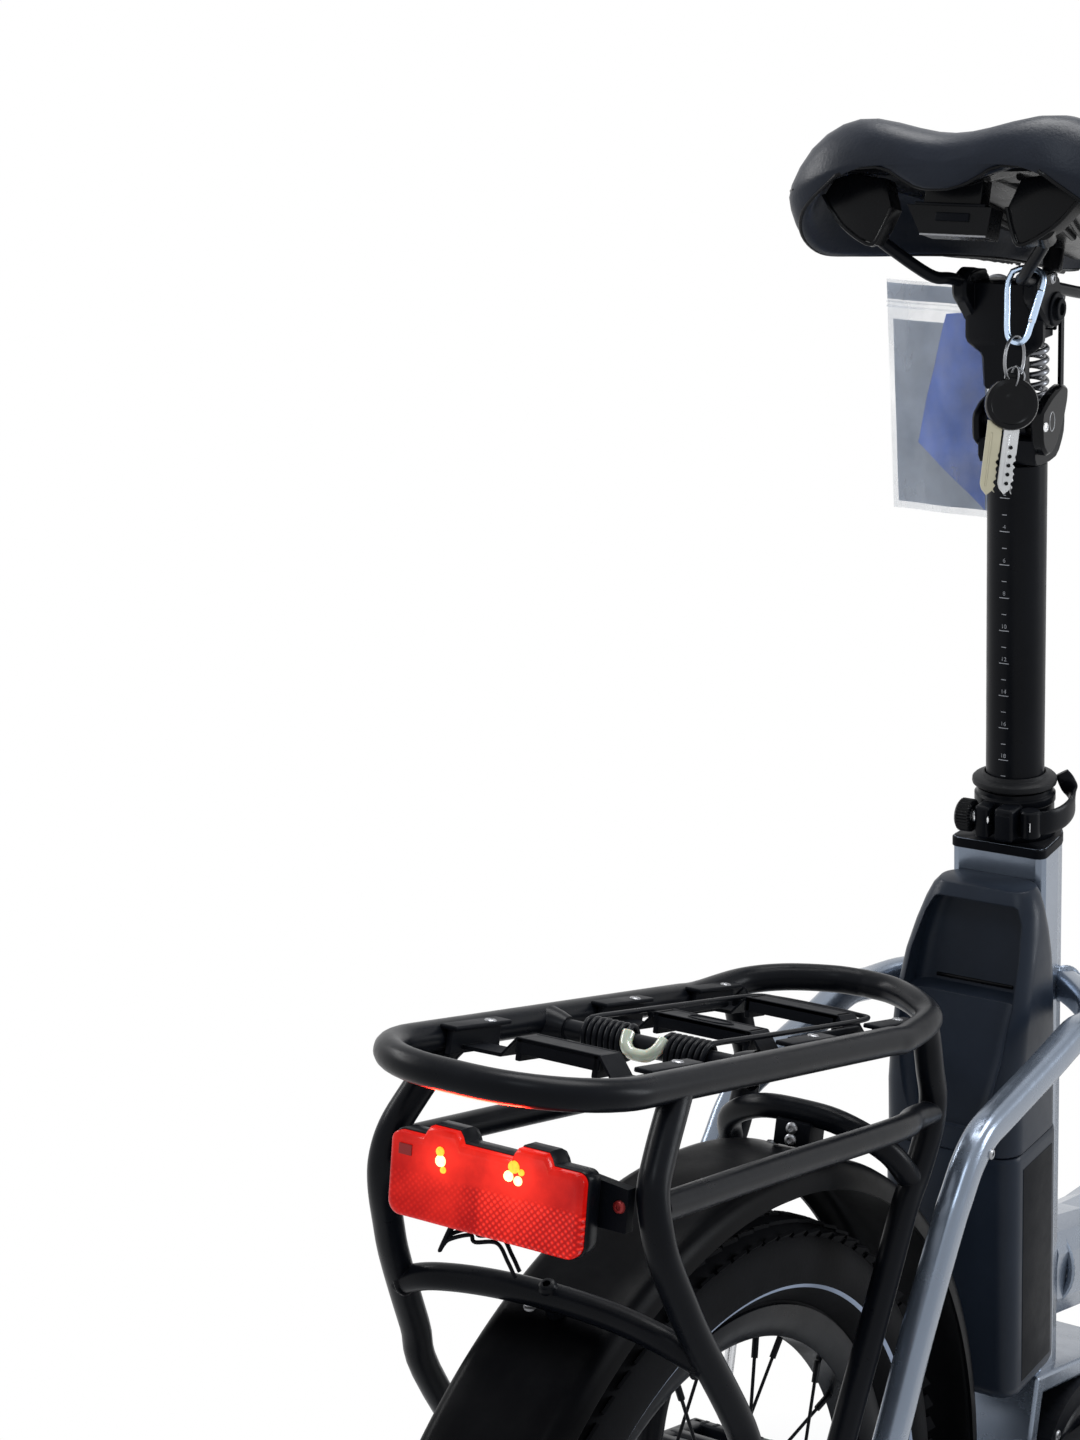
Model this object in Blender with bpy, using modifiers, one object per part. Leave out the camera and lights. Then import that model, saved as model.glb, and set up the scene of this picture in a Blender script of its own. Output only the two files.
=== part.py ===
"""Compact electric bicycle with 20 inch wheels, a mid motor and a battery behind the seat tube.

Metres, +X forward, +Y left, +Z up. The ground is z = 0 and x = 0 is the middle of the length.
Welded, bolted and resting pieces keep GAP to each other, because each one is its own solid.
"""

import math

import bmesh
import bpy
from mathutils import Matrix, Vector

# Driving dimensions of the whole bicycle
GAP = 0.0003
RUN = 0.0006
WHEELBASE = 1.030
RACK_REACH = 0.302
SEAT_LEAN = math.radians(16.67)
SEAT_FOOT = 0.427
HEAD_LEAN = math.radians(19.0)
FORK_OFFSET = 0.045
BB_AHEAD = 0.435
BB_Z = 0.290
REAR_WIDTH = 0.1354
FRONT_WIDTH = 0.1000

# Wheels
RIM_R = 0.2095
TYRE_H = 0.0475
TYRE_W = 0.0536
RIM_W = 0.0268
RIM_DEPTH = 0.0190
BEAD_SEAT = 0.0050
BEAD_WALL = 0.0037
RIM_WALL = 0.0020
SPOKES = 28
SPOKE_R = 0.0013
AXLE_R = 0.0075
REAR_HUB_R = 0.0300
REAR_FLANGE_R = 0.0400
REAR_FLANGE_Y = 0.0320
FRONT_HUB_R = 0.0210
FRONT_FLANGE_R = 0.0300
FRONT_FLANGE_Y = 0.0290
BOSS_R = 0.0150
DISC_R = 0.0800
DISC_T = 0.0018
REAR_DISC_Y = 0.0500
FRONT_DISC_Y = 0.0400
WHEEL_STEPS = 28

# Drive
MOTOR_R = 0.0700
MOTOR_HALF = 0.0400
MOTOR_NOSE_R = 0.0480
MOTOR_NOSE_AHEAD = 0.0700
SPINDLE_R = 0.0100
CRANK_LENGTH = 0.1700
CRANK_T = 0.0130
CRANK_Y = 0.0760
CRANK_W = 0.0300
BELT_Y = 0.0500
BELT_W = 0.0110
BELT_T = 0.0022
FRONT_TEETH = 50
REAR_TEETH = 30
TOOTH_PITCH = 0.0055
PEDAL_LENGTH = 0.0920
PEDAL_WIDTH = 0.0860
PEDAL_T = 0.0200

# Seat tube, post and clamp, along the seat axis from its foot at axle height
SEAT_HALF = 0.0285
SEAT_BACK = 0.0260
SEAT_TOP = 0.4765
POST_R = 0.01745
POST_BOTTOM = 0.3000
BORE_BOTTOM = 0.1550
CLAMP_H = 0.0290
CLAMP_R = 0.0245
SEAL_R = 0.0255
SEAL_H = 0.0090
CLAMP_BOLT_BACK = 0.0300
LEVER_PIN_BACK = 0.0235

# Sprung seatpost head
HEAD_FOOT = 0.7050
REAR_PIVOT = (-0.0080, 0.7307)
FRONT_PIVOT = (0.0330, 0.7307)
LINK_LENGTH = 0.0660
LINK_HALF = 0.0120
LINK_SLOT = 0.0040
PIVOT_R = 0.0040
FRONT_PIN_R = 0.0025
PIN_RUN = 0.0002
SPRING_AHEAD = 0.0190
SPRING_LOW = 0.7382
SPRING_HIGH = 0.7745
SPRING_R = 0.0090
SPRING_WIRE = 0.0038
SPRING_TURNS = 4
RAIL_R = 0.0035
RAIL_Z = 1.0300

# Saddle
SHELL_T = 0.0060
SADDLE_LEAN = 0.0350

# Frame tubes
STAY_DEPTH = 0.0190
STAY_WIDTH = 0.0160
STAY_Y = 0.0740
CHAINSTAY_H = 0.0240
CHAINSTAY_W = 0.0150
DROPOUT_T = 0.0080
DROPOUT_R = 0.0250
MAIN_H = 0.0660
MAIN_W = 0.0520
HEAD_R = 0.0245
HEAD_LOW = 0.3520
HEAD_HIGH = 0.4920
STEERER_R = 0.0143

# Battery
BATTERY_HALF = 0.0435
BATTERY_REAR = 0.0960
BATTERY_BOTTOM = 0.1430
BATTERY_SPLIT = 0.3050
BATTERY_TOP = 0.4570

# Rack
RACK_TUBE_R = 0.0076
RACK_HALF = 0.0630
RACK_REAR_Z = 0.6132
RACK_FRONT_Z = 0.6175
RACK_FRONT_AHEAD = 0.0315
REAR_BAR_AHEAD = -0.2025
MIDDLE_BAR_AHEAD = -0.0665
FRONT_BAR_AHEAD = 0.0305
HINGE_AHEAD = -0.1255
STRIP_HALF = 0.0280
HINGE_Z = 0.6130
RACK_CORNER_R = 0.0550
RACK_BAR_T = 0.0040
HINGE_TUBE_R = 0.0057
COIL_R = 0.0098
COIL_WIRE = 0.0032
COIL_TURNS = 4
COIL_PITCH = 0.0058
COIL_OUTER_Y = 0.0345
BOW_LENGTH = 0.1780

# Ticket sleeve, carabiner and keys
CLIP_BEHIND = -0.2845
KEY_RING_Z = 0.9837
FOB_DROP = 0.0250
FOB_R = 0.0148
SLEEVE_AHEAD = 0.0310

# Light and mudguards
LENS_W = 0.1040
LENS_H = 0.0392
LENS_LEAN = math.radians(-5.0)
LAMP_Y = 0.0240
GUARD_R = 0.2910
FRONT_GUARD_R = 0.2780
GUARD_HALF = 0.0360
GUARD_EDGE = 0.0150
GUARD_T = 0.0020
GUARD_TAB_ANGLE = 80.3

# Steering and stand
FORK_CROWN = 0.3400
LEG_Y = 0.0600
STEM_TOP = 0.8950
BAR_R = 0.0111
BAR_HALF = 0.3100
BAR_AHEAD = 0.0280
GRIP_R = 0.0160
GRIP_AT = 0.66
LEVER_AT = 0.58
LEVER_REACH = 0.0270
STAND_BACK = 0.1100
STAND_PIVOT_Z = 0.2280
FOOT_BACK = 0.0950
FOOT_HALF = 0.1250
STAND_R = 0.0080

# Places worked out from the dimensions above
TYRE_R = RIM_R + TYRE_H
BEAD_R = RIM_R - BEAD_SEAT
LENGTH = RACK_REACH + WHEELBASE + TYRE_R
REAR_X = RACK_REACH - LENGTH / 2
FRONT_X = REAR_X + WHEELBASE
BB_X = REAR_X + BB_AHEAD
AXLE_Z = TYRE_R
SEAT_FOOT_X = REAR_X + SEAT_FOOT
RACK_FRONT_X = REAR_X + RACK_FRONT_AHEAD
REAR_BAR_X = REAR_X + REAR_BAR_AHEAD
MIDDLE_BAR_X = REAR_X + MIDDLE_BAR_AHEAD
FRONT_BAR_X = REAR_X + FRONT_BAR_AHEAD
HINGE_X = REAR_X + HINGE_AHEAD
CLIP_X = SEAT_FOOT_X + CLIP_BEHIND
SEAT_UP = Vector((-math.sin(SEAT_LEAN), 0, math.cos(SEAT_LEAN)))
SEAT_REARWARD = Vector((-math.cos(SEAT_LEAN), 0, -math.sin(SEAT_LEAN)))
STEER_UP = Vector((-math.sin(HEAD_LEAN), 0, math.cos(HEAD_LEAN)))
STEER_AHEAD = Vector((math.cos(HEAD_LEAN), 0, math.sin(HEAD_LEAN)))
STEER_FOOT = Vector((FRONT_X, 0, AXLE_Z)) - FORK_OFFSET * STEER_AHEAD

PARTS = bpy.data.collections.new("electric_bicycle")
HELPERS = bpy.data.collections.new("helpers")
MATERIALS = {}


def clear_scene():
    for obj in list(bpy.data.objects):
        bpy.data.objects.remove(obj, do_unlink=True)
    bpy.context.scene.collection.children.link(PARTS)
    bpy.context.scene.collection.children.link(HELPERS)
    HELPERS.hide_render = True


def seat(s, back=0.0, y=0.0):
    """A point s along the seat axis, back behind it and y to the left."""
    foot = Vector((SEAT_FOOT_X, y, AXLE_Z))
    return foot + s * SEAT_UP + back * SEAT_REARWARD


def steer(h, ahead=0.0, y=0.0):
    """A point h up the steering axis from the height of the front axle."""
    return STEER_FOOT + h * STEER_UP + ahead * STEER_AHEAD + Vector((0, y, 0))


def frame_matrix(origin, z_axis, x_axis):
    z = z_axis.normalized()
    x = (x_axis - x_axis.dot(z) * z).normalized()
    y = z.cross(x)
    matrix = Matrix((x, y, z)).transposed().to_4x4()
    matrix.translation = origin
    return matrix


def seat_frame(s, back=0.0, y=0.0):
    """Local +Z runs up the seat axis and local +X points forward."""
    return frame_matrix(seat(s, back, y), SEAT_UP, -SEAT_REARWARD)


def steer_frame(h):
    return frame_matrix(steer(h), STEER_UP, STEER_AHEAD)


def material(name, colour, roughness, metallic=0.0):
    """One Principled material for each object, made from a finish."""
    made = bpy.data.materials.new(name)
    made.use_nodes = True
    shader = made.node_tree.nodes["Principled BSDF"]
    shader.inputs["Base Color"].default_value = (*colour, 1.0)
    shader.inputs["Roughness"].default_value = roughness
    shader.inputs["Metallic"].default_value = metallic
    made.diffuse_color = (*colour, 1.0)
    return made


FINISHES = {
    "paint": ((0.12, 0.15, 0.18), 0.28, 0.6),
    "black_metal": ((0.015, 0.016, 0.018), 0.38, 0.4),
    "black_plastic": ((0.02, 0.021, 0.024), 0.45, 0.0),
    "gloss_plastic": ((0.008, 0.008, 0.010), 0.15, 0.0),
    "rubber": ((0.025, 0.025, 0.027), 0.80, 0.0),
    "steel": ((0.55, 0.56, 0.58), 0.30, 1.0),
    "alloy": ((0.62, 0.63, 0.65), 0.35, 1.0),
    "red_lens": ((0.75, 0.01, 0.01), 0.15, 0.0),
    "cover": ((0.018, 0.022, 0.032), 0.50, 0.0),
    "clear": ((0.72, 0.75, 0.82), 0.20, 0.0),
}


def mesh_object(name, bm):
    mesh = bpy.data.meshes.new(name)
    bmesh.ops.recalc_face_normals(bm, faces=bm.faces)
    bm.to_mesh(mesh)
    bm.free()
    obj = bpy.data.objects.new(name, mesh)
    hide(obj)
    return obj


def hide(obj):
    HELPERS.objects.link(obj)
    obj.hide_render = True
    obj.display_type = "WIRE"


def part(name, base, finish, join=(), cut=()):
    """Turns a hidden shape into a named part, with shapes joined to it and cut from it."""
    for index, other in enumerate(list(join) + list(cut)):
        boolean = base.modifiers.new(f"{name}_{index}", "BOOLEAN")
        boolean.operation = "UNION" if index < len(join) else "DIFFERENCE"
        boolean.object = other
    HELPERS.objects.unlink(base)
    PARTS.objects.link(base)
    base.name = name
    base.hide_render = False
    base.display_type = "TEXTURED"
    colour, roughness, metallic = FINISHES[finish]
    base.data.materials.clear()
    base.data.materials.append(material(name, colour, roughness, metallic))
    base.data.shade_smooth()
    base.data.set_sharp_from_angle(angle=math.radians(35))
    return base


def box(size, centre, matrix=None, bevel=0.0):
    bm = bmesh.new()
    bmesh.ops.create_cube(bm, size=1.0)
    bmesh.ops.scale(bm, vec=size, verts=bm.verts)
    if bevel:
        bmesh.ops.bevel(
            bm, geom=list(bm.edges), offset=bevel, segments=2, profile=0.5, affect="EDGES"
        )
    bmesh.ops.translate(bm, vec=centre, verts=bm.verts)
    if matrix is not None:
        bmesh.ops.transform(bm, matrix=matrix, verts=bm.verts)
    return mesh_object("box", bm)


def add_rod(bm, start, end, radius, sides, end_radius=None):
    axis = end - start
    turn = axis.to_track_quat("Z", "Y").to_matrix().to_4x4()
    place = Matrix.Translation((start + end) / 2) @ turn
    bmesh.ops.create_cone(
        bm,
        cap_ends=True,
        segments=sides,
        radius1=radius,
        radius2=radius if end_radius is None else end_radius,
        depth=axis.length,
        matrix=place,
    )


def rod(start, end, radius, sides=16, end_radius=None):
    bm = bmesh.new()
    add_rod(bm, Vector(start), Vector(end), radius, sides, end_radius)
    return mesh_object("rod", bm)


def cross_rod(x, z, y0, y1, radius, sides=16):
    """A round bar along Y."""
    return rod((x, y0, z), (x, y1, z), radius, sides)


def smooth_path(points, steps):
    """Points on a Catmull-Rom curve through the given ones, steps for each stretch."""
    given = [Vector(p) for p in points]
    ends = [2 * given[0] - given[1], *given, 2 * given[-1] - given[-2]]
    path = []
    for a, b, c, d in zip(ends, ends[1:], ends[2:], ends[3:]):
        for step in range(steps):
            t = step / steps
            path.append(
                0.5 * (2 * b + (c - a) * t + (2 * a - 5 * b + 4 * c - d) * t * t
                       + (3 * b - a - 3 * c + d) * t * t * t)
            )
    path.append(given[-1])
    return path


def tube(points, radius, resolution=2, closed=False, name="tube"):
    """A round tube along the points, made as a curve and turned into a welded mesh."""
    data = bpy.data.curves.new(name, "CURVE")
    data.dimensions = "3D"
    data.bevel_depth = radius
    data.bevel_resolution = resolution
    data.use_fill_caps = True
    spline = data.splines.new("POLY")
    spline.points.add(len(points) - 1)
    for point, place in zip(spline.points, points):
        point.co = (*place, 1.0)
    spline.use_cyclic_u = closed
    curve = bpy.data.objects.new(name, data)
    HELPERS.objects.link(curve)
    bpy.context.view_layer.update()
    graph = bpy.context.evaluated_depsgraph_get()
    mesh = bpy.data.meshes.new_from_object(curve.evaluated_get(graph))
    bpy.data.objects.remove(curve, do_unlink=True)
    bpy.data.curves.remove(data)
    bm = bmesh.new()
    bm.from_mesh(mesh)
    bpy.data.meshes.remove(mesh)
    bmesh.ops.remove_doubles(bm, verts=bm.verts, dist=1e-6)
    return mesh_object(name, bm)


def loft(rings, closed=False):
    """Skins rings that have the same number of points, and closes both ends."""
    bm = bmesh.new()
    rows = [[bm.verts.new(p) for p in ring] for ring in rings]
    pairs = list(zip(rows, rows[1:]))
    if closed:
        pairs.append((rows[-1], rows[0]))
    for near, far in pairs:
        for i in range(len(near)):
            j = (i + 1) % len(near)
            bm.faces.new((near[i], near[j], far[j], far[i]))
    if not closed:
        bm.faces.new(list(reversed(rows[0])))
        bm.faces.new(rows[-1])
    return mesh_object("loft", bm)


def rounded_rectangle(width, height, radius, arc_points=3):
    """Points round a rectangle with round corners, about the origin."""
    points = []
    for corner, (sx, sy) in enumerate(((1, 1), (-1, 1), (-1, -1), (1, -1))):
        centre = (sx * (width / 2 - radius), sy * (height / 2 - radius))
        for step in range(arc_points):
            angle = math.pi / 2 * (corner + step / (arc_points - 1))
            points.append(
                (centre[0] + radius * math.cos(angle), centre[1] + radius * math.sin(angle))
            )
    return points


def sweep(path, sizes, corner, side=Vector((0, 1, 0)), arc_points=2):
    """A tube of rounded section along a path. sizes gives (across, along side) at each point."""
    rings = []
    for i, place in enumerate(path):
        ahead = path[min(i + 1, len(path) - 1)] - path[max(i - 1, 0)]
        ahead.normalize()
        across = ahead.cross(side).normalized()
        flat = across.cross(ahead).normalized()
        depth, width = sizes if isinstance(sizes, tuple) else sizes(i / (len(path) - 1))
        section = rounded_rectangle(depth, width, corner, arc_points)
        rings.append([place + a * across + b * flat for a, b in section])
    return loft(rings)


def turned(profile, matrix, steps=24):
    """A turned solid: a closed profile of (radius, height) points spun about local +Z."""
    mesh = bpy.data.meshes.new("turned")
    points = [(r, 0, z) for r, z in profile]
    edges = [(i, (i + 1) % len(points)) for i in range(len(points))]
    mesh.from_pydata(points, edges, [])
    obj = bpy.data.objects.new("turned", mesh)
    hide(obj)
    obj.matrix_world = matrix
    screw = obj.modifiers.new("turn", "SCREW")
    screw.steps = steps
    screw.render_steps = steps
    screw.use_merge_vertices = True
    screw.merge_threshold = 1e-6
    return obj


def ring_profile(inner, outer, low, high):
    return [(outer, high), (outer, low), (inner, low), (inner, high)]


def axle_frame(x, z, y=0.0):
    """Local +Z runs to the left, along +Y."""
    return frame_matrix(Vector((x, y, z)), Vector((0, 1, 0)), Vector((1, 0, 0)))


def plate(outline, matrix, thickness):
    """A flat piece from a 2D outline, thickness centred on the local XY plane."""
    low = [matrix @ Vector((x, y, -thickness / 2)) for x, y in outline]
    high = [matrix @ Vector((x, y, thickness / 2)) for x, y in outline]
    return loft([low, high])


def tooth_radius(teeth):
    return teeth * TOOTH_PITCH / (2 * math.pi)


FRONT_SPROCKET_R = tooth_radius(FRONT_TEETH)
REAR_SPROCKET_R = tooth_radius(REAR_TEETH)


# Wheels
def tyre(name, x):
    neck = RIM_W / 2 - RIM_WALL - GAP
    half = TYRE_W / 2
    outer = [
        (BEAD_R, neck),
        (RIM_R + 0.0020, neck),
        (RIM_R + 0.0150, half),
        (RIM_R + 0.0310, 0.94 * half),
        (TYRE_R, 0.38 * half),
    ]
    inner = [
        (BEAD_R, neck - BEAD_WALL),
        (RIM_R + 0.0240, half - 0.0060),
    ]
    profile = outer + [(r, -y) for r, y in reversed(outer)]
    profile += [(r, -y) for r, y in inner]
    profile += [(r, y) for r, y in reversed(inner)]
    return part(name, turned(profile, axle_frame(x, AXLE_Z), WHEEL_STEPS), "rubber")


def rim(name, x):
    half = RIM_W / 2
    well = BEAD_R - GAP
    right = [
        (well, half - RIM_WALL),
        (RIM_R, half - RIM_WALL),
        (RIM_R, half),
        (RIM_R - RIM_DEPTH, half - 0.0060),
    ]
    profile = [(r, -y) for r, y in right] + list(reversed(right))
    return part(name, turned(profile, axle_frame(x, AXLE_Z), WHEEL_STEPS), "black_metal")


def hub_and_spokes(name, x, hub_r, flange_r, flange_y, bosses):
    """The hub shell with its laced spokes, bored for the axle."""
    right_end, left_end = bosses
    place = axle_frame(x, AXLE_Z)
    outline = [
        (BOSS_R, left_end),
        (BOSS_R, flange_y + 0.005),
        (flange_r, flange_y + 0.0028),
        (flange_r, flange_y - 0.0028),
        (hub_r, flange_y - 0.005),
        (hub_r, -flange_y + 0.005),
        (flange_r, -flange_y + 0.0028),
        (flange_r, -flange_y - 0.0028),
        (BOSS_R, -flange_y - 0.005),
        (BOSS_R, right_end),
        (AXLE_R + RUN / 2, right_end),
        (AXLE_R + RUN / 2, left_end),
    ]
    shell = turned(outline, place, 14)
    bm = bmesh.new()
    end_r = RIM_R - RIM_DEPTH - GAP - SPOKE_R
    for index in range(SPOKES):
        side = 1 if index % 2 else -1
        lean = math.radians(38) * (1 if index // 2 % 2 else -1)
        at_rim = 2 * math.pi * (index + 0.5) / SPOKES
        at_hub = at_rim + lean
        inset = 0.0014 if index // 2 % 2 else -0.0014
        hole_r = flange_r - 0.004
        start = Vector((x + hole_r * math.cos(at_hub), side * (flange_y + inset),
                        AXLE_Z + hole_r * math.sin(at_hub)))
        end = Vector((x + end_r * math.cos(at_rim), side * 0.003,
                      AXLE_Z + end_r * math.sin(at_rim)))
        add_rod(bm, start, end, SPOKE_R, 3)
    spokes = mesh_object("spokes", bm)
    return part(name, shell, "black_metal", join=[spokes])


def axle(name, x, half, finish="steel", nut_r=0.0095, nut_t=0.0110):
    """The fixed axle with a nut at each end."""
    nuts = []
    for side in (-1, 1):
        nuts.append(cross_rod(x, AXLE_Z, side * half, side * (half + nut_t), nut_r, 6))
    shaft = cross_rod(x, AXLE_Z, -half - nut_t / 2, half + nut_t / 2, AXLE_R, 16)
    return part(name, shaft, finish, join=nuts)


def brake_disc(name, x, y):
    ring = turned(ring_profile(DISC_R - 0.016, DISC_R, -DISC_T / 2, DISC_T / 2),
                  axle_frame(x, AXLE_Z, y), 22)
    centre = turned(ring_profile(BOSS_R + GAP, BOSS_R + 0.010, -DISC_T / 2, DISC_T / 2),
                    axle_frame(x, AXLE_Z, y), 14)
    arms = []
    for index in range(5):
        angle = 2 * math.pi * index / 5
        turn = Matrix.Rotation(-angle, 4, "Y")
        place = Matrix.Translation((x, y, AXLE_Z)) @ turn
        arms.append(box((0.050, DISC_T * 0.999, 0.007), ((DISC_R + BOSS_R) / 2 - 0.003, 0, 0), place))
    return part(name, ring, "steel", join=[centre, *arms])


def sprocket(name, x, z, teeth, bore):
    """A belt wheel, centred on the belt line."""
    radius = tooth_radius(teeth) - BELT_T / 2 - GAP
    width = BELT_W * 0.8
    wheel = cross_rod(x, z, -BELT_Y - width / 2, -BELT_Y + width / 2, radius, 30)
    hole = cross_rod(x, z, -BELT_Y - 0.02, -BELT_Y + 0.02, bore + 0.0001, 16)
    return part(name, wheel, "black_metal", cut=[hole])


def drive_belt():
    """The belt's closed loop round both sprockets."""
    x0, z0, r0 = REAR_X, AXLE_Z, REAR_SPROCKET_R
    x1, z1, r1 = BB_X, BB_Z, FRONT_SPROCKET_R
    span = math.hypot(x1 - x0, z1 - z0)
    tilt = math.atan2(z1 - z0, x1 - x0)
    wrap = math.asin((r1 - r0) / span)
    path = []
    for step in range(13):
        angle = tilt + math.pi / 2 + wrap + (math.pi - 2 * wrap) * step / 12
        path.append((Vector((x0, 0, z0)), r0, angle))
    for step in range(17):
        angle = tilt - math.pi / 2 - wrap + (math.pi + 2 * wrap) * step / 16
        path.append((Vector((x1, 0, z1)), r1, angle))
    rings = []
    for centre, radius, angle in path:
        out = Vector((math.cos(angle), 0, math.sin(angle)))
        rings.append([
            centre + out * (radius + a * BELT_T / 2) + Vector((0, -BELT_Y + b * BELT_W / 2, 0))
            for a, b in ((1, 1), (1, -1), (-1, -1), (-1, 1))
        ])
    return part("drive_belt", loft(rings, closed=True), "rubber")


def wheels():
    tyre("rear_tyre", REAR_X)
    rim("rear_rim", REAR_X)
    hub_and_spokes("rear_hub_and_spokes", REAR_X, REAR_HUB_R, REAR_FLANGE_R, REAR_FLANGE_Y,
                   (-BELT_Y - 0.009, 0.054))
    axle("rear_axle", REAR_X, REAR_WIDTH / 2 + DROPOUT_T + 2 * GAP)
    brake_disc("rear_brake_disc", REAR_X, REAR_DISC_Y)
    tyre("front_tyre", FRONT_X)
    rim("front_rim", FRONT_X)
    hub_and_spokes("front_hub_and_spokes", FRONT_X, FRONT_HUB_R, FRONT_FLANGE_R, FRONT_FLANGE_Y,
                   (-FRONT_WIDTH / 2 + 0.004, FRONT_WIDTH / 2 - 0.004))
    axle("front_axle", FRONT_X, FRONT_WIDTH / 2 + 0.0180 + 2 * GAP)
    brake_disc("front_brake_disc", FRONT_X, FRONT_DISC_Y)


# Frame
def seat_section(scale_gap=0.0):
    """Outline of the seat tube, flat at the rear and round in front, as (forward, left)."""
    half = SEAT_HALF + scale_gap
    back = SEAT_BACK + scale_gap
    corner = 0.005
    wide = half + 0.0015
    points = []
    for step in range(9):
        angle = -math.pi / 2 + math.pi * step / 8
        points.append((half * math.cos(angle), half * math.sin(angle)))
    for step in range(3):
        angle = math.pi / 2 + math.pi / 2 * step / 2
        points.append((-back + corner + corner * math.cos(angle),
                       wide - corner + corner * math.sin(angle)))
    for step in range(3):
        angle = math.pi + math.pi / 2 * step / 2
        points.append((-back + corner + corner * math.cos(angle),
                       -wide + corner + corner * math.sin(angle)))
    return points


def seat_solid(floor_z, top, gap=0.0):
    """The seat tube's outside, cut off level at floor_z."""
    high = [seat_frame(top) @ Vector((x, y, 0)) for x, y in seat_section(gap)]
    low = [p - SEAT_UP * (p.z - floor_z) / SEAT_UP.z for p in high]
    return loft([low, high])


BRACKET_T = 0.0120
BRACKET_HALF = 0.0360


def seat_tube():
    """The seat tube with the motor cradle welded to its foot."""
    plate_z = BB_Z + MOTOR_R + GAP
    rear_x = BB_X - MOTOR_R - GAP
    nose_x = BB_X + MOTOR_NOSE_AHEAD
    top = box((nose_x - rear_x + BRACKET_T, 2 * BRACKET_HALF, BRACKET_T),
              ((nose_x + rear_x - BRACKET_T) / 2, 0, plate_z + BRACKET_T / 2), bevel=0.002)
    rear = box((BRACKET_T, 2 * BRACKET_HALF, 0.115),
               (rear_x - BRACKET_T / 2, 0, plate_z + BRACKET_T - 0.0575), bevel=0.002)
    bore = rod(seat(BORE_BOTTOM), seat(SEAT_TOP + 0.05), POST_R + GAP, 24)
    tube_solid = seat_solid(plate_z + BRACKET_T - 0.003, SEAT_TOP)
    part("seat_tube", tube_solid, "paint", join=[top, rear, *stand_lugs()], cut=[bore])


def main_tube():
    """The low step-through tube and the head tube, welded together."""
    start = seat(0.176, -0.010)
    reach = steer(0.420) - start
    path = smooth_path([
        start,
        start + Vector((0.258 * reach.x, 0, 0.010 * reach.z)),
        start + Vector((0.527 * reach.x, 0, 0.171 * reach.z)),
        start + Vector((0.775 * reach.x, 0, 0.531 * reach.z)),
        steer(0.420),
    ], 3)
    beam = sweep(path, lambda t: (MAIN_H - 0.008 * t, MAIN_W - 0.010 * t), 0.018,
                 arc_points=3)
    head = rod(steer(HEAD_LOW), steer(HEAD_HIGH), HEAD_R, 20)
    bore = rod(steer(HEAD_LOW - 0.02), steer(HEAD_HIGH + 0.02), STEERER_R + GAP, 18)
    around_seat = seat_solid(BB_Z, SEAT_TOP, GAP)
    part("main_tube", beam, "paint", join=[head], cut=[around_seat, bore])


def seatstay_path(side):
    """Leaves the seat tube's flank, bows outwards, runs back level with the rack and turns down."""
    points = [
        (REAR_X + 0.3275, 0.0290, 0.6225),
        (REAR_X + 0.3095, 0.0470, 0.6190),
        (REAR_X + 0.2895, 0.0630, 0.6145),
        (REAR_X + 0.2665, 0.0715, 0.6085),
        (REAR_X + 0.2385, STAY_Y, 0.6050),
        (REAR_X + 0.2045, STAY_Y, 0.5910),
        (REAR_X + 0.1507, STAY_Y, 0.5700),
        (REAR_X + 0.1235, STAY_Y, 0.5590),
        (REAR_X + 0.1085, STAY_Y, 0.5450),
        (REAR_X + 0.0990, STAY_Y, 0.5280),
        (REAR_X + 0.0910, STAY_Y, 0.5119),
        (REAR_X + 0.0693, STAY_Y, 0.4568),
        (REAR_X + 0.0508, STAY_Y, 0.4000),
        (REAR_X + 0.0218, STAY_Y, 0.3200),
        (REAR_X + 0.0100, STAY_Y, AXLE_Z + DROPOUT_R + 0.0030),
    ]
    return [Vector((x, side * y, z)) for x, y, z in points]


def seatstay(name, side):
    body = sweep(seatstay_path(side), (STAY_DEPTH, STAY_WIDTH), 0.005)
    around_seat = seat_solid(BB_Z, SEAT_TOP, GAP)
    around_plate = cross_rod(REAR_X, AXLE_Z, side * 0.05, side * 0.1, DROPOUT_R + GAP + 0.0004, 18)
    part(name, body, "paint", cut=[around_seat, around_plate])


def chainstay(name, side):
    """A chainstay with its dropout plate, slotted round the axle."""
    start_x = BB_X - MOTOR_R - GAP - BRACKET_T - GAP
    points = [
        (start_x, 0.0260, 0.2870),
        (start_x - 0.035, 0.0360, 0.2860),
        (start_x - 0.080, 0.0510, 0.2820),
        (start_x - 0.140, 0.0610, 0.2760),
        (start_x - 0.230, 0.0680, 0.2670),
        (REAR_X + 0.012, 0.0715, 0.2590),
    ]
    path = [Vector((x, side * y, z)) for x, y, z in points]
    arm = sweep(path, (CHAINSTAY_H, CHAINSTAY_W), 0.005)
    square = box((0.04, 0.2, 0.2), (start_x + 0.02, 0, 0.287))
    inner = REAR_WIDTH / 2 + GAP
    dropout = cross_rod(REAR_X, AXLE_Z, side * inner, side * (inner + DROPOUT_T), DROPOUT_R, 18)
    bore = cross_rod(REAR_X, AXLE_Z, side * 0.04, side * 0.1, AXLE_R + GAP, 16)
    clear = box((0.08, 0.2, 0.08), (REAR_X, side * (inner - 0.1), AXLE_Z))
    part(name, arm, "paint", join=[dropout], cut=[bore, square, clear])


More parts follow.
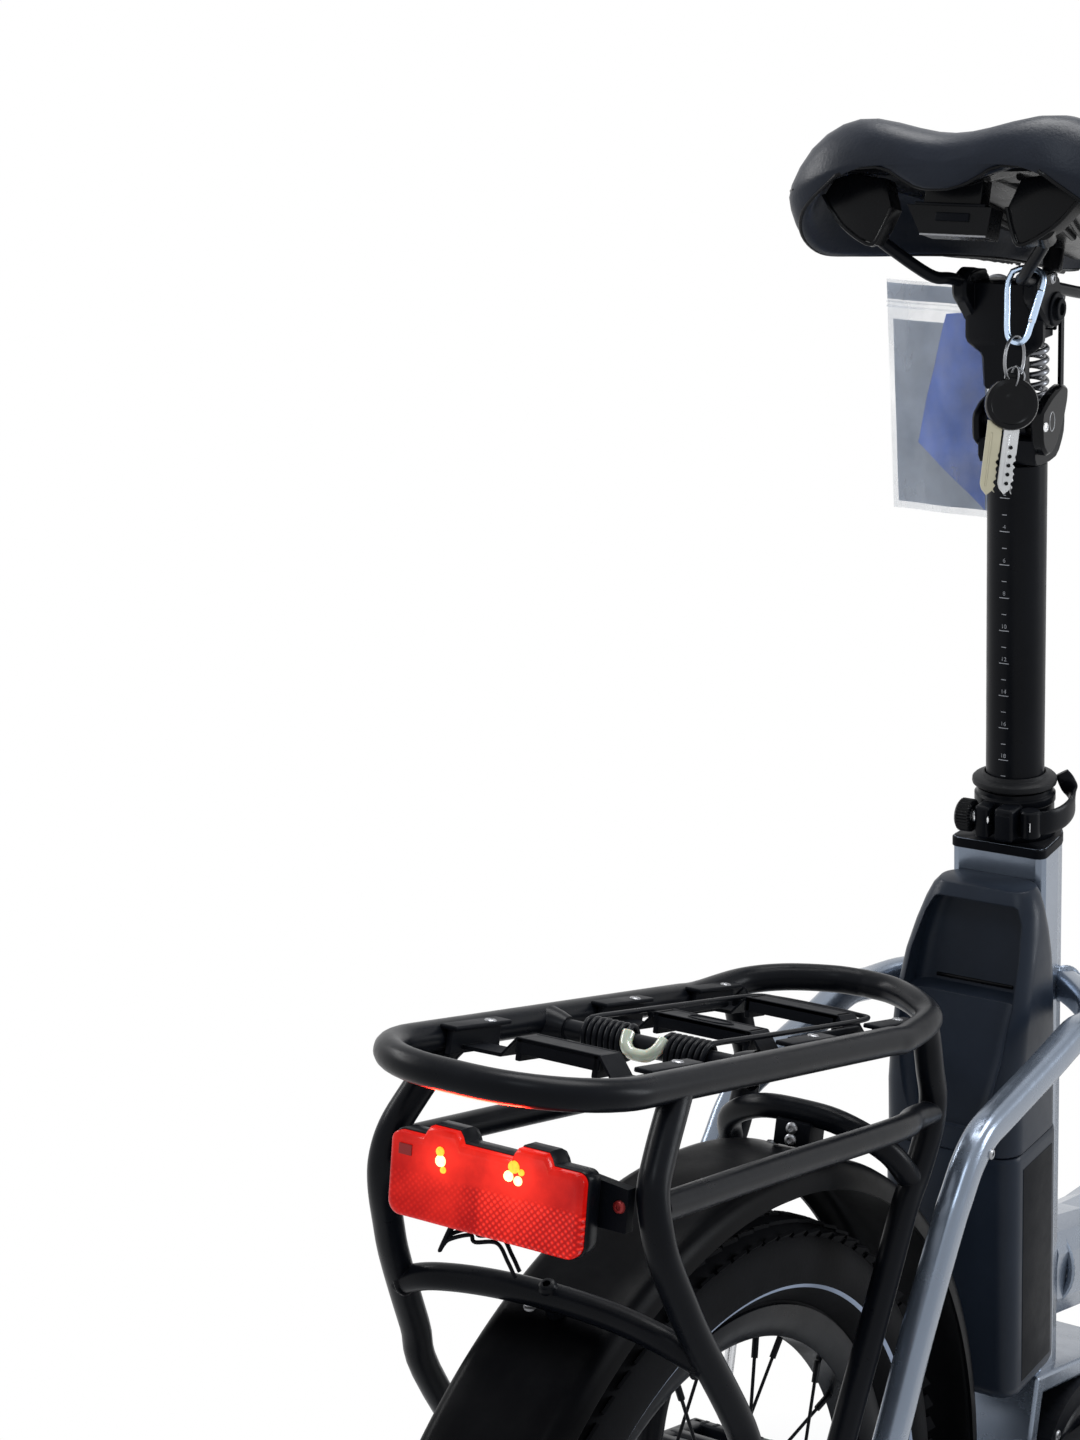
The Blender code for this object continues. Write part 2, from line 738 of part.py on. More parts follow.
def centre_stand():
    """The two-legged stand, hung from a pivot behind the motor."""
    pivot_x = BB_X - STAND_BACK
    foot_x = BB_X - FOOT_BACK
    legs = []
    for side in (-1, 1):
        path = smooth_path([
            (pivot_x, side * 0.0160, STAND_PIVOT_Z - 0.004),
            (pivot_x + 0.0010, side * 0.0300, STAND_PIVOT_Z - 0.032),
            (pivot_x + 0.0040, side * 0.0545, STAND_PIVOT_Z - 0.085),
            (pivot_x + 0.0090, side * 0.0640, 0.095),
            (foot_x - 0.0020, side * (FOOT_HALF - 0.027), 0.045),
            (foot_x, side * FOOT_HALF, STAND_R),
        ], 2)
        legs.append(tube(path, STAND_R, 1))
        legs.append(box((0.046, 0.026, 0.008), (foot_x, side * FOOT_HALF, 0.004), bevel=0.002))
    barrel = cross_rod(pivot_x, STAND_PIVOT_Z, -0.034, 0.034, 0.0120, 16)
    bore = cross_rod(pivot_x, STAND_PIVOT_Z, -0.1, 0.1, 0.0050, 12)
    part("centre_stand", barrel, "black_metal", join=legs, cut=[bore])


def stand_lugs():
    """The ears and pin behind the motor cradle that carry the stand."""
    pivot_x = BB_X - STAND_BACK
    wall_x = BB_X - MOTOR_R - GAP - BRACKET_T
    shapes = [box((wall_x + 0.006 - pivot_x + 0.012, 0.0790, 0.007),
                  ((wall_x + 0.006 + pivot_x - 0.012) / 2, 0, STAND_PIVOT_Z + 0.0380))]
    for side in (-1, 1):
        shapes.append(box((0.026, 0.006, 0.053), (pivot_x, side * 0.0376, STAND_PIVOT_Z + 0.0135)))
    shapes.append(cross_rod(pivot_x, STAND_PIVOT_Z, -0.0420, 0.0420, 0.0050 - GAP, 12))
    return shapes


# Motor and cranks
def motor_unit():
    body = cross_rod(BB_X, BB_Z, -MOTOR_HALF, MOTOR_HALF, MOTOR_R, 32)
    nose_x = BB_X + MOTOR_NOSE_AHEAD - MOTOR_NOSE_R + 0.02
    nose = cross_rod(nose_x, BB_Z + 0.012, -MOTOR_HALF + 0.004, MOTOR_HALF - 0.004, MOTOR_NOSE_R, 24)
    bore = cross_rod(BB_X, BB_Z, -0.1, 0.1, SPINDLE_R + GAP, 20)
    part("motor_unit", body, "black_plastic", join=[nose], cut=[bore])


def crank_arm(side, reach):
    """One arm as a tapered bar from the spindle to the pedal."""
    y = side * CRANK_Y
    tip = BB_X + reach
    bar = loft([
        [Vector((x, y + b * CRANK_T / 2, BB_Z + c * w)) for b, c in ((-1, -1), (1, -1), (1, 1), (-1, 1))]
        for x, w in ((BB_X, CRANK_W / 2 - 0.002), (tip, CRANK_W / 2 - 0.006))
    ])
    eye = cross_rod(BB_X, BB_Z, y - CRANK_T / 2 - 0.001, y + CRANK_T / 2 + 0.001, CRANK_W / 2, 16)
    tip_eye = cross_rod(tip, BB_Z, y - CRANK_T / 2, y + CRANK_T / 2, CRANK_W / 2 - 0.004, 12)
    return bar, eye, tip_eye


def pedal(name, side, reach):
    x = BB_X + reach
    inner = side * (CRANK_Y + CRANK_T / 2 + GAP)
    centre = side * (CRANK_Y + CRANK_T / 2 + 0.010 + PEDAL_WIDTH / 2)
    body = box((PEDAL_LENGTH, PEDAL_WIDTH, PEDAL_T), (x, centre, BB_Z), bevel=0.004)
    windows = []
    for step in (-1, 1):
        windows.append(box((0.022, PEDAL_WIDTH - 0.024, 0.05), (x + step * 0.026, centre, BB_Z)))
    neck = cross_rod(x, BB_Z, inner, centre, 0.0075, 12)
    part(name, body, "black_plastic", join=[neck], cut=windows)


def cranks():
    bar, eye, tip = crank_arm(-1, CRANK_LENGTH)
    left_face = CRANK_Y - CRANK_T / 2 - 0.001
    spindle = cross_rod(BB_X, BB_Z, -CRANK_Y, left_face + 0.010, SPINDLE_R, 20)
    part("crank_right", bar, "black_metal", join=[eye, tip, spindle])
    bar, eye, tip = crank_arm(1, -CRANK_LENGTH)
    socket = cross_rod(BB_X, BB_Z, 0, left_face + 0.010 + GAP, SPINDLE_R + GAP, 20)
    part("crank_left", bar, "black_metal", join=[eye, tip], cut=[socket])
    sprocket("front_sprocket", BB_X, BB_Z, FRONT_TEETH, SPINDLE_R + GAP)
    sprocket("rear_sprocket", REAR_X, AXLE_Z, REAR_TEETH, BOSS_R + GAP)
    drive_belt()
    pedal("pedal_right", -1, CRANK_LENGTH)
    pedal("pedal_left", 1, -CRANK_LENGTH)


# Battery
def battery_ring(s, rear, half, front=None):
    front = SEAT_BACK + GAP if front is None else front
    depth = rear - front
    section = rounded_rectangle(depth, 2 * half, min(0.012, depth / 3), 4)
    matrix = seat_frame(s, (front + rear) / 2)
    return [matrix @ Vector((x, y, 0)) for x, y in section]


def battery():
    pack = loft([
        battery_ring(BATTERY_BOTTOM, BATTERY_REAR - 0.006, BATTERY_HALF - 0.004),
        battery_ring(BATTERY_BOTTOM + 0.006, BATTERY_REAR, BATTERY_HALF),
        battery_ring(BATTERY_SPLIT - GAP, BATTERY_REAR, BATTERY_HALF),
    ])
    part("battery_pack", pack, "black_plastic")
    cover = loft([
        battery_ring(BATTERY_SPLIT, BATTERY_REAR, BATTERY_HALF),
        battery_ring(BATTERY_SPLIT + 0.035, BATTERY_REAR, BATTERY_HALF),
        battery_ring(BATTERY_TOP - 0.073, BATTERY_REAR - 0.008, BATTERY_HALF - 0.0005),
        battery_ring(BATTERY_TOP - 0.040, BATTERY_REAR - 0.021, BATTERY_HALF - 0.002),
        battery_ring(BATTERY_TOP - 0.012, BATTERY_REAR - 0.038, BATTERY_HALF - 0.007),
        battery_ring(BATTERY_TOP, BATTERY_REAR - 0.046, BATTERY_HALF - 0.012),
    ])
    pocket = loft([
        battery_ring(BATTERY_SPLIT + 0.016, BATTERY_REAR + 0.02, 0.024, BATTERY_REAR - 0.004),
        battery_ring(BATTERY_SPLIT + 0.060, BATTERY_REAR + 0.02, 0.034, BATTERY_REAR - 0.012),
        battery_ring(BATTERY_TOP - 0.062, BATTERY_REAR + 0.02, 0.0355, BATTERY_REAR - 0.026),
        battery_ring(BATTERY_TOP - 0.061, BATTERY_REAR + 0.02, 0.0355, BATTERY_REAR - 0.040),
        battery_ring(BATTERY_TOP - 0.017, BATTERY_REAR + 0.02, 0.0310, BATTERY_REAR - 0.054),
        battery_ring(BATTERY_TOP - 0.008, BATTERY_REAR + 0.02, 0.0265, BATTERY_REAR - 0.056),
    ])
    part("battery_cover", cover, "cover", cut=[pocket])


# Seatpost, its clamp and its sprung head
def seat_clamp():
    low = SEAT_TOP + GAP
    ring = rod(seat(low), seat(low + CLAMP_H), CLAMP_R, 20)
    lugs = box((0.022, 0.0268, CLAMP_H * 0.72), (-CLAMP_BOLT_BACK + 0.004, -0.0004, 0),
               seat_frame(low + CLAMP_H / 2))
    slit = box((0.030, 0.003, CLAMP_H * 2), (-CLAMP_BOLT_BACK, 0, 0), seat_frame(low + CLAMP_H / 2))
    bore = rod(seat(low - 0.01), seat(low + CLAMP_H + 0.01), POST_R + GAP, 24)
    middle = low + CLAMP_H / 2
    nut = rod(seat(middle + 0.002, CLAMP_BOLT_BACK, 0.0120),
              seat(middle + 0.002, CLAMP_BOLT_BACK, 0.0235), 0.0100, 14)
    part("seat_clamp", ring, "black_metal", join=[lugs, nut], cut=[slit, bore])
    profile = [
        (POST_R + GAP + 0.0030, SEAL_H), (SEAL_R - 0.002, SEAL_H * 0.55), (SEAL_R, 0.002),
        (SEAL_R, 0.0), (POST_R + 0.0008, 0.0), (POST_R + 0.0008, SEAL_H),
    ]
    part("seatpost_seal", turned(profile, seat_frame(low + CLAMP_H + GAP), 16), "rubber")
    clamp_lever(middle)


def clamp_lever(middle):
    """The quick-release lever, turning on an upright pin at the clamp's right rear corner."""
    pin = (LEVER_PIN_BACK, -0.0205)
    barrel = rod(seat(middle - 0.0085, *pin), seat(middle + 0.0085, *pin), 0.0062, 16)
    points = [
        (0.0, *pin), (0.0, 0.0160, -0.0290), (0.0005, 0.0030, -0.0328), (0.0030, -0.0090, -0.0330),
        (0.0085, -0.0150, -0.0305), (0.0150, -0.0165, -0.0275), (0.0210, -0.0160, -0.0250),
    ]
    path = smooth_path([seat(middle + up, back, y) for up, back, y in points], 2)
    arm = sweep(path, (0.0120, 0.0030), 0.0012)
    part("seat_clamp_lever", barrel, "black_metal", join=[arm])


def seatpost():
    post = rod(seat(POST_BOTTOM), seat(HEAD_FOOT - GAP), POST_R, 24)
    hollow = rod(seat(POST_BOTTOM - 0.01), seat(HEAD_FOOT - 0.010), POST_R - 0.0025, 20)
    part("seatpost_tube", post, "black_metal", cut=[hollow])
    lower_head()
    rear_link()
    front_link()
    upper_head()
    seatpost_spring()


def cut_from(base, cutters, join=()):
    """Joins shapes to a hidden shape, then cuts others from it."""
    for index, other in enumerate([*join, *cutters]):
        boolean = base.modifiers.new(f"shape_{index}", "BOOLEAN")
        boolean.operation = "UNION" if index < len(join) else "DIFFERENCE"
        boolean.object = other
    return base


def slab(outline, y0, y1):
    """A piece with an (ahead, up) outline beside the seat axis, from y0 to y1."""
    return loft([[seat(up, -ahead, y) for ahead, up in outline] for y in (y0, y1)])


def pivot_rod(place, half, radius, sides=12):
    """A rod along Y at an (ahead, up) place beside the seat axis."""
    ahead, up = place
    return rod(seat(up, -ahead, -half), seat(up, -ahead, half), radius, sides)


def mirrored(make, outline, y0, y1):
    return [make(outline, y0, y1), make(outline, -y1, -y0)]


def lower_head():
    """The fixed fork of the head, with both lower pins and the spring's seat."""
    low = HEAD_FOOT
    block = slab([
        (-0.0160, low), (0.0160, low), (0.0265, low + 0.014), (0.0265, SPRING_LOW),
        (0.0118, SPRING_LOW), (0.0118, low + 0.0165), (-0.0160, low + 0.0165),
    ], -0.0180, 0.0180)
    nose = slab([
        (0.0200, low + 0.0120), (0.0400, low + 0.0170), (0.0400, SPRING_LOW - 0.0005),
        (0.0200, SPRING_LOW - 0.0005),
    ], -0.0095, 0.0095)
    cheek = [
        (-0.0080, low + 0.0075), (-0.0020, low + 0.0090), (0.0045, low + 0.0125), (0.0105, low + 0.0180),
        (0.0142, low + 0.0243), (0.0158, low + 0.0320), (0.0152, low + 0.0390), (0.0105, low + 0.0430),
        (0.0060, low + 0.0425), (0.0010, low + 0.0380), (-0.0080, low + 0.0365),
        (-0.0150, low + 0.0330), (-0.0185, low + 0.0250), (-0.0175, low + 0.0140),
        (-0.0135, low + 0.0090),
    ]
    cheeks = [slab(cheek, -0.0245, -0.0170), slab(cheek, 0.0170, 0.0210)]
    slot = slab([(0.0250, low + 0.0185), (0.06, low + 0.0185), (0.06, low + 0.06), (0.0250, low + 0.06)],
                -LINK_SLOT, LINK_SLOT)
    fork = cut_from(block, [slot], join=[nose])
    pins = [pivot_rod(REAR_PIVOT, 0.0240, PIVOT_R), pivot_rod(FRONT_PIVOT, 0.0100, FRONT_PIN_R)]
    part("seatpost_lower_head", fork, "black_metal", join=[*cheeks, *pins])


def raised(place):
    return (place[0], place[1] + LINK_LENGTH)


def rear_link():
    """The flat link behind the spring."""
    ahead, up = REAR_PIVOT
    top = up + LINK_LENGTH
    bar = slab([(ahead - 0.006, up), (ahead + 0.006, up), (ahead + 0.006, top), (ahead - 0.006, top)],
               -LINK_HALF, LINK_HALF)
    eyes = [pivot_rod(p, LINK_HALF - 0.0001, 0.0082, 12) for p in (REAR_PIVOT, raised(REAR_PIVOT))]
    bores = [pivot_rod(p, 0.03, PIVOT_R + PIN_RUN, 12) for p in (REAR_PIVOT, raised(REAR_PIVOT))]
    part("seatpost_rear_link", bar, "black_metal", join=eyes, cut=bores)


def front_link():
    """The narrow link ahead of the spring."""
    ahead, up = FRONT_PIVOT
    top = up + LINK_LENGTH
    half = LINK_SLOT - 0.0005
    bar = slab([(ahead - 0.0030, up), (ahead + 0.0030, up), (ahead + 0.0030, top),
                (ahead - 0.0030, top)], -half, half)
    eyes = [pivot_rod(p, half - 0.0001, 0.0045, 12) for p in (FRONT_PIVOT, raised(FRONT_PIVOT))]
    bores = [pivot_rod(p, 0.03, FRONT_PIN_R + PIN_RUN, 12)
             for p in (FRONT_PIVOT, raised(FRONT_PIVOT))]
    part("seatpost_front_link", bar, "black_metal", join=eyes, cut=bores)


def rail_path(side):
    points = [
        (-0.3275, 0.0530, 1.0500),
        (-0.3145, 0.0490, 1.0430),
        (-0.2905, 0.0290, 1.0280),
        (-0.2745, 0.0222, RAIL_Z - 0.0020),
        (-0.2295, 0.0220, RAIL_Z),
        (-0.1745, 0.0220, RAIL_Z + 0.0045),
        (-0.1565, 0.0180, RAIL_Z + 0.0160),
        (-0.1485, 0.0160, RAIL_Z + 0.0290),
    ]
    return smooth_path([lean(Vector((SEAT_FOOT_X + x, side * y, z))) for x, y, z in points], 2)


def upper_head():
    """The head that carries the saddle, with both upper pins and a clip round each rail."""
    top = raised(REAR_PIVOT)[1]
    block = slab([
        (0.0122, SPRING_HIGH + 0.0040), (0.0142, SPRING_HIGH + 0.0040), (0.0142, top + 0.0140),
        (-0.0190, top + 0.0155), (-0.0190, top + 0.0090), (0.0122, top + 0.0090),
    ], -0.0180, 0.0180)
    neck = slab([(0.0122, SPRING_HIGH), (0.0275, SPRING_HIGH), (0.0275, top + 0.0125),
                 (0.0128, top + 0.0125)], -0.0095, 0.0095)
    nose = slab([
        (0.0200, SPRING_HIGH + 0.0030), (0.0385, top - 0.0085), (0.0385, top + 0.0075),
        (0.0300, top + 0.0115), (0.0200, top + 0.0115),
    ], -0.0065, 0.0065)
    slot = slab([(0.0282, top - 0.05), (0.06, top - 0.05), (0.06, top + 0.0062), (0.0282, top + 0.0062)],
                -LINK_SLOT, LINK_SLOT)
    fork = cut_from(block, [slot], join=[neck, nose])
    cheeks = mirrored(slab, [
        (-0.0080, top - 0.0115), (-0.0015, top - 0.0095), (0.0010, top - 0.0030), (0.0015, top + 0.0100),
        (-0.0020, top + 0.0190), (-0.0240, top + 0.0245), (-0.0340, top + 0.0200),
        (-0.0360, top + 0.0120), (-0.0310, top + 0.0040), (-0.0200, top - 0.0060),
    ], 0.0170, 0.0265)
    pins = [
        pivot_rod(raised(REAR_PIVOT), 0.0255, PIVOT_R),
        pivot_rod(raised(FRONT_PIVOT), 0.0070, FRONT_PIN_R),
    ]
    for side in (-1, 1):
        ahead, up = raised(REAR_PIVOT)
        pins.append(rod(seat(up, -ahead, side * 0.0255), seat(up, -ahead, side * 0.0300), 0.0078, 16))
    skirt = loft([[seat(up, back, y) for back, y in ((0.0168, -half), (0.0168, half), (0.0220, half),
                                                     (0.0220, -half))]
                  for up, half in ((0.7510, 0.0105), (0.7650, 0.0165), (0.7780, 0.0180), (top + 0.0150, 0.0180))])
    rails = [tube(rail_path(side)[4:-2], RAIL_R + 0.0006, 1) for side in (-1, 1)]
    part("seatpost_upper_head", fork, "black_metal", join=[*cheeks, *pins, skirt], cut=rails)


def least_gap(points, per_turn, wire):
    """The smallest distance between neighbouring turns of a helix, wire to wire."""
    return min((a - b).length for a, b in zip(points, points[per_turn:])) - wire


def spring_points(start, end, radius, turns, per_turn, side):
    """A helix from one point to another, starting on the given side."""
    axis = (end - start).normalized()
    side = (side - side.dot(axis) * axis).normalized()
    other = axis.cross(side)
    points = []
    for index in range(turns * per_turn + 1):
        angle = 2 * math.pi * index / per_turn
        along = (end - start) * (index / (turns * per_turn))
        points.append(start + along + radius * (side * math.cos(angle) + other * math.sin(angle)))
    return points


def seatpost_spring():
    radius = SPRING_R - SPRING_WIRE / 2
    inset = SPRING_WIRE / 2 + GAP
    start = seat(SPRING_LOW + inset, -SPRING_AHEAD)
    end = seat(SPRING_HIGH - inset, -SPRING_AHEAD)
    points = spring_points(start, end, radius, SPRING_TURNS, 10, SEAT_REARWARD)
    print("seatpost spring least gap mm", round(1000 * least_gap(points, 10, SPRING_WIRE), 2))
    spring = tube(points, SPRING_WIRE / 2, 1)
    part("seatpost_spring", spring, "steel")


# Saddle
SADDLE_SECTIONS = (
    # ahead of the seat foot, half width, crest, dip, side, rim
    (-0.3575, 0.0500, 1.0830, 1.0780, 1.0640, 1.0560),
    (-0.3535, 0.0740, 1.0965, 1.0890, 1.0640, 1.0480),
    (-0.3425, 0.0950, 1.1070, 1.0960, 1.0660, 1.0410),
    (-0.3245, 0.1050, 1.1100, 1.0980, 1.0690, 1.0350),
    (-0.2995, 0.1055, 1.1090, 1.0970, 1.0700, 1.0340),
    (-0.2745, 0.0970, 1.1055, 1.0955, 1.0710, 1.0370),
    (-0.2495, 0.0800, 1.1015, 1.0930, 1.0710, 1.0430),
    (-0.2195, 0.0590, 1.0975, 1.0910, 1.0710, 1.0480),
    (-0.1845, 0.0420, 1.0945, 1.0890, 1.0710, 1.0520),
    (-0.1495, 0.0340, 1.0930, 1.0890, 1.0700, 1.0540),
    (-0.1195, 0.0300, 1.0910, 1.0885, 1.0690, 1.0550),
    (-0.1005, 0.0230, 1.0860, 1.0845, 1.0690, 1.0580),
    (-0.0925, 0.0120, 1.0780, 1.0775, 1.0700, 1.0640),
)


def saddle_ring(ahead, half, crest, dip, side, rim):
    x = SEAT_FOOT_X + ahead
    under = underside(side, rim)
    right = [
        (0.00, dip), (0.22, dip + 0.30 * (crest - dip)), (0.50, crest), (0.70, crest - 0.0030),
        (0.89, crest - 0.40 * (crest - side)), (1.00, side), (0.975, (side + rim) / 2 + 0.0010),
        (0.87, rim + 0.0010), (0.78, rim + 0.0015), (0.73, under), (0.0, under),
    ]
    ring = [Vector((x, half * y, z)) for y, z in right]
    ring += [Vector((x, -half * y, z)) for y, z in reversed(right[1:-1])]
    return [lean(point) for point in ring]


def lean(point):
    """Lowers a point of the saddle on its left and raises it on its right, as the saddle sits."""
    return Vector((point.x, point.y, point.z - SADDLE_LEAN * point.y))


def underside(side, rim):
    """Height of the hollow under the cushion, between its side's height and its rim's."""
    return min(rim + 0.0200, side - 0.0060)


def saddle():
    cushion = loft([saddle_ring(*section) for section in SADDLE_SECTIONS])
    part("saddle_cushion", cushion, "rubber")
    rings = []
    for ahead, half, _, _, side, rim in SADDLE_SECTIONS[2:-3]:
        x = SEAT_FOOT_X + ahead
        top = underside(side, rim) - GAP
        half = 0.70 * half
        rings.append([
            lean(Vector((x, y, z))) for y, z in (
                (half, top), (half, top - SHELL_T * 0.6), (0.6 * half, top - SHELL_T),
                (-0.6 * half, top - SHELL_T), (-half, top - SHELL_T * 0.6), (-half, top),
            )
        ])
    shell = loft(rings)
    rails = [tube(rail_path(side), RAIL_R, 1) for side in (-1, 1)]
    sockets = []
    for side in (-1, 1):
        ends = [Vector((SEAT_FOOT_X + x, side * y, z)) for x, y, z in (
            (-0.3330, 0.0545, 1.0480), (-0.3175, 0.0500, 1.0450),
            (-0.1505, 0.0160, 1.0500), (-0.1505, 0.0160, 1.0610),
        )]
        sockets.append(rod(lean(ends[0]), lean(ends[1]), 0.0068, 8))
        sockets.append(rod(lean(ends[2]), lean(ends[3]), 0.0060, 8))
    clip = box((0.016, 0.042, 0.017), (SEAT_FOOT_X - 0.3335, -0.003, 1.0450))
    part("saddle_base", shell, "black_plastic", join=[clip, *sockets, *rails])


# Rack
def rack_z(x):
    """Height of the rack's side tubes, which rise a little towards the front."""
    rear_x = REAR_X - RACK_REACH + RACK_TUBE_R
    t = (x - rear_x) / (RACK_FRONT_X - rear_x)
    return RACK_REAR_Z + t * (RACK_FRONT_Z - RACK_REAR_Z)


def rack_loop():
    """Half of the deck's centre line, from the rear centre to the front centre on the left."""
    rear_x = REAR_X - RACK_REACH + RACK_TUBE_R
    corner = RACK_CORNER_R
    half = [Vector((rear_x, 0, RACK_REAR_Z))]
    for step in range(6):
        angle = math.pi / 2 * step / 5
        x = rear_x + corner - corner * math.cos(angle)
        half.append(Vector((x, RACK_HALF - corner + corner * math.sin(angle), rack_z(x))))
    half.append(Vector((RACK_FRONT_X - 0.03, RACK_HALF, rack_z(RACK_FRONT_X - 0.03))))
    nose = smooth_path([
        (RACK_FRONT_X, RACK_HALF, RACK_FRONT_Z),
        (RACK_FRONT_X + 0.038, 0.0575, RACK_FRONT_Z + 0.006),
        (RACK_FRONT_X + 0.057, 0.0410, RACK_FRONT_Z + 0.0105),
        (RACK_FRONT_X + 0.073, 0.0190, RACK_FRONT_Z + 0.0125),
        (RACK_FRONT_X + 0.077, 0.0, RACK_FRONT_Z + 0.0130),
    ], 2)
    return half + nose


def rack_ring():
    """The deck's whole centre line."""
    half = rack_loop()
    return half + [Vector((p.x, -p.y, p.z)) for p in reversed(half[1:-1])]


def rack_side(side, radius):
    """The straight stretch of a side tube, as a rod."""
    x0 = REAR_X - RACK_REACH + RACK_CORNER_R
    x1 = RACK_FRONT_X + 0.002
    return rod((x0, side * RACK_HALF, rack_z(x0)), (x1, side * RACK_HALF, rack_z(x1)), radius, 16)


def rack_deck():
    ring = tube(rack_ring(), RACK_TUBE_R, 2, closed=True)
    inner = RACK_HALF - RACK_TUBE_R + 0.004
    bars = []
    for x, width in ((REAR_BAR_X, 0.022), (MIDDLE_BAR_X, 0.020), (FRONT_BAR_X, 0.020)):
        low = rack_z(x) - 0.004
        high = rack_z(x) + RACK_TUBE_R - 0.0005
        bars.append(box((width, 2 * inner, RACK_BAR_T), (x, 0, low)))
        bars.append(box((width, 2 * STRIP_HALF, high - low), (x, 0, (high + low) / 2)))
    for side in (-1, 1):
        x = (MIDDLE_BAR_X + FRONT_BAR_X) / 2
        bars.append(box((FRONT_BAR_X - MIDDLE_BAR_X, 0.012, RACK_BAR_T * 0.9),
                        (x, side * 0.036, rack_z(x) - 0.0042)))
    cross = cross_rod(HINGE_X, HINGE_Z, -inner, inner, HINGE_TUBE_R, 16)
    part("rack_deck", ring, "black_metal", join=[*bars, cross])


def rear_leg_path(side):
    points = [
        (-0.2080, 0.0655, 0.6080), (-0.2255, 0.0680, 0.5850), (-0.2336, 0.0712, 0.5700),
        (-0.2332, 0.0748, 0.5550), (-0.2276, 0.0773, 0.5400), (-0.2146, 0.0809, 0.5200),
        (-0.2000, 0.0845, 0.5000), (-0.1655, 0.0915, 0.4600), (-0.1332, 0.0950, 0.4200),
        (0.0080, 0.0930, 0.2900),
    ]
    return [Vector((REAR_X + x, side * y, z)) for x, y, z in points]


def rack_rear_hoop():
    """Both rear legs, joined by the arch over the mudguard and lugged to the stays."""
    legs = [tube(rear_leg_path(side), RACK_TUBE_R, 2) for side in (-1, 1)]
    arch_points = [
        (-0.1908, 0.0860, 0.4870), (-0.1950, 0.0640, 0.4945), (-0.1925, 0.0350, 0.4980),
        (-0.1910, 0.0, 0.4990),
    ]
    arch = [Vector((REAR_X + x, y, z)) for x, y, z in arch_points]
    arch += [Vector((p.x, -p.y, p.z)) for p in reversed(arch[:-1])]
    lugs = []
    for side in (-1, 1):
        outer = side * (STAY_Y + STAY_WIDTH / 2 + GAP)
        lugs.append(cross_rod(REAR_X + 0.0090, 0.2960, outer, side * 0.0930, 0.0060, 8))
    middle = Vector((REAR_X - 0.1910, 0.0, 0.4990))
    degrees = math.degrees(math.atan2(middle.z - AXLE_Z, middle.x - REAR_X))
    lugs.append(rod(middle, guard_point(degrees, rear_crown(degrees) + GAP), 0.0050, 8))
    sides = [rack_side(side, RACK_TUBE_R + GAP) for side in (-1, 1)]
    part("rack_rear_hoop", tube(arch, 0.0068, 1), "black_metal", join=[*legs, *lugs], cut=sides)


def front_leg_path(side):
    points = [
        (0.0630, 0.0585, 0.6210), (0.0690, 0.0583, 0.6130), (0.0790, 0.0578, 0.5960),
        (0.0890, 0.0572, 0.5800), (0.0905, 0.0568, 0.5630), (0.0830, 0.0562, 0.5400),
        (0.0730, 0.0560, 0.5218), (0.0614, 0.0560, 0.4885),
        (0.0499, 0.0560, 0.4555), (0.0326, 0.0560, 0.4078), (0.0265, 0.0560, 0.3850),
        (0.0260, 0.0560, 0.3480),
    ]
    return [Vector((REAR_X + x, side * y, z)) for x, y, z in points]


def rack_front_hoop():
    """Both front legs with the arch between them and a strut back to each rear leg."""
    shapes = []
    around = [tube(rack_ring(), RACK_TUBE_R + GAP, 2, closed=True)]
    for side in (-1, 1):
        shapes.append(tube(front_leg_path(side), RACK_TUBE_R, 2))
        strut = smooth_path([
            (REAR_X - 0.2290, side * 0.0725, 0.5620), (REAR_X - 0.1200, side * 0.0700, 0.5660),
            (REAR_X + 0.0250, side * 0.0665, 0.5700), (REAR_X + 0.0600, side * 0.0600, 0.5710),
            (REAR_X + 0.0920, side * 0.0570, 0.5715),
        ], 1)
        shapes.append(tube(strut, 0.0068, 1))
        inner = side * (STAY_Y - STAY_WIDTH / 2 - GAP)
        shapes.append(cross_rod(REAR_X + 0.0300, 0.3620, side * 0.0560, inner, 0.0060, 8))
        around.append(tube(rear_leg_path(side), RACK_TUBE_R + GAP, 2))
    arch = smooth_path([
        (REAR_X + 0.0800, 0.0562, 0.5330), (REAR_X + 0.0600, 0.0480, 0.5510),
        (REAR_X + 0.0480, 0.0250, 0.5625), (REAR_X + 0.0470, 0.0, 0.5645),
    ], 1)
    arch += [Vector((p.x, -p.y, p.z)) for p in reversed(arch[:-1])]
    foot = guard_point(GUARD_TAB_ANGLE, GUARD_R + 0.0020)
    tab = box((0.020, 0.022, 0.5600 - foot.z), (REAR_X + 0.0490, 0, (0.5600 + foot.z) / 2), bevel=0.001)
    part("rack_front_hoop", tube(arch, 0.0068, 1), "black_metal", join=[*shapes, tab], cut=around)


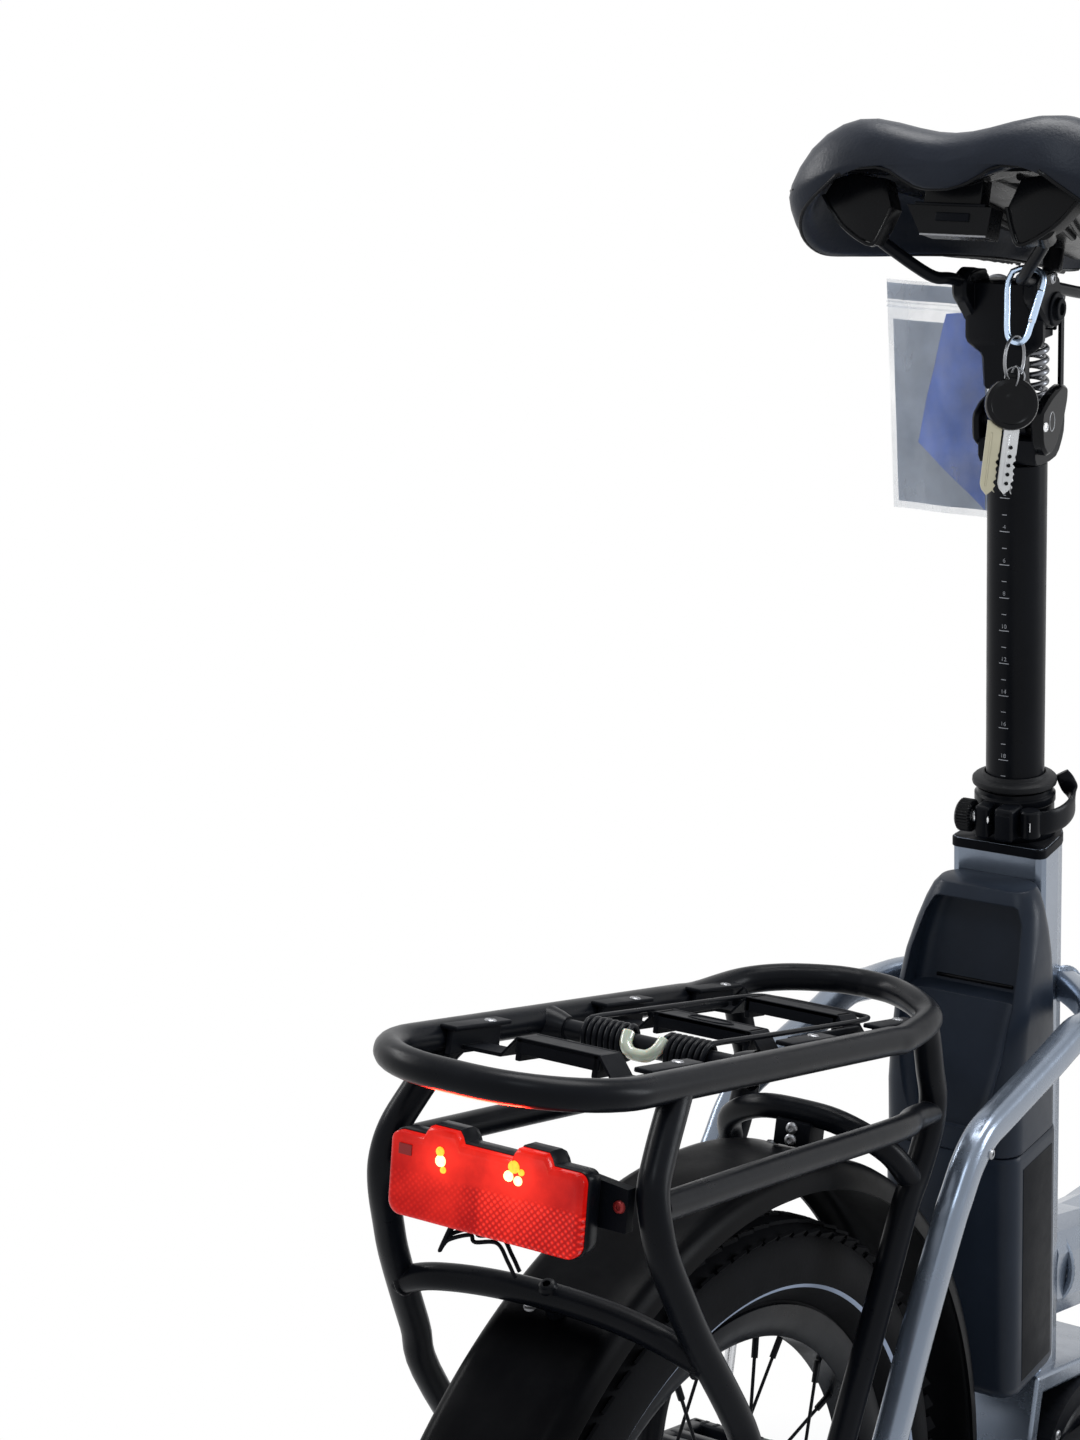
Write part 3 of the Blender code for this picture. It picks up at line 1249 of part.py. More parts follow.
def rack_spring_clamp():
    """One closed wire: a bow, a coil at each side of the hinge tube and the loop between them."""
    radius = COIL_R - COIL_WIRE / 2
    hinge = Vector((HINGE_X, 0, HINGE_Z))
    length = COIL_TURNS * COIL_PITCH
    left = spring_points(hinge + Vector((0, COIL_OUTER_Y, 0)), hinge + Vector((0, COIL_OUTER_Y - length, 0)),
                         radius, COIL_TURNS, 8, Vector((0, 0, 1)))
    right = [Vector((p.x, -p.y, p.z)) for p in reversed(left)]
    print("rack coil least gap mm", round(1000 * least_gap(left, 8, COIL_WIRE), 2))
    half_loop = [(-0.0060, 0.0085, 0.0068), (-0.0110, 0.0050, 0.0000), (-0.0105, 0.0, -0.0075)]
    half_bow = [
        (BOW_LENGTH, 0.0, radius), (BOW_LENGTH - 0.0020, 0.0240, radius),
        (BOW_LENGTH - 0.0130, 0.0345, radius), (0.0900, COIL_OUTER_Y + 0.0010, radius),
        (0.0100, COIL_OUTER_Y + 0.0003, radius + 0.0002),
    ]
    loop = smooth_path([hinge + Vector(p) for p in half_loop]
                       + [hinge + Vector((x, -y, z)) for x, y, z in reversed(half_loop[:-1])], 1)
    bow = smooth_path([hinge + Vector((x, -y, z)) for x, y, z in reversed(half_bow[1:])]
                      + [hinge + Vector(p) for p in half_bow], 1)
    wire = tube(left + loop + right + bow, COIL_WIRE / 2, 1, closed=True)
    part("rack_spring_clamp", wire, "black_metal")


# Rear light
def light_point(y, up, depth):
    """A point on the light: up its face and depth ahead of the face."""
    centre = Vector((REAR_X - 0.2620, y, 0.5566))
    rise = Vector((math.sin(LENS_LEAN), 0, math.cos(LENS_LEAN)))
    inward = Vector((math.cos(LENS_LEAN), 0, -math.sin(LENS_LEAN)))
    return centre + rise * up + inward * depth


def light_outline(inset=0.0):
    half = LENS_W / 2 - inset
    top = LENS_H / 2 - inset
    points = [(-half, -top + 0.006), (-half + 0.006, -top), (half - 0.006, -top), (half, -top + 0.006),
              (half, top - 0.004), (half - 0.004, top)]
    for middle in (LAMP_Y, -LAMP_Y):
        points += [(middle + 0.0095, top), (middle + 0.0070, top + 0.0055),
                   (middle - 0.0070, top + 0.0055), (middle - 0.0095, top)]
    points += [(-half + 0.004, top), (-half, top - 0.004)]
    return points


def rear_light():
    lens = loft([[light_point(y, up, depth) for y, up in light_outline(inset)]
                 for depth, inset in ((0.0, 0.0015), (0.0015, 0.0), (0.0120, 0.0))])
    part("rear_light_lens", lens, "red_lens")
    housing = loft([[light_point(y, up, depth) for y, up in light_outline(inset)]
                    for depth, inset in ((0.0123, 0.0), (0.0160, 0.0006), (0.0210, 0.0060))])
    plate_outline = [(-0.066, -0.008), (0.066, -0.008), (0.066, 0.012), (0.030, 0.016), (-0.030, 0.016),
                     (-0.066, 0.012)]
    bracket = loft([[light_point(y, up, depth) for y, up in plate_outline] for depth in (0.0200, 0.0270)])
    around = [tube(rear_leg_path(side), RACK_TUBE_R + GAP, 2) for side in (-1, 1)]
    part("rear_light_housing", housing, "black_plastic", join=[bracket], cut=around)


# Mudguards
def guard_point(degrees, radius, y=0.0, x=REAR_X):
    """A point about a wheel's axle, with degrees counted up from straight ahead."""
    angle = math.radians(degrees)
    return Vector((x + radius * math.cos(angle), y, AXLE_Z + radius * math.sin(angle)))


def mudguard_shell(x, start, end, steps, crown, half):
    """A channel bent round the wheel. crown gives its radius at each angle."""
    rings = []
    for step in range(steps + 1):
        degrees = start + (end - start) * step / steps
        top = crown(degrees)
        outer = [(-half, top - GUARD_EDGE), (-half + 0.003, top - 0.0050), (-half + 0.010, top),
                 (half - 0.010, top), (half - 0.003, top - 0.0050), (half, top - GUARD_EDGE)]
        inner = [(half - GUARD_T, top - GUARD_EDGE), (half - 0.003 - GUARD_T, top - 0.0060),
                 (half - 0.011, top - GUARD_T), (-half + 0.011, top - GUARD_T),
                 (-half + 0.003 + GUARD_T, top - 0.0060), (-half + GUARD_T, top - GUARD_EDGE)]
        rings.append([guard_point(degrees, r, y, x) for y, r in outer + inner])
    return loft(rings)


def rear_crown(degrees):
    return GUARD_R + 0.0090 * min(max((degrees - 95) / 55, 0.0), 1.0)


def mudguards():
    part("rear_mudguard", mudguard_shell(REAR_X, 14, 200, 19, rear_crown, GUARD_HALF), "black_plastic")
    shell = mudguard_shell(FRONT_X, 24, 165, 13, lambda degrees: FRONT_GUARD_R, 0.0320)
    hub = Vector((FRONT_X, 0, AXLE_Z))
    under_crown = steer(FORK_CROWN - 0.0296 - GAP, -0.010)
    inward = (under_crown - hub).normalized()
    tab = rod(under_crown, hub + inward * (FRONT_GUARD_R - GUARD_T / 2), 0.0060, 12)
    part("front_mudguard", shell, "black_plastic", join=[tab])


# Steering
def fork_leg_path(side):
    return smooth_path([
        steer(FORK_CROWN - 0.010, 0.0, side * (LEG_Y - 0.010)),
        steer(FORK_CROWN - 0.060, 0.001, side * (LEG_Y - 0.001)),
        steer(0.200, 0.006, side * LEG_Y),
        steer(0.090, 0.022, side * LEG_Y),
        steer(0.0160, 0.0420, side * LEG_Y),
    ], 2)


def fork():
    crown_h = FORK_CROWN
    steerer = rod(steer(crown_h - 0.01), steer(HEAD_HIGH + 0.045), STEERER_R, 18)
    crown = box((0.040, 2 * LEG_Y - 0.006, 0.028), (0, 0, 0), steer_frame(crown_h - 0.0145))
    crown_race = rod(steer(crown_h - 0.002), steer(HEAD_LOW - GAP), HEAD_R - 0.002, 18)
    shapes = [crown, crown_race]
    for side in (-1, 1):
        shapes.append(tube(fork_leg_path(side), 0.0118, 1))
        inner = FRONT_WIDTH / 2 + GAP
        shapes.append(cross_rod(FRONT_X, AXLE_Z, side * inner, side * (inner + 0.0180), 0.0190, 12))
    bore = cross_rod(FRONT_X, AXLE_Z, -0.1, 0.1, AXLE_R + GAP, 16)
    part("fork", steerer, "black_metal", join=shapes, cut=[bore])


def bar_path():
    """Half of the handlebar's centre line, on the left."""
    top = steer(STEM_TOP, BAR_AHEAD)
    return smooth_path([
        top, top + Vector((0.0, 0.0250, 0.0)), top + Vector((0.0, 0.0500, 0.0005)),
        top + Vector((-0.002, 0.110, 0.012)),
        top + Vector((-0.030, 0.190, 0.020)), top + Vector((-0.075, 0.262, 0.022)),
        top + Vector((-0.112, BAR_HALF, 0.022)),
    ], 2)


def bar_point(t):
    """A point and direction a share t along the left half of the bar."""
    path = bar_path()
    lengths = [0.0]
    for a, b in zip(path, path[1:]):
        lengths.append(lengths[-1] + (b - a).length)
    want = t * lengths[-1]
    for i in range(len(path) - 1):
        if want <= lengths[i + 1] or i == len(path) - 2:
            direction = (path[i + 1] - path[i]).normalized()
            return path[i] + direction * (want - lengths[i]), direction
    return path[-1], (path[-1] - path[-2]).normalized()


def flip(vector, side):
    return Vector((vector.x, side * vector.y, vector.z))


def steering():
    fork()
    low = HEAD_HIGH + GAP
    top = steer(STEM_TOP, BAR_AHEAD)
    body = rod(steer(low), steer(STEM_TOP - 0.010), 0.0185, 16, end_radius=0.0165)
    arm = rod(steer(STEM_TOP - 0.020), top, 0.0140, 12)
    clamp = cross_rod(top.x, top.z, -0.0220, 0.0220, BAR_R + 0.0070, 16)
    steerer_hole = rod(steer(low - 0.01), steer(HEAD_HIGH + 0.045 + GAP), STEERER_R + GAP, 18)
    bar_hole = cross_rod(top.x, top.z, -0.05, 0.05, BAR_R + 0.0009, 14)
    part("stem", body, "black_metal", join=[arm, clamp], cut=[steerer_hole, bar_hole])
    half = bar_path()
    bar = tube([flip(p, -1) for p in reversed(half[1:])] + half, BAR_R, 1)
    perches = []
    for side in (-1, 1):
        place, along = bar_point(LEVER_AT)
        frame = lever_frame(side)
        perches.append(rod(flip(place - along * 0.0065, side), flip(place + along * 0.0065, side),
                           BAR_R + 0.0055, 12))
        perches.append(box((0.0230, 0.0116, 0.0090), (-LEVER_REACH / 2 + 0.0055, 0, 0), frame))
        perches.append(rod(frame @ Vector((0, 0, -0.0092)), frame @ Vector((0, 0, 0.0092)), 0.0030, 12))
        grip_and_lever(side)
    part("handlebar", bar, "black_metal", join=perches)


def lever_frame(side):
    """Local +X points ahead of the bar and side * local +Y outwards, from the lever's pivot."""
    place, along = bar_point(LEVER_AT)
    ahead = flip(along.cross(Vector((0, 0, 1))).normalized(), side)
    return frame_matrix(flip(place, side) + ahead * LEVER_REACH, Vector((0, 0, 1)), ahead)


def grip_and_lever(side):
    name = "left" if side > 0 else "right"
    start, _ = bar_point(GRIP_AT)
    path = [p for p in bar_path() if p.y > start.y + 0.004]
    grip = tube([flip(p, side) for p in [start, *path, path[-1] + (path[-1] - path[-2]).normalized() * 0.004]],
                GRIP_R, 1)
    hole = tube([flip(p, side) for p in [bar_point(GRIP_AT - 0.03)[0], start, *path[:-1],
                                         path[-1] + (path[-1] - path[-2]).normalized() * GAP]],
                BAR_R + GAP, 1)
    part(f"grip_{name}", grip, "rubber", cut=[hole])
    frame = lever_frame(side)
    blade_path = smooth_path([
        frame @ Vector((0.0000, side * 0.0200, 0)), frame @ Vector((0.0100, side * 0.0400, -0.002)),
        frame @ Vector((0.0120, side * 0.0750, -0.004)), frame @ Vector((0.0060, side * 0.1050, -0.004)),
    ], 2)
    blade = sweep(blade_path, (0.0070, 0.0110), 0.0025, side=Vector((0, 0, 1)))
    ears = box((0.0120, 0.0310, 0.0180), (0, side * 0.0085, 0), frame)
    gap = box((0.0300, 0.0200, 0.0100), (0, side * -0.0010, 0), frame)
    bore = rod(frame @ Vector((0, 0, -0.02)), frame @ Vector((0, 0, 0.02)), 0.0030 + PIN_RUN, 12)
    part(f"brake_lever_{name}", ears, "black_metal", join=[blade], cut=[gap, bore])


def caliper(name, x, disc_y, degrees, leg=None):
    """A disc brake caliper, slotted for its disc, with a foot towards the frame."""
    middle = guard_point(degrees, DISC_R - 0.0100, disc_y, x)
    outward = (middle - Vector((x, disc_y, AXLE_Z))).normalized()
    frame = frame_matrix(middle, Vector((0, 1, 0)), outward)
    body = box((0.0320, 0.0440, 0.0210), (0.0030, 0, 0), frame, bevel=0.003)
    slot = box((0.0320, 0.0700, DISC_T + 0.0014), (-0.0045, 0, 0), frame)
    foot = []
    if leg is not None:
        foot = [box(*leg)]
    return part(name, body, "black_metal", join=foot, cut=[slot])


def brakes():
    front_foot = ((0.0240, 0.0080, 0.0200), (FRONT_X - 0.0360, 0.0520, AXLE_Z + 0.0620))
    body = caliper("front_brake_caliper", FRONT_X, FRONT_DISC_Y, 140, front_foot)
    leg = tube(fork_leg_path(1), 0.0118 + GAP, 1)
    boolean = body.modifiers.new("clear_leg", "BOOLEAN")
    boolean.operation = "DIFFERENCE"
    boolean.object = leg
    inner = STAY_Y - STAY_WIDTH / 2 - GAP
    rear_foot = ((0.0160, 0.0120, 0.0200), (REAR_X + 0.0285, inner - 0.0060, AXLE_Z + 0.0560))
    caliper("rear_brake_caliper", REAR_X, REAR_DISC_Y, 50, rear_foot)


def lights_and_display():
    lamp_at = steer(FORK_CROWN + 0.0080, 0.0640)
    lamp = rod(lamp_at - Vector((0.0230, 0, 0)), lamp_at + Vector((0.0180, 0, 0)), 0.0200, 20,
               end_radius=0.0250)
    bracket = box((0.0300, 0.0140, 0.0080), (0.0355, 0, 0), steer_frame(FORK_CROWN - 0.0145))
    part("front_light", lamp, "black_plastic", join=[bracket])
    top = steer(STEM_TOP, BAR_AHEAD)
    screen = box((0.0460, 0.0640, 0.0110), (top.x - 0.0020, 0, top.z + BAR_R + 0.0070 + GAP + 0.0085),
                 bevel=0.003)
    foot = box((0.0140, 0.0200, 0.0080), (top.x, 0, top.z + BAR_R + 0.0070 + GAP + 0.0040))
    part("display", screen, "gloss_plastic", join=[foot])


def hangings():
    """What hangs from the saddle rails: a ticket sleeve, a carabiner and keys."""
    sleeve = loft([
        [seat(s, -ahead, y) for y, s in ((0.0306, 0.661), (0.0960, 0.662), (0.1000, 0.802), (0.0306, 0.800))]
        for ahead in (SLEEVE_AHEAD, SLEEVE_AHEAD + 0.0014)
    ])
    tie = tube([seat(0.7967 + 0.0105 * math.sin(a), -(SLEEVE_AHEAD + 0.0007), 0.0270 + 0.0105 * math.cos(a))
                for a in [2 * math.pi * i / 14 for i in range(14)]], 0.0011, 0, closed=True)
    part("ticket_sleeve", sleeve, "clear", join=[tie])
    clip = smooth_path([
        (CLIP_X, -0.0190, 1.0318), (CLIP_X, -0.0260, 1.0342), (CLIP_X, -0.0345, 1.0328),
        (CLIP_X, -0.0378, 1.0280), (CLIP_X, -0.0368, 1.0180), (CLIP_X, -0.0335, 1.0020),
        (CLIP_X, -0.0322, 0.9965), (CLIP_X, -0.0290, 0.9932), (CLIP_X, -0.0240, 0.9935),
        (CLIP_X, -0.0205, 0.9975), (CLIP_X, -0.0185, 1.0110), (CLIP_X, -0.0170, 1.0250),
        (CLIP_X, -0.0190, 1.0318),
    ], 1)[:-1]
    part("carabiner", tube(clip, 0.0018, 1, closed=True), "alloy")
    keys()


def keys():
    """The key ring with two keys and a fob, hanging in the carabiner."""
    ring_middle = Vector((CLIP_X, -0.0265, KEY_RING_Z))
    ring = tube([ring_middle + 0.0125 * Vector((math.sin(a), 0, math.cos(a)))
                 for a in [2 * math.pi * i / 14 for i in range(14)]], 0.0008, 0, closed=True)
    middle = Vector((CLIP_X, -0.0281, KEY_RING_Z - FOB_DROP))
    facing = Vector((-0.8424, -0.5388, 0.0))
    beside = Vector((0.5388, -0.8424, 0.0))
    fob = rod(middle - 0.0045 * facing, middle + 0.0045 * facing, FOB_R, 16)
    blades = []
    for shift, top, low in ((-0.0112, 0.0080, 0.0520), (-0.0016, 0.0060, 0.0505)):
        size = (0.0024, 0.0085, low - top)
        centre = middle + shift * beside - Vector((0, 0, 0.5 * (low + top)))
        place = frame_matrix(centre, Vector((0, 0, 1)), facing)
        blades.append(box(size, (0, 0, 0), place))
    part("key_bunch", fob, "black_plastic", join=[ring, *blades])


def main():
    clear_scene()
    wheels()
    seat_tube()
    main_tube()
    seatstay("seatstay_right", -1)
    seatstay("seatstay_left", 1)
    chainstay("chainstay_right", -1)
    chainstay("chainstay_left", 1)
    motor_unit()
    cranks()
    centre_stand()
    battery()
    seat_clamp()
    seatpost()
    saddle()
    rack_deck()
    rack_rear_hoop()
    rack_front_hoop()
    rack_spring_clamp()
    rear_light()
    mudguards()
    steering()
    brakes()
    lights_and_display()
    hangings()


main()
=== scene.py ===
"""The looks of an electric city bicycle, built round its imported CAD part.

Lengths are metres in the part's own frame: +X ahead, +Y to the rider's left, +Z up.
"""

import math

import bmesh
import bpy
from mathutils import Matrix, Vector
from mathutils.bvhtree import BVHTree


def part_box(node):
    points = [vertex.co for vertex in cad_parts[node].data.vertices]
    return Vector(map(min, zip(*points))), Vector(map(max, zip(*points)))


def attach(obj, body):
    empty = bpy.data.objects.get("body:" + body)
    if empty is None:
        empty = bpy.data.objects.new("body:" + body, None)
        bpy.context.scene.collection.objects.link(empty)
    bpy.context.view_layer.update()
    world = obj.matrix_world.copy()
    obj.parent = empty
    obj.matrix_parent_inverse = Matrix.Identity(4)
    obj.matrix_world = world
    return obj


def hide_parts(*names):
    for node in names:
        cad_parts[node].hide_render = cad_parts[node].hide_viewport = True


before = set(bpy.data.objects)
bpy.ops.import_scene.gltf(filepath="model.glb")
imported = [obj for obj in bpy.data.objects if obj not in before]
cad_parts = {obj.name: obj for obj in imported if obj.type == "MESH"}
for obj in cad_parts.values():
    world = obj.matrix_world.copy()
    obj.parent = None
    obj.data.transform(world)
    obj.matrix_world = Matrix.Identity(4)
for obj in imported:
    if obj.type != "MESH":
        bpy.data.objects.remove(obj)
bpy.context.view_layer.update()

# Driving dimensions, as in the part's source
GAP = 0.0003
AXLE_Z = 0.2570
REAR_X = -0.4925
FRONT_X = 0.5375
BB_X = -0.0575
BB_Z = 0.2900
SEAT_LEAN = math.radians(16.67)
HEAD_LEAN = math.radians(19.0)
SEAT_FOOT_X = -0.0655
FORK_OFFSET = 0.0450
POST_R = 0.01745
SEAT_TOP = 0.4765
HEAD_FOOT = 0.7050
LINK_LENGTH = 0.0660
REAR_PIVOT = (-0.0080, 0.7307)
FRONT_PIVOT = (0.0330, 0.7307)
SADDLE_LEAN = 0.0350
RACK_TUBE_R = 0.0076
RACK_HALF = 0.0630
HOOP_TUBE_R = 0.0068
BELT_Y = -0.0500
BELT_PITCH = 0.0055
CRANK_LENGTH = 0.1700
CRANK_Y = 0.0760
BAR_HEIGHT = 0.8950
BAR_AHEAD = 0.0280
SPRING_FOOT = 0.7382
SPRING_TOP = 0.7745
SPRING_BACK = -0.0190
RACK_REAR_X = -0.7869
RACK_FRONT_X = -0.4610
RACK_REAR_Z = 0.6132
RACK_FRONT_Z = 0.6175
RACK_CORNER = 0.0550
LENS_X = REAR_X - 0.2620
LENS_Z = 0.5566

UP = Vector((0, 0, 1))
LEFT = Vector((0, 1, 0))
AHEAD = Vector((1, 0, 0))
SEAT_UP = Vector((-math.sin(SEAT_LEAN), 0, math.cos(SEAT_LEAN)))
SEAT_BACKWARD = Vector((-math.cos(SEAT_LEAN), 0, -math.sin(SEAT_LEAN)))
STEER_UP = Vector((-math.sin(HEAD_LEAN), 0, math.cos(HEAD_LEAN)))
STEER_AHEAD = Vector((math.cos(HEAD_LEAN), 0, math.sin(HEAD_LEAN)))
STEER_FOOT = Vector((FRONT_X, 0, AXLE_Z)) - FORK_OFFSET * STEER_AHEAD


def seat(s, back=0.0, y=0.0):
    """A point s up the seat axis, back behind it and y to the left."""
    return Vector((SEAT_FOOT_X, y, AXLE_Z)) + s * SEAT_UP + back * SEAT_BACKWARD


def steer(h, ahead=0.0, y=0.0):
    """A point h up the steering axis from the height of the front axle."""
    return STEER_FOOT + h * STEER_UP + ahead * STEER_AHEAD + Vector((0, y, 0))


def placed(origin, z_axis, x_axis):
    """A matrix whose local +Z and +X run along the given directions."""
    z = z_axis.normalized()
    x = (x_axis - x_axis.dot(z) * z).normalized()
    matrix = Matrix((x, z.cross(x), z)).transposed().to_4x4()
    matrix.translation = origin
    return matrix


def seat_frame(s, back=0.0, y=0.0):
    return placed(seat(s, back, y), SEAT_UP, -SEAT_BACKWARD)


def steer_frame(h, ahead=0.0, y=0.0):
    return placed(steer(h, ahead, y), STEER_UP, STEER_AHEAD)


def axle_frame(x, z, y=0.0):
    """Local +Z runs to the left."""
    return placed(Vector((x, y, z)), LEFT, AHEAD)


def smooth(points, steps=6):
    """Points on a Catmull-Rom curve through the given ones."""
    given = [Vector(p) for p in points]
    ends = [2 * given[0] - given[1], *given, 2 * given[-1] - given[-2]]
    path = []
    for a, b, c, d in zip(ends, ends[1:], ends[2:], ends[3:]):
        for step in range(steps):
            t = step / steps
            path.append(0.5 * (2 * b + (c - a) * t + (2 * a - 5 * b + 4 * c - d) * t * t
                               + (3 * b - a - 3 * c + d) * t * t * t))
    path.append(given[-1])
    return path


def flip(point, side):
    return Vector((point.x, side * point.y, point.z))


def mirrored(half):
    """Points across the bicycle, from those of the left side and the middle."""
    return [*half, *[(x, -y, z) for x, y, z in reversed(half[:-1])]]


def lean(point):
    """The saddle sits a little lower on its left."""
    return Vector((point.x, point.y, point.z - SADDLE_LEAN * point.y))


def at(x, y, z):
    return Matrix.Translation((x, y, z))


def turned(degrees, axis):
    return Matrix.Rotation(math.radians(degrees), 4, axis)


def spun(place, share):
    """A matrix at a place beside a wheel, turned by a share of a full turn about the axle."""
    return Matrix.Translation(place) @ Matrix.Rotation(-2 * math.pi * share, 4, "Y")


def circle(count):
    """Angles once round, in equal steps."""
    return [2 * math.pi * k / count for k in range(count)]


def tangent(path, i):
    """The direction of a path of points at its point i."""
    return (path[min(i + 1, len(path) - 1)] - path[max(i - 1, 0)]).normalized()


def boxy(value, power):
    """A sine or cosine pushed outwards, so that a round section turns boxy."""
    return math.copysign(abs(value) ** power, value)


def box_ring(matrix, deep, wide, corner, steps):
    """A rounded rectangle in a matrix's own XY plane."""
    ring = []
    for index, (sx, sy) in enumerate(((1, 1), (-1, 1), (-1, -1), (1, -1))):
        for step in range(steps):
            angle = math.pi / 2 * (index + step / (steps - 1))
            ring.append(matrix @ Vector((sx * (deep / 2 - corner) + corner * math.cos(angle),
                                         sy * (wide / 2 - corner) + corner * math.sin(angle), 0)))
    return ring


def shrunk(outline, inset):
    """A 2D outline with each point drawn towards its middle."""
    middle = sum((Vector(p) for p in outline), Vector((0, 0))) / len(outline)
    return [Vector(p) - (Vector(p) - middle).normalized() * inset for p in outline]


# Materials
class Nodes:
    """A material's node tree with short calls to add and link nodes."""

    def __init__(self, name):
        self.material = bpy.data.materials.new(name)
        self.material.use_nodes = True
        self.tree = self.material.node_tree
        self.shader = self.tree.nodes["Principled BSDF"]
        self.output = self.tree.nodes["Material Output"]
        self.place = self.add("ShaderNodeTexCoord").outputs["Object"]

    def add(self, kind, **values):
        node = self.tree.nodes.new(kind)
        for key, value in values.items():
            setattr(node, key, value)
        return node

    def link(self, source, target):
        self.tree.links.new(source, target)

    def noise(self, scale, detail=3.0, roughness=0.5, stretch=None):
        node = self.add("ShaderNodeTexNoise")
        node.inputs["Scale"].default_value = scale
        node.inputs["Detail"].default_value = detail
        node.inputs["Roughness"].default_value = roughness
        if stretch is None:
            self.link(self.place, node.inputs["Vector"])
        else:
            mapping = self.add("ShaderNodeMapping")
            mapping.inputs["Scale"].default_value = stretch
            self.link(self.place, mapping.inputs["Vector"])
            self.link(mapping.outputs["Vector"], node.inputs["Vector"])
        return node.outputs["Fac"]

    def span(self, source, low, high, start=0.3, end=0.7):
        """The source between start and end, spread over low to high."""
        node = self.add("ShaderNodeMapRange")
        node.inputs["From Min"].default_value = start
        node.inputs["From Max"].default_value = end
        node.inputs["To Min"].default_value = low
        node.inputs["To Max"].default_value = high
        self.link(source, node.inputs["Value"])
        return node.outputs["Result"]

    def mix(self, factor, one, two):
        node = self.add("ShaderNodeMix", data_type="RGBA")
        self.link(factor, node.inputs["Factor"])
        for socket, value in ((node.inputs["A"], one), (node.inputs["B"], two)):
            if isinstance(value, tuple):
                socket.default_value = (*value, 1.0)
            else:
                self.link(value, socket)
        return node.outputs["Result"]

    def math(self, operation, one, two=None, clamp=False):
        node = self.add("ShaderNodeMath", operation=operation, use_clamp=clamp)
        for index, value in enumerate((one, two)):
            if value is None:
                continue
            if isinstance(value, (int, float)):
                node.inputs[index].default_value = value
            else:
                self.link(value, node.inputs[index])
        return node.outputs["Value"]

    def axis(self, index):
        node = self.add("ShaderNodeSeparateXYZ")
        self.link(self.place, node.inputs["Vector"])
        return node.outputs[index]

    def bump(self, height, strength, distance, rounding=0.0):
        node = self.add("ShaderNodeBump")
        node.inputs["Strength"].default_value = strength
        node.inputs["Distance"].default_value = distance
        self.link(height, node.inputs["Height"])
        if rounding:
            bevel = self.add("ShaderNodeBevel", samples=4)
            bevel.inputs["Radius"].default_value = rounding
            self.link(bevel.outputs["Normal"], node.inputs["Normal"])
        self.link(node.outputs["Normal"], self.shader.inputs["Normal"])


def finish(name, colour, rough, metallic=0.0, vary=0.15, grain=(900, 0.10, 0.0002), spread=0.06,
           dust=0.0, rounding=0.0005, blotch=14, stretch=None, **sockets):
    """A surface with drifting colour and roughness, a fine grain, dust on top and soft edges."""
    made = Nodes(name)
    drift = made.noise(blotch, 4.0, 0.6)
    darker = tuple(c * (1 - vary) for c in colour)
    lighter = tuple(min(1.0, c * (1 + vary) + 0.0015) for c in colour)
    tint = made.mix(made.span(drift, 0, 1), darker, lighter)
    if dust:
        normal = made.add("ShaderNodeNewGeometry").outputs["Normal"]
        split = made.add("ShaderNodeSeparateXYZ")
        made.link(normal, split.inputs["Vector"])
        facing = made.span(split.outputs[2], 0.0, dust, 0.2, 1.0)
        specks = made.span(made.noise(160, 6.0, 0.75), 0.2, 1.0, 0.45, 0.62)
        tint = made.mix(made.math("MULTIPLY", facing, specks, clamp=True), tint, (0.30, 0.29, 0.27))
    made.link(tint, made.shader.inputs["Base Color"])
    scuffs = made.noise(55, 6.0, 0.7, stretch)
    made.link(made.span(scuffs, max(0.03, rough - spread), rough + spread),
              made.shader.inputs["Roughness"])
    made.shader.inputs["Metallic"].default_value = metallic
    scale, strength, distance = grain
    made.bump(made.noise(scale, 2.0, 0.5, stretch), strength, distance, rounding)
    for socket, value in sockets.items():
        made.shader.inputs[socket.replace("_", " ")].default_value = value
    return made.material


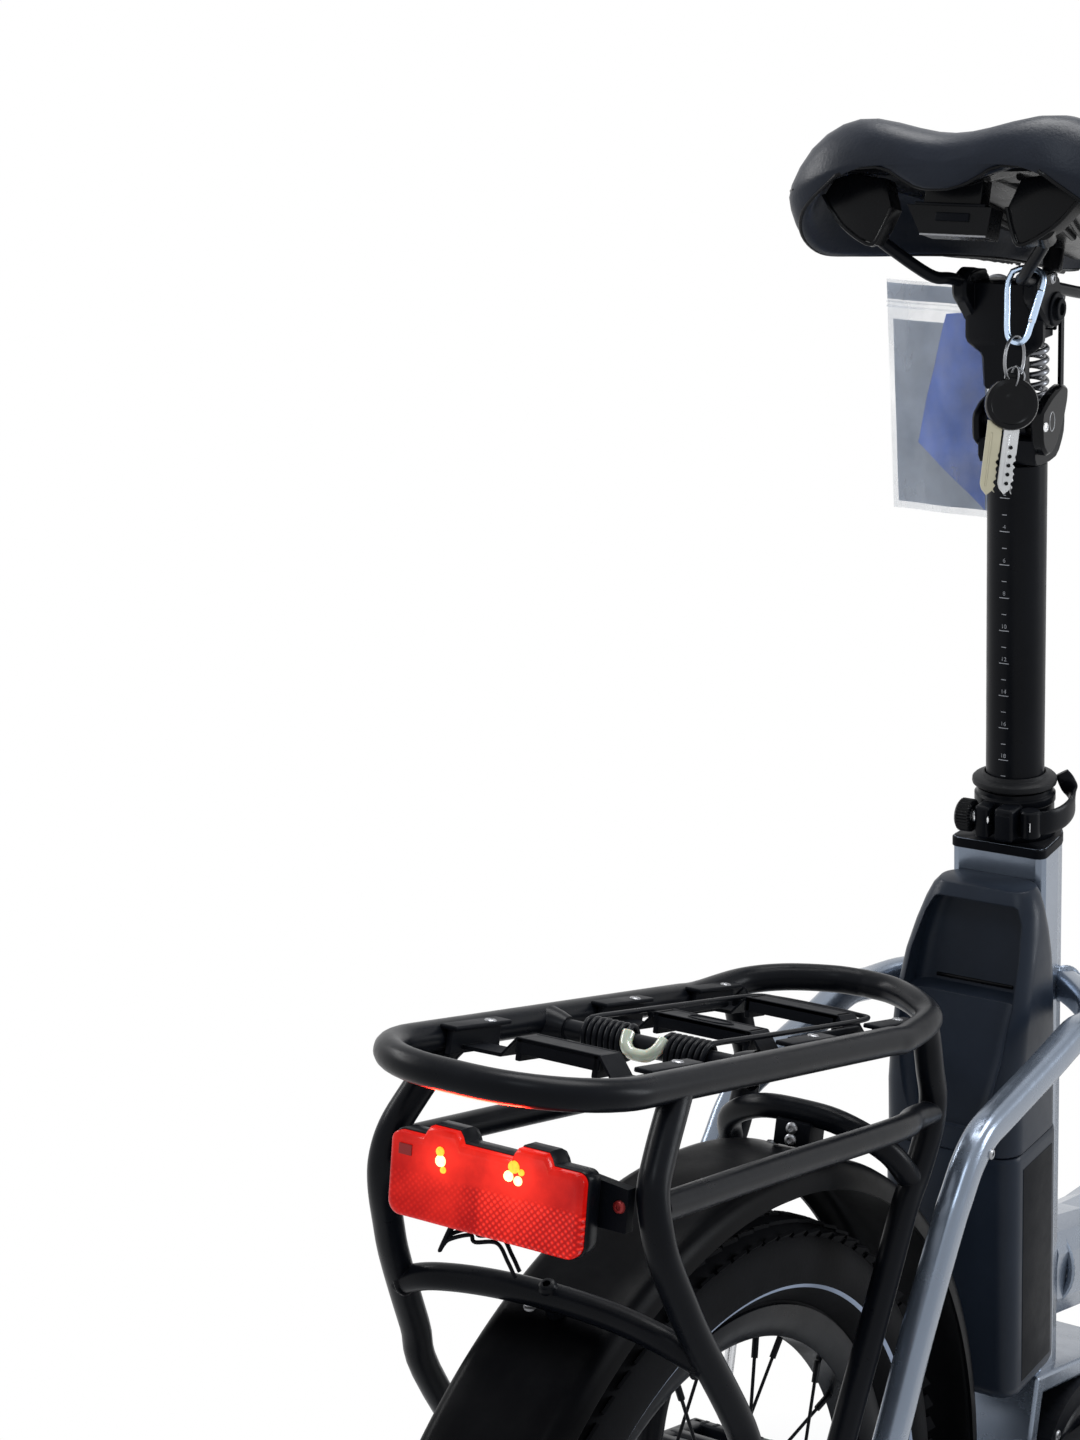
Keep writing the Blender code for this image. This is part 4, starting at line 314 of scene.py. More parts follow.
def lens_material():
    """Red reflector plastic, faceted in its lower half and lit by the two lamps behind it; the
    facets also carry painted glints in the glow.
    """
    made = Nodes("red_lens")
    y = made.axis(1)
    up = made.math("SUBTRACT", made.axis(2), LENS_Z)
    one = made.math("PINGPONG", made.math("MULTIPLY", made.math("ADD", y, up), 300.0), 0.5)
    two = made.math("PINGPONG", made.math("MULTIPLY", made.math("SUBTRACT", y, up), 300.0), 0.5)
    prism = made.math("MULTIPLY", made.math("MULTIPLY", one, two), 4.0)
    low = made.math("MULTIPLY", made.span(up, 1.0, 0.0, 0.0010, 0.0035),
                    made.span(y, 1.0, 0.25, -0.002, 0.014))
    prism = made.math("MULTIPLY", prism, low)
    glow = None
    for lamp_y, lamp_up, width in ((0.0240, 0.0110, 0.011), (-0.0155, 0.0125, 0.015)):
        across = made.math("POWER", made.math("ABSOLUTE", made.math("SUBTRACT", y, lamp_y)), 2.0)
        above = made.math("POWER", made.math("ABSOLUTE", made.math("SUBTRACT", up, lamp_up)), 2.0)
        near = made.math("DIVIDE", made.math("ADD", across, above), width * width)
        near = made.math("DIVIDE", 1.0, made.math("ADD", near, 1.0))
        glow = near if glow is None else made.math("ADD", glow, near, clamp=True)
    shade = made.span(made.noise(70, 4.0, 0.6), -0.12, 0.12)
    rib = made.math("MULTIPLY", made.span(y, 0.0, 0.30, 0.0015, 0.0040),
                    made.span(y, 1.0, 0.0, 0.0120, 0.0180))
    # the facet pattern adds painted glints to the glow, besides the lamps' own light
    heat = made.math("ADD", made.math("ADD", made.math("MULTIPLY", glow, 0.8),
                                      made.math("MULTIPLY", prism, 0.80)),
                     made.math("SUBTRACT", shade, made.math("MULTIPLY", low, 0.12)))
    heat = made.math("SUBTRACT", heat, made.math("MULTIPLY", rib, low))
    tint = made.mix(made.span(heat, 0.0, 1.0, 0.0, 0.8), (0.40, 0.0015, 0.0015),
                    (1.0, 0.035, 0.018))
    made.shader.inputs["Base Color"].default_value = (0.30, 0.002, 0.002, 1.0)
    made.link(tint, made.shader.inputs["Emission Color"])
    made.link(made.span(heat, 0.55, 1.15, 0.0, 0.9), made.shader.inputs["Emission Strength"])
    made.shader.inputs["Roughness"].default_value = 0.14
    made.shader.inputs["Coat Weight"].default_value = 0.04
    made.shader.inputs["Specular IOR Level"].default_value = 0.12
    made.bump(prism, 0.6, 0.0008, 0.0012)
    return made.material


def glow_material(name, colour, strength):
    made = Nodes(name)
    heat = made.mix(made.span(made.noise(500, 2.0), 0, 1), colour, tuple(0.7 * c for c in colour))
    made.link(heat, made.shader.inputs["Base Color"])
    made.link(heat, made.shader.inputs["Emission Color"])
    made.shader.inputs["Emission Strength"].default_value = strength
    return made.material


def sleeve_material():
    """Clear soft plastic, creased and a little milky."""
    made = Nodes("clear_sleeve")
    made.shader.inputs["Base Color"].default_value = (0.90, 0.93, 0.98, 1.0)
    made.shader.inputs["IOR"].default_value = 1.45
    crease = made.noise(38, 5.0, 0.6, (1.0, 1.0, 0.35))
    made.link(made.span(crease, 0.06, 0.22), made.shader.inputs["Roughness"])
    made.link(made.span(crease, 0.08, 0.34), made.shader.inputs["Alpha"])
    made.bump(crease, 0.5, 0.0020)
    return made.material


def brushed(name, colour, rough):
    """Turned steel, with fine rings round the axle."""
    return finish(name, colour, rough, 1.0, vary=0.10, grain=(700, 0.12, 0.0001),
                  stretch=(1.0, 8.0, 1.0), spread=0.08)


def tyre_material():
    """Tyre rubber with a pale reflecting band on the side walls, above the rim."""
    made = Nodes("tyre_rubber")
    x = made.axis(0)
    across = made.math("ABSOLUTE", made.axis(1))
    z = made.math("SUBTRACT", made.axis(2), AXLE_Z)
    ahead = made.math("SUBTRACT", x, FRONT_X)
    behind = made.math("SUBTRACT", x, REAR_X)
    near = made.math("MINIMUM", made.math("ABSOLUTE", ahead), made.math("ABSOLUTE", behind))
    radius = made.math("SQRT", made.math("ADD", made.math("MULTIPLY", near, near),
                                         made.math("MULTIPLY", z, z)))
    band = made.math("MULTIPLY", made.math("GREATER_THAN", radius, 0.2207),
                     made.math("LESS_THAN", radius, 0.2228))
    band = made.math("MULTIPLY", band, made.math("GREATER_THAN", across, 0.015))
    worn = made.mix(made.span(made.noise(30, 5.0, 0.7), 0, 1), (0.0022, 0.0024, 0.0032),
                    (0.0050, 0.0053, 0.0066))
    tint = made.mix(band, worn, (0.34, 0.40, 0.52))
    made.link(tint, made.shader.inputs["Base Color"])
    made.link(made.span(band, 0.66, 0.35, 0, 1), made.shader.inputs["Roughness"])
    made.shader.inputs["Specular IOR Level"].default_value = 0.05
    made.bump(made.noise(450, 3.0, 0.6), 0.25, 0.0005)
    return made.material


BLACK = (0.0030, 0.0038, 0.0060)
paint = finish("frame_paint", (0.170, 0.205, 0.262), 0.25, 0.72, vary=0.10,
               grain=(2600, 0.03, 0.0001), spread=0.05, blotch=6, rounding=0.0010, Coat_Weight=0.3,
               Coat_Roughness=0.12)
satin = finish("satin_black", BLACK, 0.31, 0.0, grain=(1500, 0.10, 0.0002), dust=0.015,
               Specular_IOR_Level=0.08)
matt = finish("matt_black", BLACK, 0.46, 0.0, grain=(1100, 0.2, 0.0003), dust=0.02,
              Specular_IOR_Level=0.05)
gloss = finish("gloss_black", (0.0035, 0.0040, 0.0055), 0.20, 0.0, grain=(1200, 0.04, 0.0001),
               dust=0.02, Specular_IOR_Level=0.13)
rubber = finish("rubber_black", (0.0045, 0.0050, 0.0065), 0.60, 0.0, grain=(800, 0.3, 0.0004),
                dust=0.02, Specular_IOR_Level=0.08)
wing = finish("guard_black", (0.0012, 0.0014, 0.0022), 0.34, 0.0, grain=(1100, 0.10, 0.0002),
              dust=0.005, Specular_IOR_Level=0.03)
wound = finish("spring_wire", (0.16, 0.165, 0.18), 0.26, 0.9, grain=(900, 0.1, 0.0001))
steel = brushed("bright_steel", (0.62, 0.63, 0.65), 0.26)
dull_steel = brushed("dull_steel", (0.26, 0.265, 0.28), 0.36)
chrome = finish("chrome", (0.80, 0.81, 0.83), 0.14, 1.0, vary=0.05, grain=(400, 0.03, 0.0001),
                spread=0.04)
blue_alloy = finish("blue_alloy", (0.52, 0.66, 0.86), 0.26, 1.0, vary=0.08,
                    grain=(1500, 0.05, 0.0001))
cover_skin = finish("dark_cover", (0.0140, 0.0200, 0.0320), 0.34, 0.0, grain=(1400, 0.2, 0.0003),
                    dust=0.015, rounding=0.0012, Specular_IOR_Level=0.13)
vinyl = finish("saddle_skin", (0.0070, 0.0105, 0.0190), 0.38, 0.0, vary=0.2,
               grain=(520, 0.30, 0.0005), spread=0.07, dust=0.01, Specular_IOR_Level=0.17)
shell_black = finish("shell_black", (0.0030, 0.0034, 0.0046), 0.28, 0.0, grain=(900, 0.12, 0.0003),
                     dust=0.02, Specular_IOR_Level=0.12)
paper = finish("paper", (0.38, 0.43, 0.52), 0.75, 0.0, vary=0.30, blotch=22,
               grain=(300, 0.1, 0.0002), rounding=0)
blue_paper = finish("blue_paper", (0.10, 0.20, 0.64), 0.60, 0.0, vary=0.30,
                    grain=(300, 0.1, 0.0002), blotch=30, rounding=0)
ink = finish("white_ink", (0.42, 0.43, 0.46), 0.55, 0.0, vary=0.2, grain=(900, 0.1, 0.0001),
             rounding=0)
brass = finish("key_brass", (0.52, 0.49, 0.36), 0.34, 0.55, vary=0.2, grain=(900, 0.15, 0.0002))
nickel = finish("key_nickel", (0.66, 0.67, 0.68), 0.30, 0.55, vary=0.2, grain=(900, 0.15, 0.0002))
hose = finish("clear_hose", (0.50, 0.48, 0.38), 0.16, 0.0, vary=0.12, grain=(300, 0.1, 0.0002),
              blotch=60, Coat_Weight=1.0, Coat_Roughness=0.08, Subsurface_Weight=0.3)
screen = finish("screen_glass", (0.004, 0.005, 0.007), 0.06, 0.0, grain=(200, 0.02, 0.0001),
                Coat_Weight=1.0)
# dark red metal whose colour is a painted red reflection of the tail lamp, for the housing bolt and
# the small window on the lens
red_glint_bolt = finish("painted_red_glint", (0.26, 0.012, 0.012), 0.35, 0.4, grain=(900, 0.1, 0.0001))
red_lens = lens_material()
tyre_rubber = tyre_material()
clear = sleeve_material()
lamp_glow = glow_material("lamp_glow", (1.0, 0.72, 0.28), 3.2)
lamp_rim = glow_material("lamp_rim", (1.0, 0.42, 0.03), 1.6)
seal_rubber = finish("seal_rubber", (0.010, 0.0105, 0.012), 0.50, 0.0, grain=(700, 0.2, 0.0003),
                     Specular_IOR_Level=0.12)
front_glass = finish("front_glass", (0.60, 0.64, 0.68), 0.08, 0.2, grain=(260, 0.5, 0.0010),
                     Coat_Weight=1.0)


# Pieces
class Piece:
    """One mesh, gathered from tubes, turned forms, lofts and blocks, each with its material."""

    def __init__(self, name, body, *materials):
        self.name = name
        self.body = body
        self.materials = materials
        self.bm = bmesh.new()

    def rows(self, rings, mat=0, closed=False, caps=True, wrap=True):
        made = [[self.bm.verts.new(p) for p in ring] for ring in rings]
        pairs = list(zip(made, made[1:]))
        if closed:
            pairs.append((made[-1], made[0]))
        for near, far in pairs:
            count = len(near)
            for i in range(count if wrap else count - 1):
                j = (i + 1) % count
                face = self.bm.faces.new((near[i], near[j], far[j], far[i]))
                face.material_index = mat
        if caps and not closed and wrap:
            for ring in (list(reversed(made[0])), made[-1]):
                self.bm.faces.new(ring).material_index = mat
        return self

    def tube(self, points, radius, mat=0, closed=False, sides=18, flat=1.0, caps=True):
        """A round bar along points. radius is a number or a rule of the share along it."""
        points = [Vector(p) for p in points]
        count = len(points)
        tangents = []
        for i in range(count):
            if closed:
                step = points[(i + 1) % count] - points[i - 1]
            else:
                step = points[min(i + 1, count - 1)] - points[max(i - 1, 0)]
            tangents.append(step.normalized())
        normal = tangents[0].orthogonal().normalized()
        normals = []
        for tangent in tangents:
            normal = (normal - normal.dot(tangent) * tangent).normalized()
            normals.append(normal.copy())
        twist = 0.0
        if closed:
            last = (normal - normal.dot(tangents[0]) * tangents[0]).normalized()
            cross = tangents[0].cross(normals[0])
            twist = math.atan2(last.dot(cross), last.dot(normals[0]))
        rings = []
        for i, (place, tangent, normal) in enumerate(zip(points, tangents, normals)):
            other = tangent.cross(normal)
            r = radius(i / (count - 1)) if callable(radius) else radius
            turn = -twist * i / count
            rings.append([place + r * (math.cos(a + turn) * normal + flat * math.sin(a + turn)
                                       * other) for a in circle(sides)])
        return self.rows(rings, mat, closed, caps)

    def rod(self, start, end, radius, mat=0, sides=24, edge=0.0006):
        """A straight bar with softened ends."""
        start, end = Vector(start), Vector(end)
        axis = (end - start).normalized()
        edge = min(edge, 0.3 * radius, 0.3 * (end - start).length)
        return self.lathe([(0, 0), (radius - edge, 0), (radius, edge),
                           (radius, (end - start).length - edge),
                           (radius - edge, (end - start).length), (0, (end - start).length)],
                          placed(start, axis, axis.orthogonal()), mat, sides)

    def lathe(self, profile, matrix, mat=0, steps=48, closed=False, wave=None):
        """A profile of (radius, height) spun round local +Z. wave varies a radius by its angle."""
        made = []
        for angle in circle(steps):
            column = []
            for r, h in profile:
                if wave is not None:
                    r = wave(r, h, angle)
                place = matrix @ Vector((r * math.cos(angle), r * math.sin(angle), h))
                column.append(self.bm.verts.new(place))
            made.append(column)
        last = len(profile) if closed else len(profile) - 1
        for k in range(steps):
            near, far = made[k], made[(k + 1) % steps]
            for i in range(last):
                j = (i + 1) % len(profile)
                corners = [near[i], far[i], far[j], near[j]]
                self.bm.faces.new(corners).material_index = mat
        bmesh.ops.remove_doubles(self.bm, verts=[v for column in made for v in column], dist=1e-7)
        return self

    def block(self, size, matrix, mat=0, bevel=0.0008, segments=3):
        made = bmesh.ops.create_cube(self.bm, size=1.0)["verts"]
        bmesh.ops.scale(self.bm, vec=size, verts=made)
        faces = {f for v in made for f in v.link_faces}
        if bevel:
            edges = list({e for v in made for e in v.link_edges})
            result = bmesh.ops.bevel(self.bm, geom=edges, offset=min(bevel, 0.45 * min(size)),
                                     segments=segments, profile=0.5, affect="EDGES")
            made = list({v for f in result["faces"] for v in f.verts})
            faces = {f for v in made for f in v.link_faces}
        for face in faces:
            face.material_index = mat
        bmesh.ops.transform(self.bm, matrix=matrix, verts=made)
        return self

    def plate(self, outline, matrix, thickness, mat=0, bevel=0.0006):
        """A flat form from a 2D outline, with eased edges."""
        ease = bevel / thickness
        levels = ((-0.5, bevel), (-0.5 + ease, 0.0), (0.5 - ease, 0.0), (0.5, bevel))
        return self.rows([[matrix @ Vector((p.x, p.y, z * thickness))
                           for p in shrunk(outline, inset)] for z, inset in levels], mat)

    def bolt(self, place, axis, radius=0.0045, height=0.003, mat=0, socket=True):
        """A domed screw head with a six-sided socket."""
        matrix = placed(Vector(place), Vector(axis), Vector(axis).orthogonal())
        profile = [(radius, -0.0005), (radius, 0.4 * height), (0.82 * radius, 0.85 * height),
                   (0.52 * radius, height)]
        if socket:
            profile += [(0.46 * radius, height), (0.44 * radius, 0.25 * height), (0, 0.2 * height)]
        else:
            profile += [(0, 1.02 * height)]

        def six(r, h, angle):
            return r * (0.92 + 0.08 * math.cos(6 * angle)) if 0 < r < 0.5 * radius else r

        return self.lathe(profile, matrix, mat, 24, wave=six if socket else None)

    def words(self, text, size, matrix, mat=0, depth=0.0001):
        """Plain figures as a thin print on the surface."""
        data = bpy.data.curves.new("figures", "FONT")
        data.body = text
        data.size = size
        data.align_x = "CENTER"
        data.align_y = "CENTER"
        data.extrude = depth
        maker = bpy.data.objects.new("figures", data)
        bpy.context.scene.collection.objects.link(maker)
        bpy.context.view_layer.update()
        mesh = bpy.data.meshes.new_from_object(
            maker.evaluated_get(bpy.context.evaluated_depsgraph_get()))
        mesh.transform(matrix)
        before = len(self.bm.faces)
        self.bm.from_mesh(mesh)
        self.bm.faces.ensure_lookup_table()
        for face in self.bm.faces[before:]:
            face.material_index = mat
        bpy.data.objects.remove(maker, do_unlink=True)
        bpy.data.curves.remove(data)
        bpy.data.meshes.remove(mesh)
        return self

    def done(self, *nodes, subdivide=0, angle=38, slot=None):
        """Makes the object, lets it ride on its body and stand for its CAD nodes."""
        bmesh.ops.recalc_face_normals(self.bm, faces=self.bm.faces)
        mesh = bpy.data.meshes.new(self.name)
        self.bm.to_mesh(mesh)
        self.bm.free()
        for material in self.materials:
            mesh.materials.append(material)
        obj = bpy.data.objects.new(self.name, mesh)
        bpy.context.scene.collection.objects.link(obj)
        mesh.shade_smooth()
        if subdivide:
            modifier = obj.modifiers.new("subdivide", "SUBSURF")
            modifier.levels = subdivide
            modifier.render_levels = subdivide
        else:
            mesh.set_sharp_from_angle(angle=math.radians(angle))
        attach(obj, self.body)
        if nodes:
            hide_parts(*nodes)
        return obj


def dress(node, *materials):
    """A CAD node that stays, with its own finish."""
    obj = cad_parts[node]
    obj.data.materials.clear()
    for material in materials:
        obj.data.materials.append(material)
    obj.data.shade_smooth()
    obj.data.set_sharp_from_angle(angle=math.radians(32))


def helix(start, end, radius, turns, per_turn, side):
    axis = (end - start).normalized()
    side = (side - side.dot(axis) * axis).normalized()
    other = axis.cross(side)
    return [start + (end - start) * (i / (turns * per_turn))
            + radius * (side * math.cos(2 * math.pi * i / per_turn)
                        + other * math.sin(2 * math.pi * i / per_turn))
            for i in range(turns * per_turn + 1)]


def weld_bead(piece, centre, axis, radius, mat=0, size=0.0021, flat=1.0, ripples=34):
    """A ring of weld ripples where one tube meets another."""
    matrix = placed(centre, axis, axis.orthogonal())
    points = [matrix @ Vector((radius * math.cos(a), flat * radius * math.sin(a), 0))
              for a in circle(ripples * 2)]
    return piece.tube(points, lambda t: size * (1.0 + 0.16 * math.cos(2 * math.pi * ripples * t)),
                      mat, closed=True, sides=8)


# Saddle
SADDLE_SECTIONS = (
    # x, half width, crest, dip, side, rim, hollow at the sides, hollow in the middle
    (-0.4230, 0.0500, 1.0830, 1.0780, 1.0790, 1.0774, 1.0775, 1.0655),
    (-0.4190, 0.0740, 1.0965, 1.0890, 1.0720, 1.0690, 1.0775, 1.0650),
    (-0.4080, 0.0950, 1.1070, 1.0960, 1.0680, 1.0545, 1.0800, 1.0720),
    (-0.3900, 0.1050, 1.1100, 1.0980, 1.0690, 1.0420, 1.0810, 1.0780),
    (-0.3650, 0.1055, 1.1090, 1.0970, 1.0700, 1.0355, 1.0810, 1.0810),
    (-0.3400, 0.0970, 1.1055, 1.0955, 1.0710, 1.0385, 1.0800, 1.0800),
    (-0.3150, 0.0800, 1.1015, 1.0930, 1.0710, 1.0430, 1.0780, 1.0780),
    (-0.2850, 0.0590, 1.0975, 1.0910, 1.0710, 1.0480, 1.0740, 1.0740),
    (-0.2500, 0.0420, 1.0945, 1.0890, 1.0710, 1.0520, 1.0700, 1.0700),
    (-0.2150, 0.0340, 1.0930, 1.0890, 1.0700, 1.0540, 1.0680, 1.0680),
    (-0.1850, 0.0300, 1.0910, 1.0885, 1.0690, 1.0550, 1.0660, 1.0660),
    (-0.1660, 0.0230, 1.0860, 1.0845, 1.0690, 1.0580, 1.0660, 1.0660),
    (-0.1580, 0.0120, 1.0780, 1.0775, 1.0700, 1.0640, 1.0675, 1.0675),
)
RAIL_POINTS = (
    (-0.3930, 0.0530, 1.0500), (-0.3800, 0.0490, 1.0430), (-0.3560, 0.0290, 1.0280),
    (-0.3400, 0.0222, 1.0280), (-0.2950, 0.0220, 1.0300), (-0.2400, 0.0220, 1.0345),
    (-0.2220, 0.0180, 1.0460), (-0.2140, 0.0160, 1.0590),
)


def saddle_ring(x, half, crest, dip, side, rim, hollow, middle):
    right = [
        (0.00, dip), (0.22, dip + 0.30 * (crest - dip)), (0.50, crest), (0.70, crest - 0.0030),
        (0.89, crest - 0.40 * (crest - side)), (1.00, side), (0.975, (side + rim) / 2 + 0.0010),
        (0.90, rim + 0.0004), (0.84, rim + 0.0010), (0.80, (rim + hollow) / 2), (0.72, hollow),
        (0.45, hollow), (0.20, middle), (0.0, middle),
    ]
    ring = [Vector((x, half * y, z)) for y, z in right]
    ring += [Vector((x, -half * y, z)) for y, z in reversed(right[1:-1])]
    return [lean(point) for point in ring]


def saddle():
    cushion = Piece("saddle_cushion_skin", "saddle", vinyl)
    columns = list(zip(*[saddle_ring(*section) for section in SADDLE_SECTIONS]))
    fine = [smooth(column, 3) for column in columns]
    cushion.rows(list(zip(*fine)))
    skin = cushion.done("saddle_cushion", subdivide=1, slot="saddle_skin")
    # the rolled edge of the cover and a seam along its flanks, laid on the finished skin
    bpy.context.view_layer.update()
    surface = BVHTree.FromObject(skin, bpy.context.evaluated_depsgraph_get())
    edge = Piece("saddle_seams", "saddle", shell_black)
    flank = SADDLE_SECTIONS[2:-1]
    _, half, _, _, _, rim, hollow, middle = SADDLE_SECTIONS[1]
    rear = [Vector((-0.4200, half * y, z))
            for y, z in ((0.86, rim + 0.001), (0.80, (rim + hollow) / 2), (0.72, hollow),
                         (0.45, hollow), (0.20, middle), (0.0, middle))]
    side = [Vector((x, 0.90 * half, rim + 0.0004)) for x, half, _, _, _, rim, _, _ in flank]
    half_line = smooth(list(reversed(rear)) + side, 5)
    line = [flip(p, -1) for p in reversed(half_line)] + half_line
    edge.tube([surface.find_nearest(lean(p))[0] for p in line], 0.0011, sides=8)
    for side in (-1, 1):
        line = smooth([lean(Vector((x, side * 0.985 * half, edge_z - 0.001)))
                       for x, half, _, _, edge_z, _, _, _ in flank], 5)
        edge.tube([surface.find_nearest(p)[0] for p in line], 0.0006, sides=6)
    edge.done()
    # the moulded shell in the hollow, with its ribs, both rails and the leaves at the rear corners
    shell = Piece("saddle_shell", "saddle", shell_black, dull_steel, satin, matt)
    rings = []
    for x, half, _, _, _, _, hollow, middle in SADDLE_SECTIONS[2:-2]:
        wide = 0.72 * half
        outline = [(1.0, hollow + 0.0010), (1.0, hollow - 0.0020), (0.8, hollow - 0.0036),
                   (0.45, hollow - 0.0040), (0.15, middle - 0.0036)]
        outline += [(-y, z) for y, z in reversed(outline)]
        rings.append([lean(Vector((x, wide * y, z))) for y, z in outline])
    shell.rows(rings)
    for y in (-0.034, -0.020, 0.020, 0.034):
        path = [lean(Vector((x, y * min(1.0, half / 0.09), hollow - 0.0045)))
                for x, half, _, _, _, _, hollow, _ in SADDLE_SECTIONS[3:-4]]
        shell.tube(smooth(path, 3), 0.0022, 0, sides=8)
    leaf = ((0.077, 1.065), (0.071, 1.057), (0.063, 1.048), (0.051, 1.040), (0.043, 1.038),
            (0.038, 1.047), (0.034, 1.058), (0.040, 1.074), (0.062, 1.077), (0.072, 1.074))
    for side in (-1, 1):
        rail = smooth([lean(flip(Vector(p), side)) for p in RAIL_POINTS], 6)
        shell.tube(rail, 0.0035, 2, sides=16)
        rear = [lean(Vector(p)) for p in ((-0.3985, side * 0.0545, 1.0480),
                                          (-0.3830, side * 0.0500, 1.0450))]
        shell.rod(rear[0], rear[1], 0.0068, 0, 20, 0.0015)
        nose = [lean(Vector(p)) for p in ((-0.2160, side * 0.0160, 1.0500),
                                          (-0.2160, side * 0.0160, 1.0680))]
        shell.rod(nose[0], nose[1], 0.0060, 0, 16, 0.0012)
        levels = ((-0.4025, 0.86), (-0.4015, 0.97), (-0.4000, 1.0), (-0.3890, 1.0))
        shell.rows([[lean(Vector((x, side * (0.055 + (y - 0.055) * k), 1.058 + (z - 1.058) * k)))
                     for y, z in leaf] for x, k in levels])
        rib = smooth([lean(Vector((-0.4020, side * y, z))) for y, z in leaf[:7]], 4)
        shell.tube(rib, 0.0011, 0, sides=8)
    block = ((0.022, 1.058), (-0.028, 1.058), (-0.027, 1.042), (0.012, 1.042))
    shell.rows([[Vector((x, y, z)) for y, z in block] for x in (-0.4080, -0.3920)])
    shell.block((0.0150, 0.0420, 0.0020), at(-0.4000, -0.0030, 1.0588), 2, 0.0006)
    shell.block((0.0016, 0.0200, 0.0046), at(-0.4084, -0.0060, 1.0520), 3, 0.0006)
    shell.block((0.0120, 0.0340, 0.0160), at(-0.3990, -0.0030, 1.0660), 0, 0.0010)
    shell.tube([(-0.4086, 0.012, 1.0422), (-0.4086, -0.027, 1.0422)], 0.0006, 1, sides=8)
    shell.done("saddle_base", angle=40, slot="black_plastic")


# Sprung head of the seat post
def slab(piece, outline, y0, y1, mat=0, bevel=0.0007):
    """A form with an (ahead, up) outline beside the seat axis, eased at its edges."""
    levels = ((y0, bevel), (y0 + bevel, 0), (y1 - bevel, 0), (y1, bevel))
    return piece.rows([[seat(p.y, -p.x, y) for p in shrunk(outline, inset)] for y, inset in levels],
                      mat)


def rounded(outline, steps=4):
    """A closed outline with its corners drawn as curves."""
    count = len(outline)
    points = [Vector(p) for p in outline]
    ring = []
    for i in range(count):
        a, b, c = points[i - 1], points[i], points[(i + 1) % count]
        start, end = b + (a - b) * 0.3, b + (c - b) * 0.3
        for step in range(steps + 1):
            t = step / steps
            ring.append((1 - t) * (1 - t) * start + 2 * t * (1 - t) * b + t * t * end)
    return ring


def pivot(piece, place, y0, y1, radius, mat=0):
    ahead, up = place
    return piece.rod(seat(up, -ahead, y0), seat(up, -ahead, y1), radius, mat, 32)


def raised(place):
    """The same pivot at the upper end of a link."""
    return (place[0], place[1] + LINK_LENGTH)


